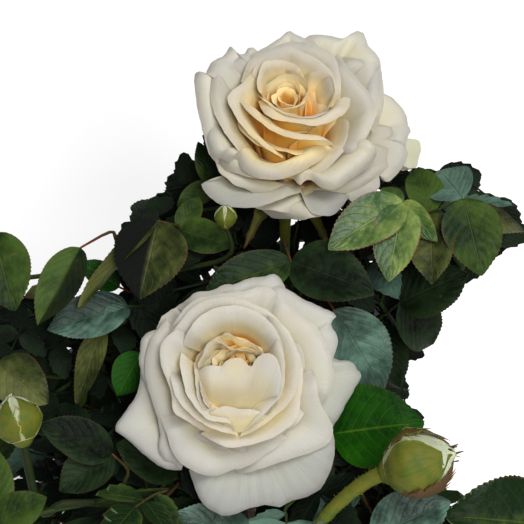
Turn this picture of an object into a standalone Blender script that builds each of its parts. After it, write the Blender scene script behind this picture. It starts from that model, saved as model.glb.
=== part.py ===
"""A bush rose in a clay pot: two open cream blooms, one more behind, buds, canes and leaf masses.

Metres, +Z up. The pot stands on z = 0 with its axis on the Z axis. The photograph's eye looks along +Y
and down; places measured in it are given as picture points and a depth towards the eye.
"""
import math

import bmesh
import bpy
import numpy as np
from mathutils.bvhtree import BVHTree

MM = 0.001
SEED = 4
CLEAR = 0.3 * MM
# How the photograph sees the plant
PHOTO_SIDE = 524.0
PHOTO_RISE = math.radians(40.0)
PHOTO_DISTANCE = 620.0 * MM
PHOTO_WIDTH = 170.0 * MM
AIM = np.array([0.0, -14.0, 282.0]) * MM
EYE_RIGHT = np.array([1.0, 0.0, 0.0])
EYE_UP = np.array([0.0, math.sin(PHOTO_RISE), math.cos(PHOTO_RISE)])
EYE_BACK = np.array([0.0, -math.cos(PHOTO_RISE), math.sin(PHOTO_RISE)])

# Pot and compost
POT_HEIGHT = 128.0 * MM
POT_FOOT_RADIUS = 50.0 * MM
POT_TOP_RADIUS = 67.0 * MM
POT_RIM_RADIUS = 72.0 * MM
POT_RIM_HEIGHT = 26.0 * MM
POT_WALL = 5.5 * MM
POT_FLOOR = 8.0 * MM
SOIL_LEVEL = 114.0 * MM
POT_SIDES = 28

# Woody base and canes
STEM_HEIGHT = 30.0 * MM
STEM_FLARE = 13.0 * MM
STEM_RADIUS = 8.0 * MM
STEM_LEAN = np.array([2.0, 3.0]) * MM
# Canes that stand on the woody base: azimuths in degrees on a ring about its top
RISER_RING = 5.0 * MM
RISER_AZIMUTHS = {"back_bloom": 90.0, "upper_bloom": 0.0, "heart": 180.0, "lower_bloom": 270.0}
CANE_ROOT_RADIUS = 2.6 * MM
CANE_TIP_RADIUS = 1.7 * MM
CANE_SIDES = 6

# Leaves
LEAFLET_LENGTH = 28.0 * MM
LEAFLET_WIDTH = 0.62
LEAFLET_THICK = 0.7 * MM
LEAFLET_OUTLINE = ((0.92, 0.28), (0.86, 0.64), (0.0, 1.0), (-0.86, 0.64), (-0.92, 0.28))
RACHIS_RADIUS = 0.75 * MM
TWIG_RADIUS = 1.1 * MM

# Crown
CROWN_CENTRE = np.array([0.0, 2.0, 222.0]) * MM
CROWN_REACH = np.array([112.0, 106.0, 84.0]) * MM

# Leaf masses and their middles
MASSES = {
    "right": (66.0, 8.0, 258.0),
    "front_right": (48.0, -66.0, 222.0),
    "front_left": (-52.0, -66.0, 224.0),
    "left": (-70.0, 6.0, 256.0),
    "back_left": (-44.0, 74.0, 226.0),
    "back_right": (50.0, 76.0, 226.0),
    "heart": (-2.0, -2.0, 258.0),
}
# How far a leaf may reach past its mass's border, where nothing of another mass is in the way
BORDER_SLACK = 7.0 * MM
SHELLS = ((0.82, 68), (0.55, 28), (0.96, 44))
# Cells a side of the picture, by which seeded leaves are kept from hiding what it shows
CELLS = 92

# Petal rows: azimuth, rim radius, rim height, width (degrees and millimetres), left and right corner rolls
# as shares of the petal's length, rim point
CUPPED = (-38.0, 12.0, 18.0, -28.0)
SPREAD = (-25.0, 18.0, 10.0, -38.0)
REFLEXED = (-8.0, 23.0, 0.0, -34.0)
STATIONS = (0.0, 0.28, 0.62, 1.0)
PETAL_START = 0.40

UPPER_BLOOM_PETALS = [
    (80, 13.0, 43.0, 40, 0.90, 0.90, 0.0, CUPPED),
    (-88, 18.0, 29.5, 50, 0.90, 0.86, 0.0, CUPPED),
    (60, 23.0, 40.5, 50, 0.88, 0.88, 0.0, CUPPED),
    (166, 25.0, 36.0, 50, 0.86, 0.88, 0.0, CUPPED),
    (4, 32.5, 36.0, 60, 0.84, 0.84, 0.0, CUPPED),
    (-56, 26.0, 26.5, 50, 0.84, 0.80, 0.0, CUPPED),
    (44, 39.5, 38.0, 50, 0.78, 0.80, 0.03, REFLEXED),
    (128, 31.0, 39.0, 48, 0.76, 0.78, 0.03, REFLEXED),
    (160, 31.0, 32.0, 54, 0.80, 0.84, 0.02, REFLEXED),
    (205, 29.0, 24.0, 46, 0.86, 0.84, 0.01, REFLEXED),
    (-112, 28.5, 17.0, 54, 0.86, 0.84, 0.01, REFLEXED),
    (-10, 45.5, 18.0, 44, 0.78, 0.80, 0.02, REFLEXED),
    (-64, 32.5, 14.0, 50, 0.84, 0.84, 0.0, REFLEXED),
    (212, 33.5, 13.0, 36, 0.70, 0.72, 0.03, REFLEXED),
    (91, 32.0, 39.0, 52, 0.80, 0.80, 0.03, REFLEXED),
]
LOWER_BLOOM_PETALS = [
    (-3, 21.0, 26.4, 44, 0.88, 0.90, 0.0, CUPPED),
    (110, 22.5, 25.0, 48, 0.88, 0.90, 0.0, CUPPED),
    (-120, 22.5, 23.5, 48, 0.88, 0.90, 0.0, CUPPED),
    (158, 27.5, 21.5, 50, 0.88, 0.88, 0.0, SPREAD),
    (48, 28.0, 20.5, 54, 0.88, 0.88, 0.0, SPREAD),
    (-50, 27.5, 20.0, 54, 0.88, 0.88, 0.0, SPREAD),
    (199, 44.0, 4.0, 46, 0.66, 0.70, 0.05, REFLEXED),
    (5, 41.0, 3.0, 42, 0.72, 0.74, 0.02, REFLEXED),
    (33, 36.0, 8.0, 50, 0.76, 0.80, 0.02, REFLEXED),
    (76, 34.5, 8.0, 48, 0.80, 0.80, 0.01, REFLEXED),
    (140, 33.5, 8.0, 52, 0.82, 0.84, 0.01, REFLEXED),
    (-132, 34.5, 8.0, 48, 0.80, 0.80, 0.02, REFLEXED),
    (-87, 42.0, 5.6, 58, 0.86, 0.90, 0.0, REFLEXED),
    (-40, 36.5, 11.0, 58, 0.84, 0.84, 0.0, REFLEXED),
]
BACK_BLOOM_PETALS = [
    (90, 24.0, 24.0, 46, 0.86, 0.88, 0.0, SPREAD),
    (210, 24.0, 24.0, 46, 0.86, 0.88, 0.0, SPREAD),
    (-30, 24.0, 24.0, 46, 0.86, 0.88, 0.0, SPREAD),
    (40, 32.0, 10.0, 46, 0.78, 0.80, 0.02, REFLEXED),
    (112, 32.0, 11.0, 46, 0.78, 0.80, 0.02, REFLEXED),
    (184, 32.0, 10.0, 46, 0.78, 0.80, 0.02, REFLEXED),
    (256, 32.0, 11.0, 46, 0.78, 0.80, 0.02, REFLEXED),
    (328, 32.0, 10.0, 46, 0.78, 0.80, 0.02, REFLEXED),
]

# Blooms: where the heart of the bloom is seen, its axis, the height of that heart over the bloom's foot,
# the stalk's length and the height the solid core fills
TILT_UPPER = math.radians(13.0)
BLOOMS = {
    "upper_bloom": dict(
        seen=(287.0, 97.0, -10.0), axis=(0.0, -math.sin(TILT_UPPER), math.cos(TILT_UPPER)), lift=41.0,
        stalk=30.0, core=((0, -2), (7, -2), (15, 1), (20, 8), (20.5, 22), (16, 31), (7, 38), (0, 39)),
        petals=UPPER_BLOOM_PETALS),
    "lower_bloom": dict(
        seen=(238.0, 387.0, 25.0), axis=tuple(EYE_BACK), lift=27.0,
        stalk=26.0, core=((0, -2), (7, -2), (15, 0), (20, 6), (20, 16), (14, 23), (7, 26.5), (0, 27)),
        petals=LOWER_BLOOM_PETALS),
    "back_bloom": dict(
        at=(24.0, 92.0, 262.0), axis=(0.14, 0.62, 0.77), lift=30.0,
        stalk=24.0, core=((0, -2), (7, -2), (15, 1), (19, 8), (19, 18), (13, 26), (5, 29), (0, 30)),
        petals=BACK_BLOOM_PETALS),
}
# Heart of a bloom that twigs and leaves keep out of: height over its foot against radius
BLOOM_ROOM = ((-8.0, 4.0), (-2.0, 8.0), (3.0, 18.0), (10.0, 24.0), (26.0, 22.0), (34.0, 14.0), (46.0, 8.0))

# Bud with a cane of its own: base, tip, radius, foot of its stalk, azimuth of its cane
BUDS = {
    "right_bud": dict(
        seen=(391.0, 463.0, 18.0), tip=(454.0, 457.0, 26.0), radius=10.5,
        foot=(322.0, 520.0, 10.0), azimuth=-88.0),
}
# Buds that a mass's own twigs carry: mass, middle of the base, tip, radius
TWIG_BUDS = (
    ("front_left", (23.0, 440.0, 16.0), (10.0, 396.0, 16.0), 7.5),
    ("left", (226.0, 226.0, -6.0), (225.0, 205.0, -4.0), 3.4),
)

# Leaves seen in the photograph: mass, joints of the leaf stalk, leaflets as (joint, tip, width share, roll)
PHOTO_LEAVES = [
    ("right", [(396, 228, -26), (430, 213, -8), (463, 199, -4)],
     [(2, (524, 240, -12), 0.42, 62), (2, (483, 273, 2), 0.72, 0), (2, (438, 166, -22), 0.72, -15),
      (1, (431, 280, 6), 0.60, 10), (1, (418, 163, -20), 0.60, 0)]),
    ("right", [(384, 232, -22), (403, 202, -6)],
     [(1, (330, 243, 6), 0.55, 0), (1, (388, 277, 7), 0.54, 0), (1, (434, 240, 2), 0.48, 25),
      (1, (380, 186, -14), 0.5, 0)]),
    ("right", [(376, 322, -44), (400, 303, -24)],
     [(1, (464, 272, -15), 0.78, 0), (1, (438, 348, -36), 0.75, 0), (0, (402, 388, -46), 0.55, 0)]),
    ("heart", [(322, 296, -22), (334, 310, -12)], [(1, (386, 396, -18), 0.62, 0)]),
    ("front_right", [(312, 452, -20), (333, 434, -9)], [(1, (420, 419, 0), 0.94, 0)]),
    ("front_right", [(345, 560, 0), (372, 538, 8)], [(1, (448, 500, 12), 0.70, 0)]),
    ("front_right", [(575, 548, -6), (550, 526, 4)], [(1, (453, 513, 16), 0.78, 0)]),
    ("heart", [(286, 248, -14), (291, 262, -4)],
     [(1, (372, 287, 6), 0.70, 0), (1, (206, 290, 4), 0.50, 0)]),
    ("left", [(180, 230, -20), (158, 221, -10)],
     [(1, (138, 294, 2), 0.88, 0), (1, (72, 299, -2), 0.30, 40), (0, (231, 243, -12), 0.62, 0),
      (0, (200, 196, -24), 0.6, 0)]),
    ("left", [(110, 232, -18), (80, 248, -8)], [(1, (38, 322, 4), 0.46, 0)]),
    ("left", [(152, 300, -30), (119, 287, -20)], [(1, (82, 261, -16), 0.62, 0)]),
    ("left", [(30, 238, -16), (-6, 233, -8)], [(1, (13, 308, 0), 0.70, 0)]),
    ("left", [(150, 304, -24), (128, 306, -18)],
     [(1, (104, 320, -14), 0.80, 0), (1, (48, 326, -10), 0.56, 0)]),
    ("left", [(128, 316, -30), (104, 326, -20)], [(1, (73, 402, -14), 0.36, 20)]),
    ("left", [(230, 204, -52), (214, 186, -44)],
     [(1, (199, 143, -40), 0.5, 0), (1, (177, 204, -40), 0.6, 0)]),
    ("front_left", [(150, 346, -18), (141, 353, -12)], [(1, (117, 395, -8), 0.74, 0)]),
    ("front_left", [(-28, 352, -6), (-4, 364, 0)], [(1, (47, 401, 6), 0.78, 0)]),
    ("front_left", [(128, 470, 0), (112, 454, 6)],
     [(1, (42, 424, 13), 0.56, 0), (1, (60, 490, 12), 0.70, 0)]),
    ("front_left", [(192, 464, -20), (180, 471, -12)], [(1, (118, 444, -4), 0.68, 0)]),
    ("front_left", [(-20, 540, 10), (-2, 522, 18)],
     [(1, (44, 497, 22), 0.70, 0), (1, (-6, 446, 16), 0.5, 0)]),
    ("front_left", [(268, 552, -16), (252, 536, -8)], [(1, (178, 514, 2), 0.5, 0)]),
]

# White parts of the photograph, where no leaf may be seen: left, top, right, bottom in picture points
OPEN_SKY = (
    (-400, -400, 60, 232), (-400, -400, 110, 222), (-400, -400, 150, 200), (-400, -400, 170, 178),
    (-400, -400, 192, 150), (400, -400, 1000, 160), (486, -400, 1000, 186), (440, 298, 1000, 474),
    (-400, -400, 1000, 30), (478, 275, 1000, 474), (30, 232, 62, 258), (30, 258, 46, 290),
    (84, 232, 114, 254), (76, 284, 110, 304),
)


def unit(vector):
    vector = np.asarray(vector, float)
    return vector / np.linalg.norm(vector)


def seen(across, down, near):
    """Point that the photograph shows at those picture points, near millimetres nearer the eye than AIM."""
    near = near * MM
    size = PHOTO_WIDTH / PHOTO_SIDE * (PHOTO_DISTANCE - near) / PHOTO_DISTANCE
    return AIM + EYE_RIGHT * (across - 262.0) * size + EYE_UP * (262.0 - down) * size + EYE_BACK * near


def picture(points):
    """Picture points at which the photograph's eye sees the given points."""
    rest = np.asarray(points, float) - AIM
    size = PHOTO_WIDTH / PHOTO_SIDE * (PHOTO_DISTANCE - rest @ EYE_BACK) / PHOTO_DISTANCE
    return 262.0 + rest @ EYE_RIGHT / size, 262.0 - rest @ EYE_UP / size


def material(name, colour, roughness):
    shade = bpy.data.materials.new(name)
    shade.use_nodes = True
    node = shade.node_tree.nodes["Principled BSDF"]
    node.inputs["Base Color"].default_value = (*colour, 1.0)
    node.inputs["Roughness"].default_value = roughness
    return shade


def body(name, vertices, faces, shade=None, smooth=False):
    mesh = bpy.data.meshes.new(name)
    mesh.from_pydata([tuple(map(float, v)) for v in vertices], [], [tuple(map(int, f)) for f in faces])
    mesh.validate()
    item = bpy.data.objects.new(name, mesh)
    bpy.context.scene.collection.objects.link(item)
    if shade is not None:
        mesh.materials.append(shade)
    if smooth:
        mesh.shade_smooth()
    return item


def turned(profile, sides):
    """Vertices and faces of a closed turned body; a profile end on the axis closes in a point."""
    vertices = []
    rings = []
    for radius, height in profile:
        if radius < 1e-9:
            rings.append([len(vertices)])
            vertices.append((0.0, 0.0, height))
            continue
        rings.append(list(range(len(vertices), len(vertices) + sides)))
        for k in range(sides):
            angle = 2.0 * math.pi * k / sides
            vertices.append((radius * math.cos(angle), radius * math.sin(angle), height))
    faces = []
    for low, high in zip(rings[:-1], rings[1:]):
        for k in range(sides):
            j = (k + 1) % sides
            if len(low) == 1 and len(high) == 1:
                continue
            if len(low) == 1:
                faces.append((low[0], high[j], high[k]))
            elif len(high) == 1:
                faces.append((low[k], low[j], high[0]))
            else:
                faces.append((low[k], low[j], high[j], high[k]))
    if len(rings[0]) > 1:
        faces.append(tuple(reversed(rings[0])))
    if len(rings[-1]) > 1:
        faces.append(tuple(rings[-1]))
    return np.array(vertices), faces


def tube(points, radii, sides):
    """Vertices and faces of a closed tube along the points."""
    points = np.asarray(points, float)
    radii = np.broadcast_to(np.asarray(radii, float), (len(points),))
    along = np.gradient(points, axis=0)
    along = along / np.linalg.norm(along, axis=1)[:, None]
    side = np.cross(along[0], [0.0, 0.0, 1.0])
    if np.linalg.norm(side) < 0.1:
        side = np.cross(along[0], [1.0, 0.0, 0.0])
    vertices = []
    for point, direction, radius in zip(points, along, radii):
        side = unit(side - direction * (side @ direction))
        other = np.cross(direction, side)
        for k in range(sides):
            angle = 2.0 * math.pi * k / sides
            vertices.append(point + radius * (math.cos(angle) * side + math.sin(angle) * other))
    faces = []
    for i in range(len(points) - 1):
        for k in range(sides):
            j = (k + 1) % sides
            a = i * sides
            faces.append((a + k, a + j, a + sides + j, a + sides + k))
    faces.append(tuple(reversed(range(sides))))
    faces.append(tuple(range((len(points) - 1) * sides, len(points) * sides)))
    return np.array(vertices), faces


def curve(start, bend, end, count):
    t = np.linspace(0.0, 1.0, count)[:, None]
    return (1 - t) ** 2 * np.asarray(start) + 2 * t * (1 - t) * np.asarray(bend) + t ** 2 * np.asarray(end)


def fused(name, pieces, shade, smooth=False):
    """One body out of overlapping closed pieces: a single union, its sealed hollows filled."""
    group = bpy.data.collections.new(name + "_parts")
    bpy.context.scene.collection.children.link(group)
    first = body(name + "_first", *pieces[0])
    others = []
    for number, piece in enumerate(pieces[1:]):
        item = body(name + "_" + str(number), *piece)
        bpy.context.scene.collection.objects.unlink(item)
        group.objects.link(item)
        others.append(item)
    join = first.modifiers.new("join", "BOOLEAN")
    join.operation = "UNION"
    join.operand_type = "COLLECTION"
    join.collection = group
    join.solver = "MANIFOLD"
    bpy.context.view_layer.update()
    rough = bpy.data.meshes.new_from_object(first.evaluated_get(bpy.context.evaluated_depsgraph_get()))
    for item in [first] + others:
        bpy.data.objects.remove(item)
    bpy.data.collections.remove(group)
    mesh = outer_shell(rough, name)
    mesh.materials.clear()
    mesh.materials.append(shade)
    result = bpy.data.objects.new(name, mesh)
    bpy.context.scene.collection.objects.link(result)
    if smooth:
        mesh.shade_smooth()
    return result


def outer_shell(rough, name):
    """The one shell of the largest volume, in triangles."""
    work = bmesh.new()
    work.from_mesh(rough)
    bmesh.ops.triangulate(work, faces=work.faces)
    work.faces.ensure_lookup_table()
    met = set()
    shells = []
    for face in work.faces:
        if face.index in met:
            continue
        met.add(face.index)
        shell = []
        stack = [face]
        while stack:
            one = stack.pop()
            shell.append(one)
            for edge in one.edges:
                for other in edge.link_faces:
                    if other.index not in met:
                        met.add(other.index)
                        stack.append(other)
        volume = 0.0
        for one in shell:
            a, b, c = (v.co for v in one.verts)
            volume += a.dot(b.cross(c)) / 6.0
        shells.append((volume, shell))
    shells.sort(key=lambda item: item[0])
    drop = [face for volume, shell in shells[:-1] for face in shell]
    bmesh.ops.delete(work, geom=drop, context="FACES")
    mesh = bpy.data.meshes.new(name)
    work.to_mesh(mesh)
    work.free()
    bpy.data.meshes.remove(rough)
    return mesh


# Petals

def middle_line(angles):
    """Shares of length, and the outward run, rise and slope of a petal's middle line of unit length."""
    share = np.linspace(0.0, 1.3, 200)
    slope = np.interp(share, STATIONS, np.radians(angles))
    weights = np.hanning(31)
    weights = weights / weights.sum()
    padded = np.concatenate([np.full(15, slope[0]), slope, np.full(15, slope[-1])])
    slope = np.convolve(padded, weights, "valid")
    step = share[1]
    run = np.concatenate([[0.0], np.cumsum(0.5 * (np.cos(slope[1:]) + np.cos(slope[:-1])) * step)])
    rise = np.concatenate([[0.0], np.cumsum(0.5 * (np.sin(slope[1:]) + np.sin(slope[:-1])) * step)])
    return share, run, rise, slope


def rolled(x, y, h, nx, ny, start, radius, most):
    """Rolls a flat sheet outwards beyond the line nx x + ny y = start."""
    past = np.maximum(nx * x + ny * y - start, 0.0)
    angle = np.minimum(past / radius, most)
    rest = past - angle * radius
    along = radius * np.sin(angle) + rest * np.cos(angle)
    up = radius * (1.0 - np.cos(angle)) + rest * np.sin(angle)
    return x + nx * (along - past), y + ny * (along - past), h + up


def petal_grid(row, across, along):
    """Points of one petal (millimetres): it stands out along its azimuth from the bloom's axis."""
    azimuth, rim_radius, rim_height, width, left, right, point, bow = row
    share, run, rise, slope = middle_line(bow)
    end_run = np.interp(1.0, share, run)
    end_rise = np.interp(1.0, share, rise)
    foot = 2.0
    turn = math.atan2(rim_height, rim_radius - foot) - math.atan2(end_rise, end_run)
    length = math.hypot(rim_radius - foot, rim_height) / math.hypot(end_run, end_rise)
    share, run, rise, slope = middle_line(np.asarray(bow) + math.degrees(turn))
    u, v = np.meshgrid(np.linspace(-1.0, 1.0, across), np.linspace(PETAL_START, 1.0, along))
    half = 0.5 * width * (0.36 + 0.64 * np.sin(0.5 * math.pi * np.clip(v / 0.70, 0.0, 1.0)) ** 0.9)
    x = u * half
    y = length * v * (1.0 - 0.14 * np.abs(u) ** 2.8 * v ** 2)
    y = y + length * point * np.exp(-np.abs(u) / 0.14) * v ** 4
    h = np.zeros_like(x)
    for side, start in ((-1.0, left), (1.0, right)):
        angle = math.radians(42.0)
        x, y, h = rolled(x, y, h, side * math.sin(angle), math.cos(angle), start * length, 5.0,
                         math.radians(80.0))
    x, y, h = rolled(x, y, h, 0.0, 1.0, 0.94 * length, 5.0, math.radians(60.0))
    radius = foot + length * np.interp(y / length, share, run)
    height = length * np.interp(y / length, share, rise)
    slant = np.interp(y / length, share, slope)
    round_ = np.maximum(np.abs(radius) + 1.5, half / 1.5)
    turn = x / round_
    place = np.stack([radius - round_ + round_ * np.cos(turn), round_ * np.sin(turn), height], -1)
    normal = np.stack([np.sin(slant) * np.cos(turn), np.sin(slant) * np.sin(turn), -np.cos(slant)], -1)
    place = place + h[..., None] * normal
    c, s = math.cos(math.radians(azimuth)), math.sin(math.radians(azimuth))
    return place @ np.array([[c, s, 0.0], [-s, c, 0.0], [0.0, 0.0, 1.0]])


def slab(grid, thickness):
    """Closed sheet of that thickness on a grid of points."""
    down = np.gradient(grid, axis=0)
    over = np.gradient(grid, axis=1)
    normal = np.cross(over, down)
    normal = normal / np.maximum(np.linalg.norm(normal, axis=2), 1e-9)[..., None]
    rows, columns = grid.shape[:2]
    front = (grid + normal * thickness / 2).reshape(-1, 3)
    back = (grid - normal * thickness / 2).reshape(-1, 3)
    index = np.arange(rows * columns).reshape(rows, columns)
    count = rows * columns
    faces = []
    for i in range(rows - 1):
        for j in range(columns - 1):
            a, b, c, d = index[i, j], index[i, j + 1], index[i + 1, j + 1], index[i + 1, j]
            faces.append((a, b, c, d))
            faces.append((a + count, d + count, c + count, b + count))
    edge = list(index[0, :]) + list(index[1:, -1]) + list(index[-1, -2::-1]) + list(index[-2:0:-1, 0])
    for a, b in zip(edge, edge[1:] + edge[:1]):
        faces.append((a, a + count, b + count, b))
    return np.concatenate([front, back]), faces


def bloom_frame(spec):
    """Foot of the bloom and the matrix whose columns are its right, far and axis directions."""
    axis = unit(spec["axis"])
    right = unit(EYE_RIGHT - axis * (EYE_RIGHT @ axis))
    turn = np.stack([right, np.cross(axis, right), axis], 1)
    heart = seen(*spec["seen"]) if "seen" in spec else np.array(spec["at"]) * MM
    return heart - axis * spec["lift"] * MM, turn


def bloom_stalk(spec):
    """Middle line of the stalk from its foot, where the cane ends, up to the bloom."""
    foot, turn = bloom_frame(spec)
    axis = turn[:, 2]
    down = unit(-axis * 0.45 + np.array([0.0, 0.0, -1.0]) * 0.55)
    length = spec["stalk"] * MM
    start = foot + down * length - axis * length * 0.1
    return curve(start, foot - axis * length * 0.55, foot + axis * 4.0 * MM, 5)


def make_bloom(name, spec, shade):
    foot, turn = bloom_frame(spec)
    pieces = [turned([(r, z) for r, z in spec["core"]], 12)]
    calyx = turned([(0.0, -7.0), (3.6, -6.0), (4.8, -3.0), (4.0, 0.0), (0.0, 1.0)], 8)
    pieces.append(calyx)
    for k in range(5):
        angle = math.radians(72.0 * k + 20.0)
        c, s = math.cos(angle), math.sin(angle)
        line = np.array([(2.0, -3.0), (9.0, -4.5), (16.0, -8.0), (21.0, -14.0)])
        widths = (2.6, 3.2, 2.2, 0.5)
        grid = np.array([[(r * c - w * t * s, r * s + w * t * c, z) for t in (-1.0, 1.0)]
                         for (r, z), w in zip(line, widths)])
        pieces.append(slab(grid, 1.0))
    for row in spec["petals"]:
        pieces.append(slab(petal_grid(row, 4 if row[-1] is REFLEXED else 3, 3), 1.0))
    pieces = [(foot + (vertices * MM) @ turn.T, faces) for vertices, faces in pieces]
    line = bloom_stalk(spec)
    pieces.append(tube(line, np.linspace(1.9, 2.3, len(line)) * MM, 6))
    return fused(name, pieces, shade, smooth=False)


def bud_body(base, tip, radius):
    """Egg-shaped bud on its hip."""
    axis = unit(tip - base)
    length = np.linalg.norm(tip - base)
    profile = [(0.0, -0.16), (0.34, -0.13), (0.50, 0.0), (0.80, 0.16), (1.0, 0.40), (0.86, 0.66),
               (0.46, 0.88), (0.0, 1.0)]
    vertices, faces = turned([(r * radius, z * length) for r, z in profile], 10)
    side = unit(np.cross(axis, [0.0, 0.3, 1.0]))
    turn = np.stack([side, np.cross(axis, side), axis], 1)
    return base + vertices @ turn.T, faces


def make_bud_pieces(spec):
    """The bud and the stalk down to its foot."""
    base = seen(*spec["seen"])
    tip = seen(*spec["tip"])
    axis = unit(tip - base)
    foot = seen(*spec["foot"])
    bend = base - axis * np.linalg.norm(foot - base) * 0.5
    line = curve(foot, bend, base - axis * 0.02 * np.linalg.norm(tip - base), 5)
    stalk = tube(line, np.linspace(2.0, 2.4, len(line)) * MM, 6)
    return [bud_body(base, tip, spec["radius"] * MM), stalk], line


# Leaves and twigs

def leaflet_points(base, direction, facing, length, share, thick=LEAFLET_THICK):
    """Outline, then the upper and lower middle, of a leaflet folded along its middle and drooping."""
    along = unit(direction)
    up = unit(facing - along * (facing @ along))
    side = np.cross(along, up)
    half = 0.5 * share * length
    points = []
    for x, y in LEAFLET_OUTLINE:
        rise = abs(x) * half * 0.26 - 0.13 * length * y * y
        points.append(base + along * y * length + side * x * half + up * rise)
    middle = base + along * 0.46 * length - up * 0.02 * length
    return points + [middle + up * thick / 2, middle - up * thick / 2]


def swollen_leaflet(part):
    """The leaflet alone, thickened, to feel for whatever lies near it."""
    points = leaflet_points(*part, thick=LEAFLET_THICK + 1.0 * MM)
    points.append(part[0])
    ring = [7, 0, 1, 2, 3, 4]
    faces = [(5, ring[k], ring[(k + 1) % 6]) for k in range(6)]
    faces += [(6, ring[(k + 1) % 6], ring[k]) for k in range(6)]
    return np.array(points), faces


def leaf_solid(path, leaflets, facing):
    """One closed body: a three-sided twig whose sides and end open straight into its leaflets.

    A leaflet is (joint number along the path, base, direction, facing, length, width share)."""
    path = np.asarray(path, float)
    last = len(path) - 1
    run = unit(path[last] - path[last - 1])
    ends = [part for part in leaflets if part[0] == last]
    tip = max(ends, key=lambda part: unit(part[2]) @ run) if ends else None
    rights = [None] * len(path)
    right = np.cross(run, facing)
    for k in range(last, -1, -1):
        along = unit(path[max(k, 1)] - path[max(k, 1) - 1])
        right = unit(right - along * (right @ along))
        rights[k] = right
    slots = {}
    for part in leaflets:
        if part is tip:
            continue
        joint = part[0]
        hand = 1 if part[2] @ rights[joint] > 0 else 0
        level = 0
        while slots.get((joint, level), [None, None])[hand] is not None:
            level += 1
        slots.setdefault((joint, level), [None, None])[hand] = part
    rings = []
    openings = {}
    for k in range(len(path)):
        before = unit(path[k] - path[k - 1]) if k else unit(path[1] - path[0])
        levels = sorted((level for joint, level in slots if joint == k), reverse=True)
        reach = 2.4 * MM if k == last else 0.0
        for level in levels:
            place = path[k] - before * (reach + level * 3.0 * MM)
            rings.append((place - before * 0.7 * MM, before, k))
            openings[len(rings) - 1] = slots[(k, level)]
            rings.append((place + before * 0.7 * MM, before, k))
        if k == last or not levels:
            after = unit(path[k + 1] - path[k]) if k < last else before
            rings.append((path[k], unit(before + after), k))
    vertices = []
    for place, along, k in rings:
        radius = TWIG_RADIUS if k < 2 else RACHIS_RADIUS
        right = unit(rights[k] - along * (rights[k] @ along))
        up = np.cross(right, along)
        crest = place + up * radius * 0.5
        vertices += [crest - right * radius, crest + right * radius, place - up * radius]
    faces = [(2, 1, 0)]

    def open_into(part, a_top, a_bottom, b_top, b_bottom):
        start = len(vertices)
        vertices.extend(leaflet_points(*part[1:]))
        upper, lower = start + 5, start + 6
        rim = [start, start + 1, start + 2, start + 3, start + 4]
        top = [a_top] + rim + [b_top]
        bottom = [a_bottom] + rim + ([b_bottom] if b_bottom != a_bottom else [])
        for loop, middle, order in ((top, upper, 1), (bottom, lower, -1)):
            for p, q in zip(loop, loop[1:] + loop[:1]):
                faces.append((middle, p, q)[::order])
        faces.append((a_top, a_bottom, rim[0]))
        faces.append((b_top, rim[4], b_bottom))

    for i in range(len(rings) - 1):
        a, b = 3 * i, 3 * i + 3
        left, right = openings.get(i, (None, None))
        faces.append((a, a + 1, b + 1, b))
        if right is None:
            faces.append((a + 1, a + 2, b + 2, b + 1))
        else:
            open_into(right, a + 1, a + 2, b + 1, b + 2)
        if left is None:
            faces.append((a + 2, a, b, b + 2))
        else:
            open_into(left, b, b + 2, a, a + 2)
    end = 3 * (len(rings) - 1)
    if tip is None:
        faces.append((end, end + 1, end + 2))
    else:
        open_into(tip, end + 1, end + 2, end, end + 2)
    return np.array(vertices), faces


def seeded_leaf(rng, hub, heading, facing, size):
    """Joints of a leaf stalk and its five leaflets as (base, direction, facing, length, width share)."""
    heading = unit(heading)
    facing = unit(facing - heading * (facing @ heading))
    side = np.cross(heading, facing)
    long = 34.0 * MM * size
    joints = [hub - heading * long - facing * 4.5 * MM, hub - heading * long * 0.60 - facing * 1.6 * MM,
              hub - heading * long * 0.24 - facing * 0.3 * MM, hub]
    aim = heading - 0.12 * facing + 0.12 * rng.uniform(-1, 1) * side
    leaflets = [(3, hub, aim, facing, LEAFLET_LENGTH * size, LEAFLET_WIDTH)]
    for joint, share, lean in ((2, 0.86, 0.40), (1, 0.74, 0.30)):
        for way in (-1.0, 1.0):
            aim = way * side + (lean + rng.uniform(-0.12, 0.12)) * heading - rng.uniform(0.0, 0.25) * facing
            tilt = facing + way * side * rng.uniform(-0.25, 0.15)
            length = LEAFLET_LENGTH * size * share
            leaflets.append((joint, joints[joint], aim, tilt, length, LEAFLET_WIDTH * 0.92))
    return joints, leaflets, facing


def photo_leaf(joints, leaflets):
    """The same for a leaf measured in the photograph."""
    points = [seen(*joint) for joint in joints]
    towards_eye = unit(EYE_BACK * 0.75 + np.array([0.0, 0.0, 0.45]))
    parts = []
    for joint, tip, share, roll in leaflets:
        direction = seen(*tip) - points[joint]
        along = unit(direction)
        facing = unit(towards_eye - along * (towards_eye @ along))
        angle = math.radians(roll)
        facing = math.cos(angle) * facing + math.sin(angle) * np.cross(along, facing)
        parts.append((joint, points[joint], direction, facing, np.linalg.norm(direction), share))
    return points, parts, towards_eye


class Piece:
    """A leaflet or twig slightly swollen, to tell whether another would touch it."""

    def __init__(self, owner, vertices, faces, twig=False):
        self.owner = owner
        self.twig = twig
        self.middle = vertices.mean(axis=0)
        self.reach = float(np.linalg.norm(vertices - self.middle, axis=1).max())
        self.tree = BVHTree.FromPolygons([tuple(v) for v in vertices], faces)

    def touches(self, other):
        if np.linalg.norm(self.middle - other.middle) > self.reach + other.reach:
            return False
        return bool(self.tree.overlap(other.tree))


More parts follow.
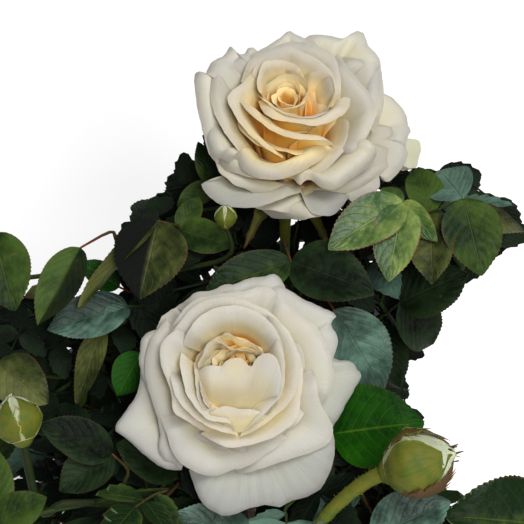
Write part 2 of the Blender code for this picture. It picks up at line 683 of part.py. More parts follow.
class Space:
    """Where leaves may be: their mass's own cell, clear of limbs, blooms, pot and open sky.

    Seeded leaves also hide nothing that the photograph shows."""

    def __init__(self, limbs, rooms):
        self.limbs = limbs
        self.rooms = rooms
        self.pieces = []
        self.nearest = np.full((CELLS, CELLS), -1.0)
        self.names = list(MASSES)
        self.middles = np.array([MASSES[name] for name in self.names]) * MM

    def owner(self, point):
        return self.names[int(np.argmin(np.linalg.norm(self.middles - point, axis=1)))]

    def in_cell(self, points, name):
        own = self.middles[self.names.index(name)]
        for other, middle in zip(self.names, self.middles):
            if other != name and np.any((points - (own + middle) / 2) @ unit(middle - own) > BORDER_SLACK):
                return False
        return True

    def untouched(self, piece):
        for other in self.pieces:
            if other.owner == piece.owner and other.twig and piece.twig:
                continue
            if piece.touches(other):
                return False
        return True

    def clear(self, points, spare=0.6 * MM):
        near_pot = np.hypot(points[:, 0], points[:, 1]) < POT_RIM_RADIUS + 4 * MM
        if np.any((points[:, 2] < POT_HEIGHT + 3.0 * MM) & near_pot):
            return False
        if np.any(points[:, 2] < SOIL_LEVEL + 4.0 * MM):
            return False
        for foot, turn in self.rooms:
            rest = (points - foot) @ turn / MM
            heights, radii = zip(*BLOOM_ROOM)
            room = np.interp(rest[:, 2], heights, radii, left=0.0, right=0.0)
            if np.any(np.hypot(rest[:, 0], rest[:, 1]) < room):
                return False
        for line, radii in self.limbs:
            for a, b, ra, rb in zip(line[:-1], line[1:], radii[:-1], radii[1:]):
                span = b - a
                share = np.clip((points - a) @ span / (span @ span), 0.0, 1.0)
                gap = np.linalg.norm(points - a - share[:, None] * span, axis=1)
                if np.any(gap < max(ra, rb) + spare):
                    return False
        return True

    def cells(self, points):
        """Row and column of each point's cell of the picture, and its distance towards the eye."""
        across, down = picture(points)
        place = np.clip(np.stack([down, across]) / PHOTO_SIDE * (CELLS - 4) + 2, 0, CELLS - 1).astype(int)
        return place[0], place[1], (points - AIM) @ EYE_BACK + 1.0

    def keep_in_view(self, vertices, faces):
        """Notes the cells of the picture that these faces fill."""
        weights = np.array([(a, b, 8 - a - b) for a in range(9) for b in range(9 - a)]) / 8.0
        triangles = np.array([(face[0], b, c) for face in faces for b, c in zip(face[1:], face[2:])])
        rows, columns, near = self.cells((weights @ vertices[triangles]).reshape(-1, 3))
        np.maximum.at(self.nearest, (rows, columns), near)

    def in_front(self, points):
        """Whether any point would hide what the photograph shows."""
        rows, columns, near = self.cells(points)
        inside = (rows > 1) & (rows < CELLS - 2) & (columns > 1) & (columns < CELLS - 2)
        shown = self.nearest[rows, columns]
        return bool(np.any(inside & (shown > 0.0) & (near > shown - 3.0 * MM)))

    def under_sky(self, points):
        across, down = picture(points)
        for left, top, right, bottom in OPEN_SKY:
            if np.any((across > left) & (across < right) & (down > top) & (down < bottom)):
                return True
        return False


class Mass:
    """One leaf mass growing from its stem: leaves join the nearest twig that reaches them freely."""

    def __init__(self, name, stem, space):
        self.name = name
        self.space = space
        self.root = stem[0]
        self.nodes = [point for point in stem[1:]]
        self.solids = [tube(stem, np.linspace(1.7, 1.3, len(stem)) * MM, 4)]
        space.pieces.append(Piece(name, *tube(stem, 2.2 * MM, 4), twig=True))

    def twig(self, joints, free):
        """Path from the best node through the leaf's joints, or None."""
        root = np.asarray(joints[0])
        costs = [np.linalg.norm(root - node) + 0.25 * np.linalg.norm(node - self.root)
                 for node in self.nodes]
        for pick in np.argsort(costs)[:8]:
            node = self.nodes[pick]
            gap = np.linalg.norm(root - node)
            bend = (node + root) / 2 + unit(node - self.root) * gap * 0.12 + np.array([0.0, 0.0, gap * 0.06])
            sunk = node - unit(bend - node) * 0.5 * MM
            path = np.array([sunk, bend] + [np.asarray(joint) for joint in joints])
            fine = np.concatenate([a + (b - a) * np.linspace(0, 1, 8)[:, None]
                                   for a, b in zip(path[:-1], path[1:])])
            if not free and (not self.space.in_cell(fine, self.name) or self.space.in_front(fine)):
                continue
            if not self.space.clear(fine, 1.7 * MM):
                continue
            piece = Piece(self.name, *tube(path, 1.5 * MM, 3), twig=True)
            if self.space.untouched(piece):
                return path, piece
        return None

    def add_bud(self, base, tip, radius):
        """Grows one bud on a twig of its own."""
        vertices, faces = bud_body(base, tip, radius)
        under = base - unit(tip - base) * radius * 2.2 - np.array([0.0, 0.0, radius * 1.2])
        found = self.twig([under, base + (tip - base) * 0.1], True)
        if found is None or not self.space.untouched(Piece(self.name, vertices, faces)):
            return
        path, piece = found
        self.space.pieces += [piece, Piece(self.name, base + (vertices - base) * 1.15, faces)]
        self.space.keep_in_view(vertices, faces)
        self.solids += [tube(path, 1.2 * MM, 4), (vertices, faces)]

    def add(self, joints, leaflets, facing, least, free=False):
        """Grows one leaf; gives back the middles of its leaflets, or nothing where it finds no room."""
        found = self.twig(joints, free)
        if found is None:
            return []
        path, piece = found
        kept = []
        for part in leaflets:
            swollen = swollen_leaflet(part[1:])
            if not free and (not self.space.in_cell(swollen[0], self.name) or self.space.under_sky(swollen[0])
                             or self.space.in_front(filled(swollen[0]))):
                continue
            swollen_piece = Piece(self.name, *swollen)
            if not self.space.clear(filled(swollen[0])) or not self.space.untouched(swollen_piece):
                continue
            kept.append((part, swollen_piece, swollen[0][:5].mean(axis=0)))
        if len(kept) < least:
            return []
        self.space.pieces.append(piece)
        grown = [(part[0] + 2,) + part[1:] for part, swollen_piece, centre in kept]
        self.solids.append(leaf_solid(path, grown, facing))
        self.nodes.append(path[1])
        for part, swollen_piece, centre in kept:
            self.space.pieces.append(swollen_piece)
            if free:
                self.space.keep_in_view(*swollen_leaflet(part[1:]))
        return [centre for part, swollen_piece, centre in kept]


def filled(vertices):
    """Sample points all over a leaflet."""
    middle = vertices.mean(axis=0)
    return np.concatenate([vertices] + [middle + (vertices - middle) * share for share in (0.33, 0.66)])


def grow_crown(masses, space):
    """The leaves of the photograph first, then seeded ones wherever they find room."""
    taken = []
    for name, base, tip, radius in TWIG_BUDS:
        masses[name].add_bud(seen(*base), seen(*tip), radius * MM)
    for name, joints, leaflets in PHOTO_LEAVES:
        points, parts, facing = photo_leaf(joints, leaflets)
        taken.extend(masses[name].add(points, parts, facing, 1, free=True))
    rng = np.random.default_rng(SEED)
    for shell, count in SHELLS:
        for k in range(count):
            height = 1.0 - 1.68 * (k + 0.5) / count
            around = 2.39996 * k + rng.uniform(-0.2, 0.2)
            flat = math.sqrt(max(0.0, 1.0 - height * height))
            outward = np.array([flat * math.cos(around), flat * math.sin(around), height])
            hub = CROWN_CENTRE + shell * CROWN_REACH * outward * rng.uniform(0.92, 1.04)
            heading = outward * np.array([1.0, 1.0, 0.4]) + rng.uniform(-0.35, 0.35, 3)
            facing = outward * 0.55 + np.array([0.0, 0.0, 0.85]) + rng.uniform(-0.2, 0.2, 3)
            if abs(unit(heading) @ unit(facing)) > 0.93:
                heading = heading + np.array([0.6, -0.5, 0.0])
            joints, parts, facing = seeded_leaf(rng, hub, heading, facing, rng.uniform(0.86, 1.08))
            if space.under_sky(np.array(joints)):
                continue
            roomy = []
            for part in parts:
                centre = part[1] + unit(part[2]) * part[4] * 0.5
                if not taken or np.min(np.linalg.norm(np.array(taken) - centre, axis=1)) > 11.0 * MM:
                    roomy.append(part)
            if len(roomy) >= 2:
                taken.extend(masses[space.owner(hub)].add(joints, roomy, facing, 2))


def make_cane(name, line, shade, standing=False):
    """One tapering cane; a standing one rests level on the woody base."""
    radii = np.linspace(CANE_ROOT_RADIUS, CANE_TIP_RADIUS, len(line))
    vertices, faces = tube(line, radii, CANE_SIDES)
    if standing:
        vertices[:CANE_SIDES, 2] = line[0][2]
    body(name, vertices, faces, shade, smooth=True)
    return line, radii


def cane_line(azimuth, height, tip, arch, heading=None):
    """Cane that leaves the woody base at that azimuth and height, and ends at the tip with that heading."""
    outward = np.array([math.cos(azimuth), math.sin(azimuth), 0.0])
    share = (height - SOIL_LEVEL) / STEM_HEIGHT
    centre = np.array([STEM_LEAN[0], STEM_LEAN[1], 0.0]) * share + np.array([0.0, 0.0, height])
    tip = np.asarray(tip, float)
    inward = CANE_ROOT_RADIUS
    for attempt in range(3):
        start = centre + outward * (stem_radius(share) + inward + CLEAR)
        bend = start + (tip - start) * arch + np.array([0.0, 0.0, (tip[2] - start[2]) * 0.30])
        if heading is not None:
            bend = tip - heading * np.linalg.norm(tip - start) * arch
        inward = CANE_ROOT_RADIUS * unit(bend - start)[2]
    return curve(start, bend, tip, 5)


def stem_radius(share):
    """Radius of the woody base at that share of its height."""
    return STEM_RADIUS + (STEM_FLARE - STEM_RADIUS) * (1.0 - share) ** 3


def main():
    for item in list(bpy.data.objects):
        bpy.data.objects.remove(item)
    clay = material("terracotta", (0.62, 0.27, 0.15), 0.85)
    compost = material("compost", (0.05, 0.035, 0.025), 0.95)
    bark = material("cane_bark", (0.20, 0.22, 0.09), 0.7)
    leafage = material("leafage", (0.05, 0.13, 0.04), 0.45)
    petals = material("petals", (0.86, 0.80, 0.68), 0.55)
    green = material("bud_green", (0.30, 0.36, 0.10), 0.55)

    # Pot and compost
    rim = POT_HEIGHT - POT_RIM_HEIGHT
    profile = [(0.0, 0.0), (POT_FOOT_RADIUS - 2 * MM, 0.0), (POT_FOOT_RADIUS, 2 * MM),
               (POT_TOP_RADIUS - 1.5 * MM, rim - 1 * MM), (POT_RIM_RADIUS - 1.5 * MM, rim),
               (POT_RIM_RADIUS, POT_HEIGHT - 2.5 * MM), (POT_RIM_RADIUS - 2.5 * MM, POT_HEIGHT),
               (POT_RIM_RADIUS - POT_WALL, POT_HEIGHT - 1 * MM),
               (POT_RIM_RADIUS - POT_WALL - 1 * MM, POT_HEIGHT - 4 * MM),
               (POT_TOP_RADIUS - POT_WALL, rim - 2 * MM),
               (POT_FOOT_RADIUS - POT_WALL + 1 * MM, POT_FLOOR + 3 * MM),
               (POT_FOOT_RADIUS - POT_WALL - 3 * MM, POT_FLOOR), (0.0, POT_FLOOR)]
    vertices, faces = turned(profile, POT_SIDES)
    body("pot", vertices, faces, clay, smooth=True)
    gap = 0.5 * MM
    inside = (POT_TOP_RADIUS - POT_WALL, POT_RIM_RADIUS - POT_WALL - 1 * MM)
    wall = [np.interp(height, (rim - 2 * MM, POT_HEIGHT - 4 * MM), inside)
            for height in (rim - 2 * MM, SOIL_LEVEL - 4 * MM)]
    profile = [(0.0, POT_FLOOR + gap), (POT_FOOT_RADIUS - POT_WALL - 3.6 * MM, POT_FLOOR + gap),
               (POT_FOOT_RADIUS - POT_WALL + 0.4 * MM, POT_FLOOR + 3 * MM + gap),
               (wall[0] - gap, rim - 2 * MM), (wall[1] - gap, SOIL_LEVEL - 4.0 * MM),
               (wall[1] - 12 * MM, SOIL_LEVEL - 1.0 * MM), (STEM_FLARE + 4 * MM, SOIL_LEVEL),
               (0.0, SOIL_LEVEL)]
    vertices, faces = turned(profile, POT_SIDES)
    body("soil", vertices, faces, compost, smooth=True)

    # Woody base
    levels = np.linspace(0.0, 1.0, 6)
    line = np.array([[STEM_LEAN[0] * t, STEM_LEAN[1] * t, SOIL_LEVEL + CLEAR + STEM_HEIGHT * t]
                     for t in levels])
    radii = stem_radius(levels)
    vertices, faces = tube(line, radii, 12)
    vertices[:12, 2] = SOIL_LEVEL + CLEAR
    vertices[-12:, 2] = SOIL_LEVEL + CLEAR + STEM_HEIGHT
    body("main_stem", vertices, faces, bark, smooth=True)
    stem_top = np.array([STEM_LEAN[0], STEM_LEAN[1], SOIL_LEVEL + CLEAR + STEM_HEIGHT])

    # Canes
    limbs = []
    stems = {}
    for number, (name, middle) in enumerate(MASSES.items()):
        middle = np.array(middle) * MM
        azimuth = math.atan2(middle[1] - 2 * MM, middle[0])
        if name == "heart":
            continue
        tip = stem_top + (middle - stem_top) * 0.66
        line = cane_line(azimuth, SOIL_LEVEL + (12.0 + 6.0 * (number % 2)) * MM, tip, 0.42)
        limbs.append(make_cane("cane_" + name, line, bark))
        heading = unit(line[-1] - line[-2])
        start = line[-1] + heading * CLEAR
        stems[name] = curve(start, start + heading * 10 * MM, middle + unit(middle - start) * 4 * MM, 4)
    rooms = [bloom_frame(spec) for spec in BLOOMS.values()]
    risers = {}
    for name, degrees in RISER_AZIMUTHS.items():
        angle = math.radians(degrees)
        offset = np.array([math.cos(angle), math.sin(angle), 0.0]) * RISER_RING
        risers[name] = (offset, bloom_stalk(BLOOMS[name]) if name in BLOOMS else None)
    for name, (offset, stalk) in risers.items():
        start = stem_top + offset + np.array([0.0, 0.0, CLEAR])
        if stalk is None:
            tip = start + (np.array(MASSES[name]) * MM - start) * 0.6
            heading = unit(tip - start)
        else:
            heading = unit(stalk[1] - stalk[0])
            tip = stalk[0] - heading * (CLEAR + 0.2 * MM)
        rise = np.linalg.norm(tip - start)
        line = curve(start, tip - heading * rise * 0.45, tip, 5)
        limbs.append(make_cane("cane_" + name, line, bark, standing=True))
        if stalk is None:
            begin = line[-1] + heading * CLEAR
            stems[name] = curve(begin, begin + heading * 8 * MM, np.array(MASSES[name]) * MM, 4)
        else:
            limbs.append((stalk, np.full(len(stalk), 2.3 * MM)))
    # Bud on a cane of its own, and the blooms
    solids = []
    for name, spec in BUDS.items():
        pieces, line = make_bud_pieces(spec)
        solids.append(fused(name, pieces, green))
        limbs.append((line, np.full(len(line), 2.4 * MM)))
        heading = unit(line[1] - line[0])
        end = line[0] - heading * (CLEAR + 0.4 * MM)
        path = cane_line(math.radians(spec["azimuth"]), SOIL_LEVEL + 22.0 * MM, end, 0.38, heading)
        limbs.append(make_cane("cane_" + name, path, bark))
    for name, spec in BLOOMS.items():
        solids.append(make_bloom(name, spec, petals))

    # Leaf masses
    space = Space(limbs, rooms)
    for line, radii in limbs:
        space.pieces.append(Piece("limb", *tube(line, np.asarray(radii) + 0.4 * MM, CANE_SIDES)))
    for item in solids:
        points = np.empty(len(item.data.vertices) * 3)
        item.data.vertices.foreach_get("co", points)
        points = points.reshape(-1, 3)
        faces = [tuple(polygon.vertices) for polygon in item.data.polygons]
        space.pieces.append(Piece(item.name, points, faces))
        space.keep_in_view(points, faces)
    masses = {name: Mass(name, stem, space) for name, stem in stems.items()}
    grow_crown(masses, space)
    for name, mass in masses.items():
        fused("leaves_" + name, mass.solids, leafage)


main()
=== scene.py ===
"""The looks of a potted bush rose: petals, leaves, canes, buds and a clay pot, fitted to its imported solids.

Lengths are metres, +Z is up and the plant's front faces -Y. The crown is grown by the rule that its solids
were grown by, with the same seed, and is then carried to finer leaves within the same reach.
"""
import logging
import math
from dataclasses import dataclass, field
from enum import Enum
from typing import Any, Mapping, Sequence

import bpy
import numpy as np
from mathutils import Matrix, Vector
from mathutils.bvhtree import BVHTree


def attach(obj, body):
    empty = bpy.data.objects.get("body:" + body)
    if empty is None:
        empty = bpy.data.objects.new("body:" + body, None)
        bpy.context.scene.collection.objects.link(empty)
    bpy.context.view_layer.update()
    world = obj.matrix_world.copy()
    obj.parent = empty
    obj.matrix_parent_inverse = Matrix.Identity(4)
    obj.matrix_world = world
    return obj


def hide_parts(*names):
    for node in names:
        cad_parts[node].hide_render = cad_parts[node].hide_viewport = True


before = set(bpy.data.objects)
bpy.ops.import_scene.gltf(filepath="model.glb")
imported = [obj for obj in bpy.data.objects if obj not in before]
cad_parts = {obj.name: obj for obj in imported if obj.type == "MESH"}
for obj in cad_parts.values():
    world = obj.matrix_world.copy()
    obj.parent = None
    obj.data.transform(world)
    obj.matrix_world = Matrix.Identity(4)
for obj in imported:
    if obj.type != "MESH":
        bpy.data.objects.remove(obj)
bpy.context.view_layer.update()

Colour = tuple[float, float, float]
Points = np.ndarray
LOG = logging.getLogger("rose")

MM = 0.001
SEED = 4
CLEAR = 0.3 * MM

# How the photograph sees the plant
PHOTO_SIDE = 524.0
PHOTO_RISE = math.radians(40.0)
PHOTO_DISTANCE = 620.0 * MM
PHOTO_WIDTH = 170.0 * MM
AIM = np.array([0.0, -14.0, 282.0]) * MM
EYE_RIGHT = np.array([1.0, 0.0, 0.0])
EYE_UP = np.array([0.0, math.sin(PHOTO_RISE), math.cos(PHOTO_RISE)])
EYE_BACK = np.array([0.0, -math.cos(PHOTO_RISE), math.sin(PHOTO_RISE)])

# Pot and compost
POT_HEIGHT = 128.0 * MM
POT_FOOT_RADIUS = 50.0 * MM
POT_TOP_RADIUS = 67.0 * MM
POT_RIM_RADIUS = 72.0 * MM
POT_RIM_HEIGHT = 26.0 * MM
POT_WALL = 5.5 * MM
POT_FLOOR = 8.0 * MM
SOIL_LEVEL = 114.0 * MM

# Woody base and canes
STEM_HEIGHT = 30.0 * MM
STEM_FLARE = 13.0 * MM
STEM_RADIUS = 8.0 * MM
STEM_LEAN = np.array([2.0, 3.0]) * MM
RISER_RING = 5.0 * MM
RISER_AZIMUTHS = {"back_bloom": 90.0, "upper_bloom": 0.0, "heart": 180.0, "lower_bloom": 270.0}
CANE_ROOT_RADIUS = 2.6 * MM
CANE_TIP_RADIUS = 1.7 * MM
CANE_SIDES = 6

# Leaves
LEAFLET_LENGTH = 28.0 * MM
LEAFLET_WIDTH = 0.62
LEAFLET_THICK = 0.7 * MM
LEAFLET_OUTLINE = ((0.92, 0.28), (0.86, 0.64), (0.0, 1.0), (-0.86, 0.64), (-0.92, 0.28))
LEAFLET_FOLD = 0.26
LEAFLET_DROOP = 0.13

# Crown, its leaf masses and their middles in millimetres
CROWN_CENTRE = np.array([0.0, 2.0, 222.0]) * MM
CROWN_REACH = np.array([112.0, 106.0, 84.0]) * MM
MASSES = {
    "right": (66.0, 8.0, 258.0),
    "front_right": (48.0, -66.0, 222.0),
    "front_left": (-52.0, -66.0, 224.0),
    "left": (-70.0, 6.0, 256.0),
    "back_left": (-44.0, 74.0, 226.0),
    "back_right": (50.0, 76.0, 226.0),
    "heart": (-2.0, -2.0, 258.0),
}
BORDER_SLACK = 7.0 * MM
SHELLS = ((0.82, 68), (0.55, 28), (0.96, 44))
# Cells a side of the picture, by which seeded leaves are kept from hiding what it shows
CELLS = 92

# Heart of a bloom that twigs and leaves keep out of: height over its foot against radius, in millimetres
BLOOM_ROOM = ((-8.0, 4.0), (-2.0, 8.0), (3.0, 18.0), (10.0, 24.0), (26.0, 22.0), (34.0, 14.0), (46.0, 8.0))

# White parts of the photograph, where no leaf may be seen: left, top, right, bottom in picture points
OPEN_SKY = (
    (-400, -400, 60, 232), (-400, -400, 110, 222), (-400, -400, 150, 200), (-400, -400, 170, 178),
    (-400, -400, 192, 150), (400, -400, 1000, 160), (486, -400, 1000, 186), (440, 298, 1000, 474),
    (-400, -400, 1000, 30), (478, 275, 1000, 474), (466, 277, 480, 300), (508, 244, 620, 276),
    (30, 232, 62, 258), (30, 258, 46, 290), (-400, -400, 200, 138), (498, -400, 1000, 198),
    (412, 366, 1000, 412), (424, 366, 1000, 431), (434, 330, 1000, 366), (436, 474, 1000, 478),
    (436, 478, 474, 486), (436, 486, 460, 496),
    (84, 232, 114, 254), (76, 284, 110, 304),
)


class Tone(Enum):
    """Base colour of a spray's leaves; the value is its place among a mass's materials."""

    DARK = 0
    MIDDLE = 1
    VIVID = 2
    TEAL = 3
    OLIVE = 4
    YOUNG = 5
    # Near black: painted shade for leaves deep in the crown.
    SHADE = 6


# Leaves seen in the photograph: mass, tone, joints of the leaf stalk, leaflets as (joint, tip, width, roll)
# A leaflet may add its own tone and then split, the strength of a painted shadow over one of its halves.
PHOTO_LEAVES = [
    ("right", Tone.MIDDLE, [(396, 228, -26), (430, 213, -8), (463, 199, -4)],
     [(2, (524, 240, -12), 0.42, 62, Tone.OLIVE), (2, (483, 273, 2), 0.76, 0), (2, (438, 166, -22), 0.72, -15, Tone.TEAL),
      (1, (431, 280, 6), 0.60, 10, Tone.OLIVE), (1, (418, 163, -20), 0.60, 0)]),
    ("right", Tone.YOUNG, [(384, 232, -22), (403, 202, -6)],
     [(1, (330, 243, 6), 0.55, 0), (1, (388, 277, 7), 0.54, 0), (1, (434, 240, 2), 0.48, 25),
      (1, (380, 186, -14), 0.5, 0)]),
    ("right", Tone.DARK, [(376, 322, -44), (400, 303, -24)],
     [(1, (464, 272, -15), 0.78, 0), (1, (438, 348, -36), 0.75, 0), (0, (402, 388, -46), 0.55, 0)]),
    ("heart", Tone.TEAL, [(322, 296, -22), (334, 310, -12)], [(1, (386, 396, -18), 0.62, 0)]),
    ("front_right", Tone.VIVID, [(312, 452, -20), (333, 434, -9)], [(1, (420, 419, 0), 0.94, 0)]),
    ("front_right", Tone.TEAL, [(345, 560, 0), (372, 538, 8)], [(1, (448, 500, 12), 0.70, 0)]),
    ("front_right", Tone.MIDDLE, [(575, 548, -6), (550, 526, 4)], [(1, (453, 513, 16), 0.78, 0)]),
    ("heart", Tone.DARK, [(286, 248, -14), (291, 262, -4)],
     [(1, (372, 287, 6), 0.70, 0), (1, (206, 290, 4), 0.50, 0, Tone.MIDDLE)]),
    ("left", Tone.OLIVE, [(180, 230, -20), (158, 221, -10)],
     [(1, (138, 294, 2), 0.88, 0, Tone.OLIVE, 1.0), (1, (72, 299, -2), 0.30, 40), (0, (231, 243, -12), 0.62, 0, Tone.MIDDLE),
      (0, (200, 196, -24), 0.6, 0, Tone.MIDDLE)]),
    ("left", Tone.MIDDLE, [(110, 232, -18), (80, 248, -8)], [(1, (38, 322, 4), 0.46, 0, Tone.MIDDLE, -0.8)]),
    ("left", Tone.VIVID, [(152, 300, -30), (119, 287, -20)], [(1, (82, 261, -16), 0.62, 0)]),
    ("left", Tone.MIDDLE, [(-2, 300, -30), (-8, 262, -18), (-6, 233, -8)], [(2, (13, 308, 0), 0.70, 0)]),
    ("left", Tone.TEAL, [(150, 304, -24), (128, 306, -18)],
     [(1, (104, 320, -14), 0.80, 0), (1, (48, 326, -10), 0.56, 0)]),
    ("left", Tone.OLIVE, [(128, 316, -30), (104, 326, -20)], [(1, (73, 402, -14), 0.36, 20)]),
    ("left", Tone.MIDDLE, [(230, 204, -52), (214, 186, -44)],
     [(1, (199, 143, -40), 0.5, 0), (1, (177, 204, -40), 0.6, 0)]),
    # Near-black leaves of painted shade under the upper bloom.
    ("heart", Tone.SHADE, [(250, 262, -78), (262, 250, -70)],
     [(1, (262, 204, -76), 0.8, 0), (1, (296, 226, -80), 0.8, 0)]),
    ("heart", Tone.SHADE, [(330, 270, -78), (322, 254, -70)],
     [(1, (322, 204, -76), 0.8, 0), (1, (288, 222, -66), 0.8, 0)]),
    ("heart", Tone.SHADE, [(300, 276, -112), (306, 258, -104)],
     [(1, (304, 196, -112), 1.0, 0), (1, (340, 220, -104), 0.8, 0)]),
    ("front_left", Tone.VIVID, [(150, 346, -18), (141, 353, -12)], [(1, (117, 395, -8), 0.74, 0)]),
    ("front_left", Tone.OLIVE, [(-16, 396, -42), (-4, 364, 0)], [(1, (47, 401, 6), 0.78, 0)]),
    ("front_left", Tone.DARK, [(128, 470, 0), (112, 454, 6)],
     [(1, (42, 424, 13), 0.56, 0), (1, (60, 490, 12), 0.70, 0)]),
    ("front_left", Tone.DARK, [(192, 464, -20), (180, 471, -12)], [(1, (118, 444, -4), 0.68, 0)]),
    ("front_left", Tone.MIDDLE, [(-20, 540, 10), (-2, 522, 18)],
     [(1, (44, 497, 22), 0.70, 0), (1, (-6, 446, 16), 0.5, 0)]),
    ("front_left", Tone.TEAL, [(268, 552, -16), (252, 536, -8)], [(1, (178, 514, 2), 0.5, 0)]),
]
# Buds that a mass's own twigs carry: mass, middle of the base, tip, radius
TWIG_BUDS = (
    ("front_left", (23.0, 440.0, 16.0), (10.0, 396.0, 16.0), 7.5),
    ("left", (226.0, 226.0, -6.0), (225.0, 205.0, -4.0), 3.4),
)


# Vectors, paths and grids

def unit(vector: Any) -> Points:
    """The vector at length one."""
    vector = np.asarray(vector, float)
    return vector / np.linalg.norm(vector)


def seen(across: float, down: float, near: float) -> Points:
    """Point that the photograph shows at those picture points.

    Args:
        across: Picture points from the left edge.
        down: Picture points from the top edge.
        near: Millimetres nearer the eye than AIM.

    Returns:
        The point in space.
    """
    near = near * MM
    size = PHOTO_WIDTH / PHOTO_SIDE * (PHOTO_DISTANCE - near) / PHOTO_DISTANCE
    return AIM + EYE_RIGHT * (across - 262.0) * size + EYE_UP * (262.0 - down) * size + EYE_BACK * near


def picture(points: Points) -> tuple[Points, Points]:
    """Picture points at which the photograph's eye sees the given points."""
    rest = np.asarray(points, float) - AIM
    size = PHOTO_WIDTH / PHOTO_SIDE * (PHOTO_DISTANCE - rest @ EYE_BACK) / PHOTO_DISTANCE
    return 262.0 + rest @ EYE_RIGHT / size, 262.0 - rest @ EYE_UP / size


def curve(start: Points, bend: Points, end: Points, count: int) -> Points:
    """Points of the parabola from start to end that is drawn towards bend."""
    t = np.linspace(0.0, 1.0, count)[:, None]
    return (1 - t) ** 2 * np.asarray(start) + 2 * t * (1 - t) * np.asarray(bend) + t ** 2 * np.asarray(end)


def smooth_path(points: Points, steps: int = 4) -> Points:
    """A smooth line through the points: each span is a cubic whose ends follow the neighbouring points."""
    p = np.asarray(points, float)
    q = np.concatenate([[2 * p[0] - p[1]], p, [2 * p[-1] - p[-2]]])
    a, b, c, d = q[:-3, None], q[1:-2, None], q[2:-1, None], q[3:, None]
    t = (np.arange(steps) / steps)[None, :, None]
    spans = 0.5 * (2 * b + (c - a) * t + (2 * a - 5 * b + 4 * c - d) * t ** 2 + (3 * b - a - 3 * c + d) * t ** 3)
    return np.concatenate([spans.reshape(-1, 3), p[-1:]])


def smoothstep(x: Points, low: float, high: float) -> Points:
    """Zero under low, one over high and an even S between them."""
    t = np.clip((x - low) / (high - low), 0.0, 1.0)
    return t * t * (3.0 - 2.0 * t)


def ripple(points: Points, size: float, seed: int, count: int = 9) -> Points:
    """Smooth random height at each point: the mean of sine waves about that size long in random directions."""
    rng = np.random.default_rng(seed)
    ways = rng.normal(size=(count, 3))
    ways = ways / np.linalg.norm(ways, axis=1)[:, None] * (2.0 * math.pi / size) * rng.uniform(0.6, 1.6, (count, 1))
    return np.sin(points @ ways.T + rng.uniform(0.0, 6.283, count)).sum(axis=-1) / math.sqrt(count)


def grid_quads(rows: int, columns: int, closed: bool = False) -> np.ndarray:
    """Faces of a grid of points numbered row by row; closed joins each row's end to its start."""
    index = np.arange(rows * columns).reshape(rows, columns)
    if closed:
        index = np.concatenate([index, index[:, :1]], axis=1)
    quads = np.stack([index[:-1, :-1], index[:-1, 1:], index[1:, 1:], index[1:, :-1]], -1)
    return quads.reshape(-1, 4)


def tube(points: Points, radii: Any, sides: int) -> tuple[Points, list[tuple[int, ...]]]:
    """Vertices and faces of a closed tube along the points, as the solids have it."""
    points = np.asarray(points, float)
    radii = np.broadcast_to(np.asarray(radii, float), (len(points),))
    along = np.gradient(points, axis=0)
    along = along / np.linalg.norm(along, axis=1)[:, None]
    side = np.cross(along[0], [0.0, 0.0, 1.0])
    if np.linalg.norm(side) < 0.1:
        side = np.cross(along[0], [1.0, 0.0, 0.0])
    turns = 2.0 * math.pi * np.arange(sides) / sides
    rings = []
    for point, direction, radius in zip(points, along, radii):
        side = unit(side - direction * (side @ direction))
        other = np.cross(direction, side)
        rings.append(point + radius * (np.cos(turns)[:, None] * side + np.sin(turns)[:, None] * other))
    faces = [tuple(quad) for quad in grid_quads(len(points), sides, closed=True)]
    faces.append(tuple(reversed(range(sides))))
    faces.append(tuple(range((len(points) - 1) * sides, len(points) * sides)))
    return np.concatenate(rings), faces


def path_frames(points: Points) -> tuple[Points, Points]:
    """Two directions square to a path at each of its points.

    The first is the one in which the path spreads least, leaned to stand square to it.
    """
    along = np.gradient(points, axis=0)
    along = along / np.linalg.norm(along, axis=1)[:, None]
    least = np.linalg.svd(points - points.mean(axis=0), full_matrices=True)[2][-1]
    side = least - along * (along @ least)[:, None]
    side = side / np.linalg.norm(side, axis=1)[:, None]
    return side, np.cross(along, side)


# Shader maths

class Wire:
    """A shader socket that takes part in arithmetic: each sum or product adds its Math node."""

    def __init__(self, shade: "Shade", socket: bpy.types.NodeSocket) -> None:
        """Wraps the socket of a node of that shade."""
        self.shade = shade
        self.socket = socket

    def math(self, operation: str, *values: Any) -> "Wire":
        """The result of a Math node on the values."""
        return self.shade.node("ShaderNodeMath", {"operation": operation}, dict(enumerate(values)))

    def __add__(self, other: Any) -> "Wire":
        """Sum."""
        return self.math("ADD", self, other)

    __radd__ = __add__

    def __sub__(self, other: Any) -> "Wire":
        """Difference."""
        return self.math("SUBTRACT", self, other)

    def __rsub__(self, other: Any) -> "Wire":
        """Difference from a plain number."""
        return self.math("SUBTRACT", other, self)

    def __mul__(self, other: Any) -> "Wire":
        """Product."""
        return self.math("MULTIPLY", self, other)

    __rmul__ = __mul__

    def __pow__(self, other: Any) -> "Wire":
        """Power."""
        return self.math("POWER", self, other)

    def size(self) -> "Wire":
        """The value without its sign."""
        return self.math("ABSOLUTE", self)

    def rest(self) -> "Wire":
        """What is left over whole numbers."""
        return self.math("FRACT", self)

    def between(self, low: float, high: float) -> "Wire":
        """Zero under low, one over high, and an even S between them."""
        return self.shade.node("ShaderNodeMapRange", {"interpolation_type": "SMOOTHSTEP"},
                               {"Value": self, "From Min": low, "From Max": high})

    def under(self, low: float, high: float) -> "Wire":
        """One under low, zero over high, and an even S between them."""
        return 1.0 - self.between(low, high)


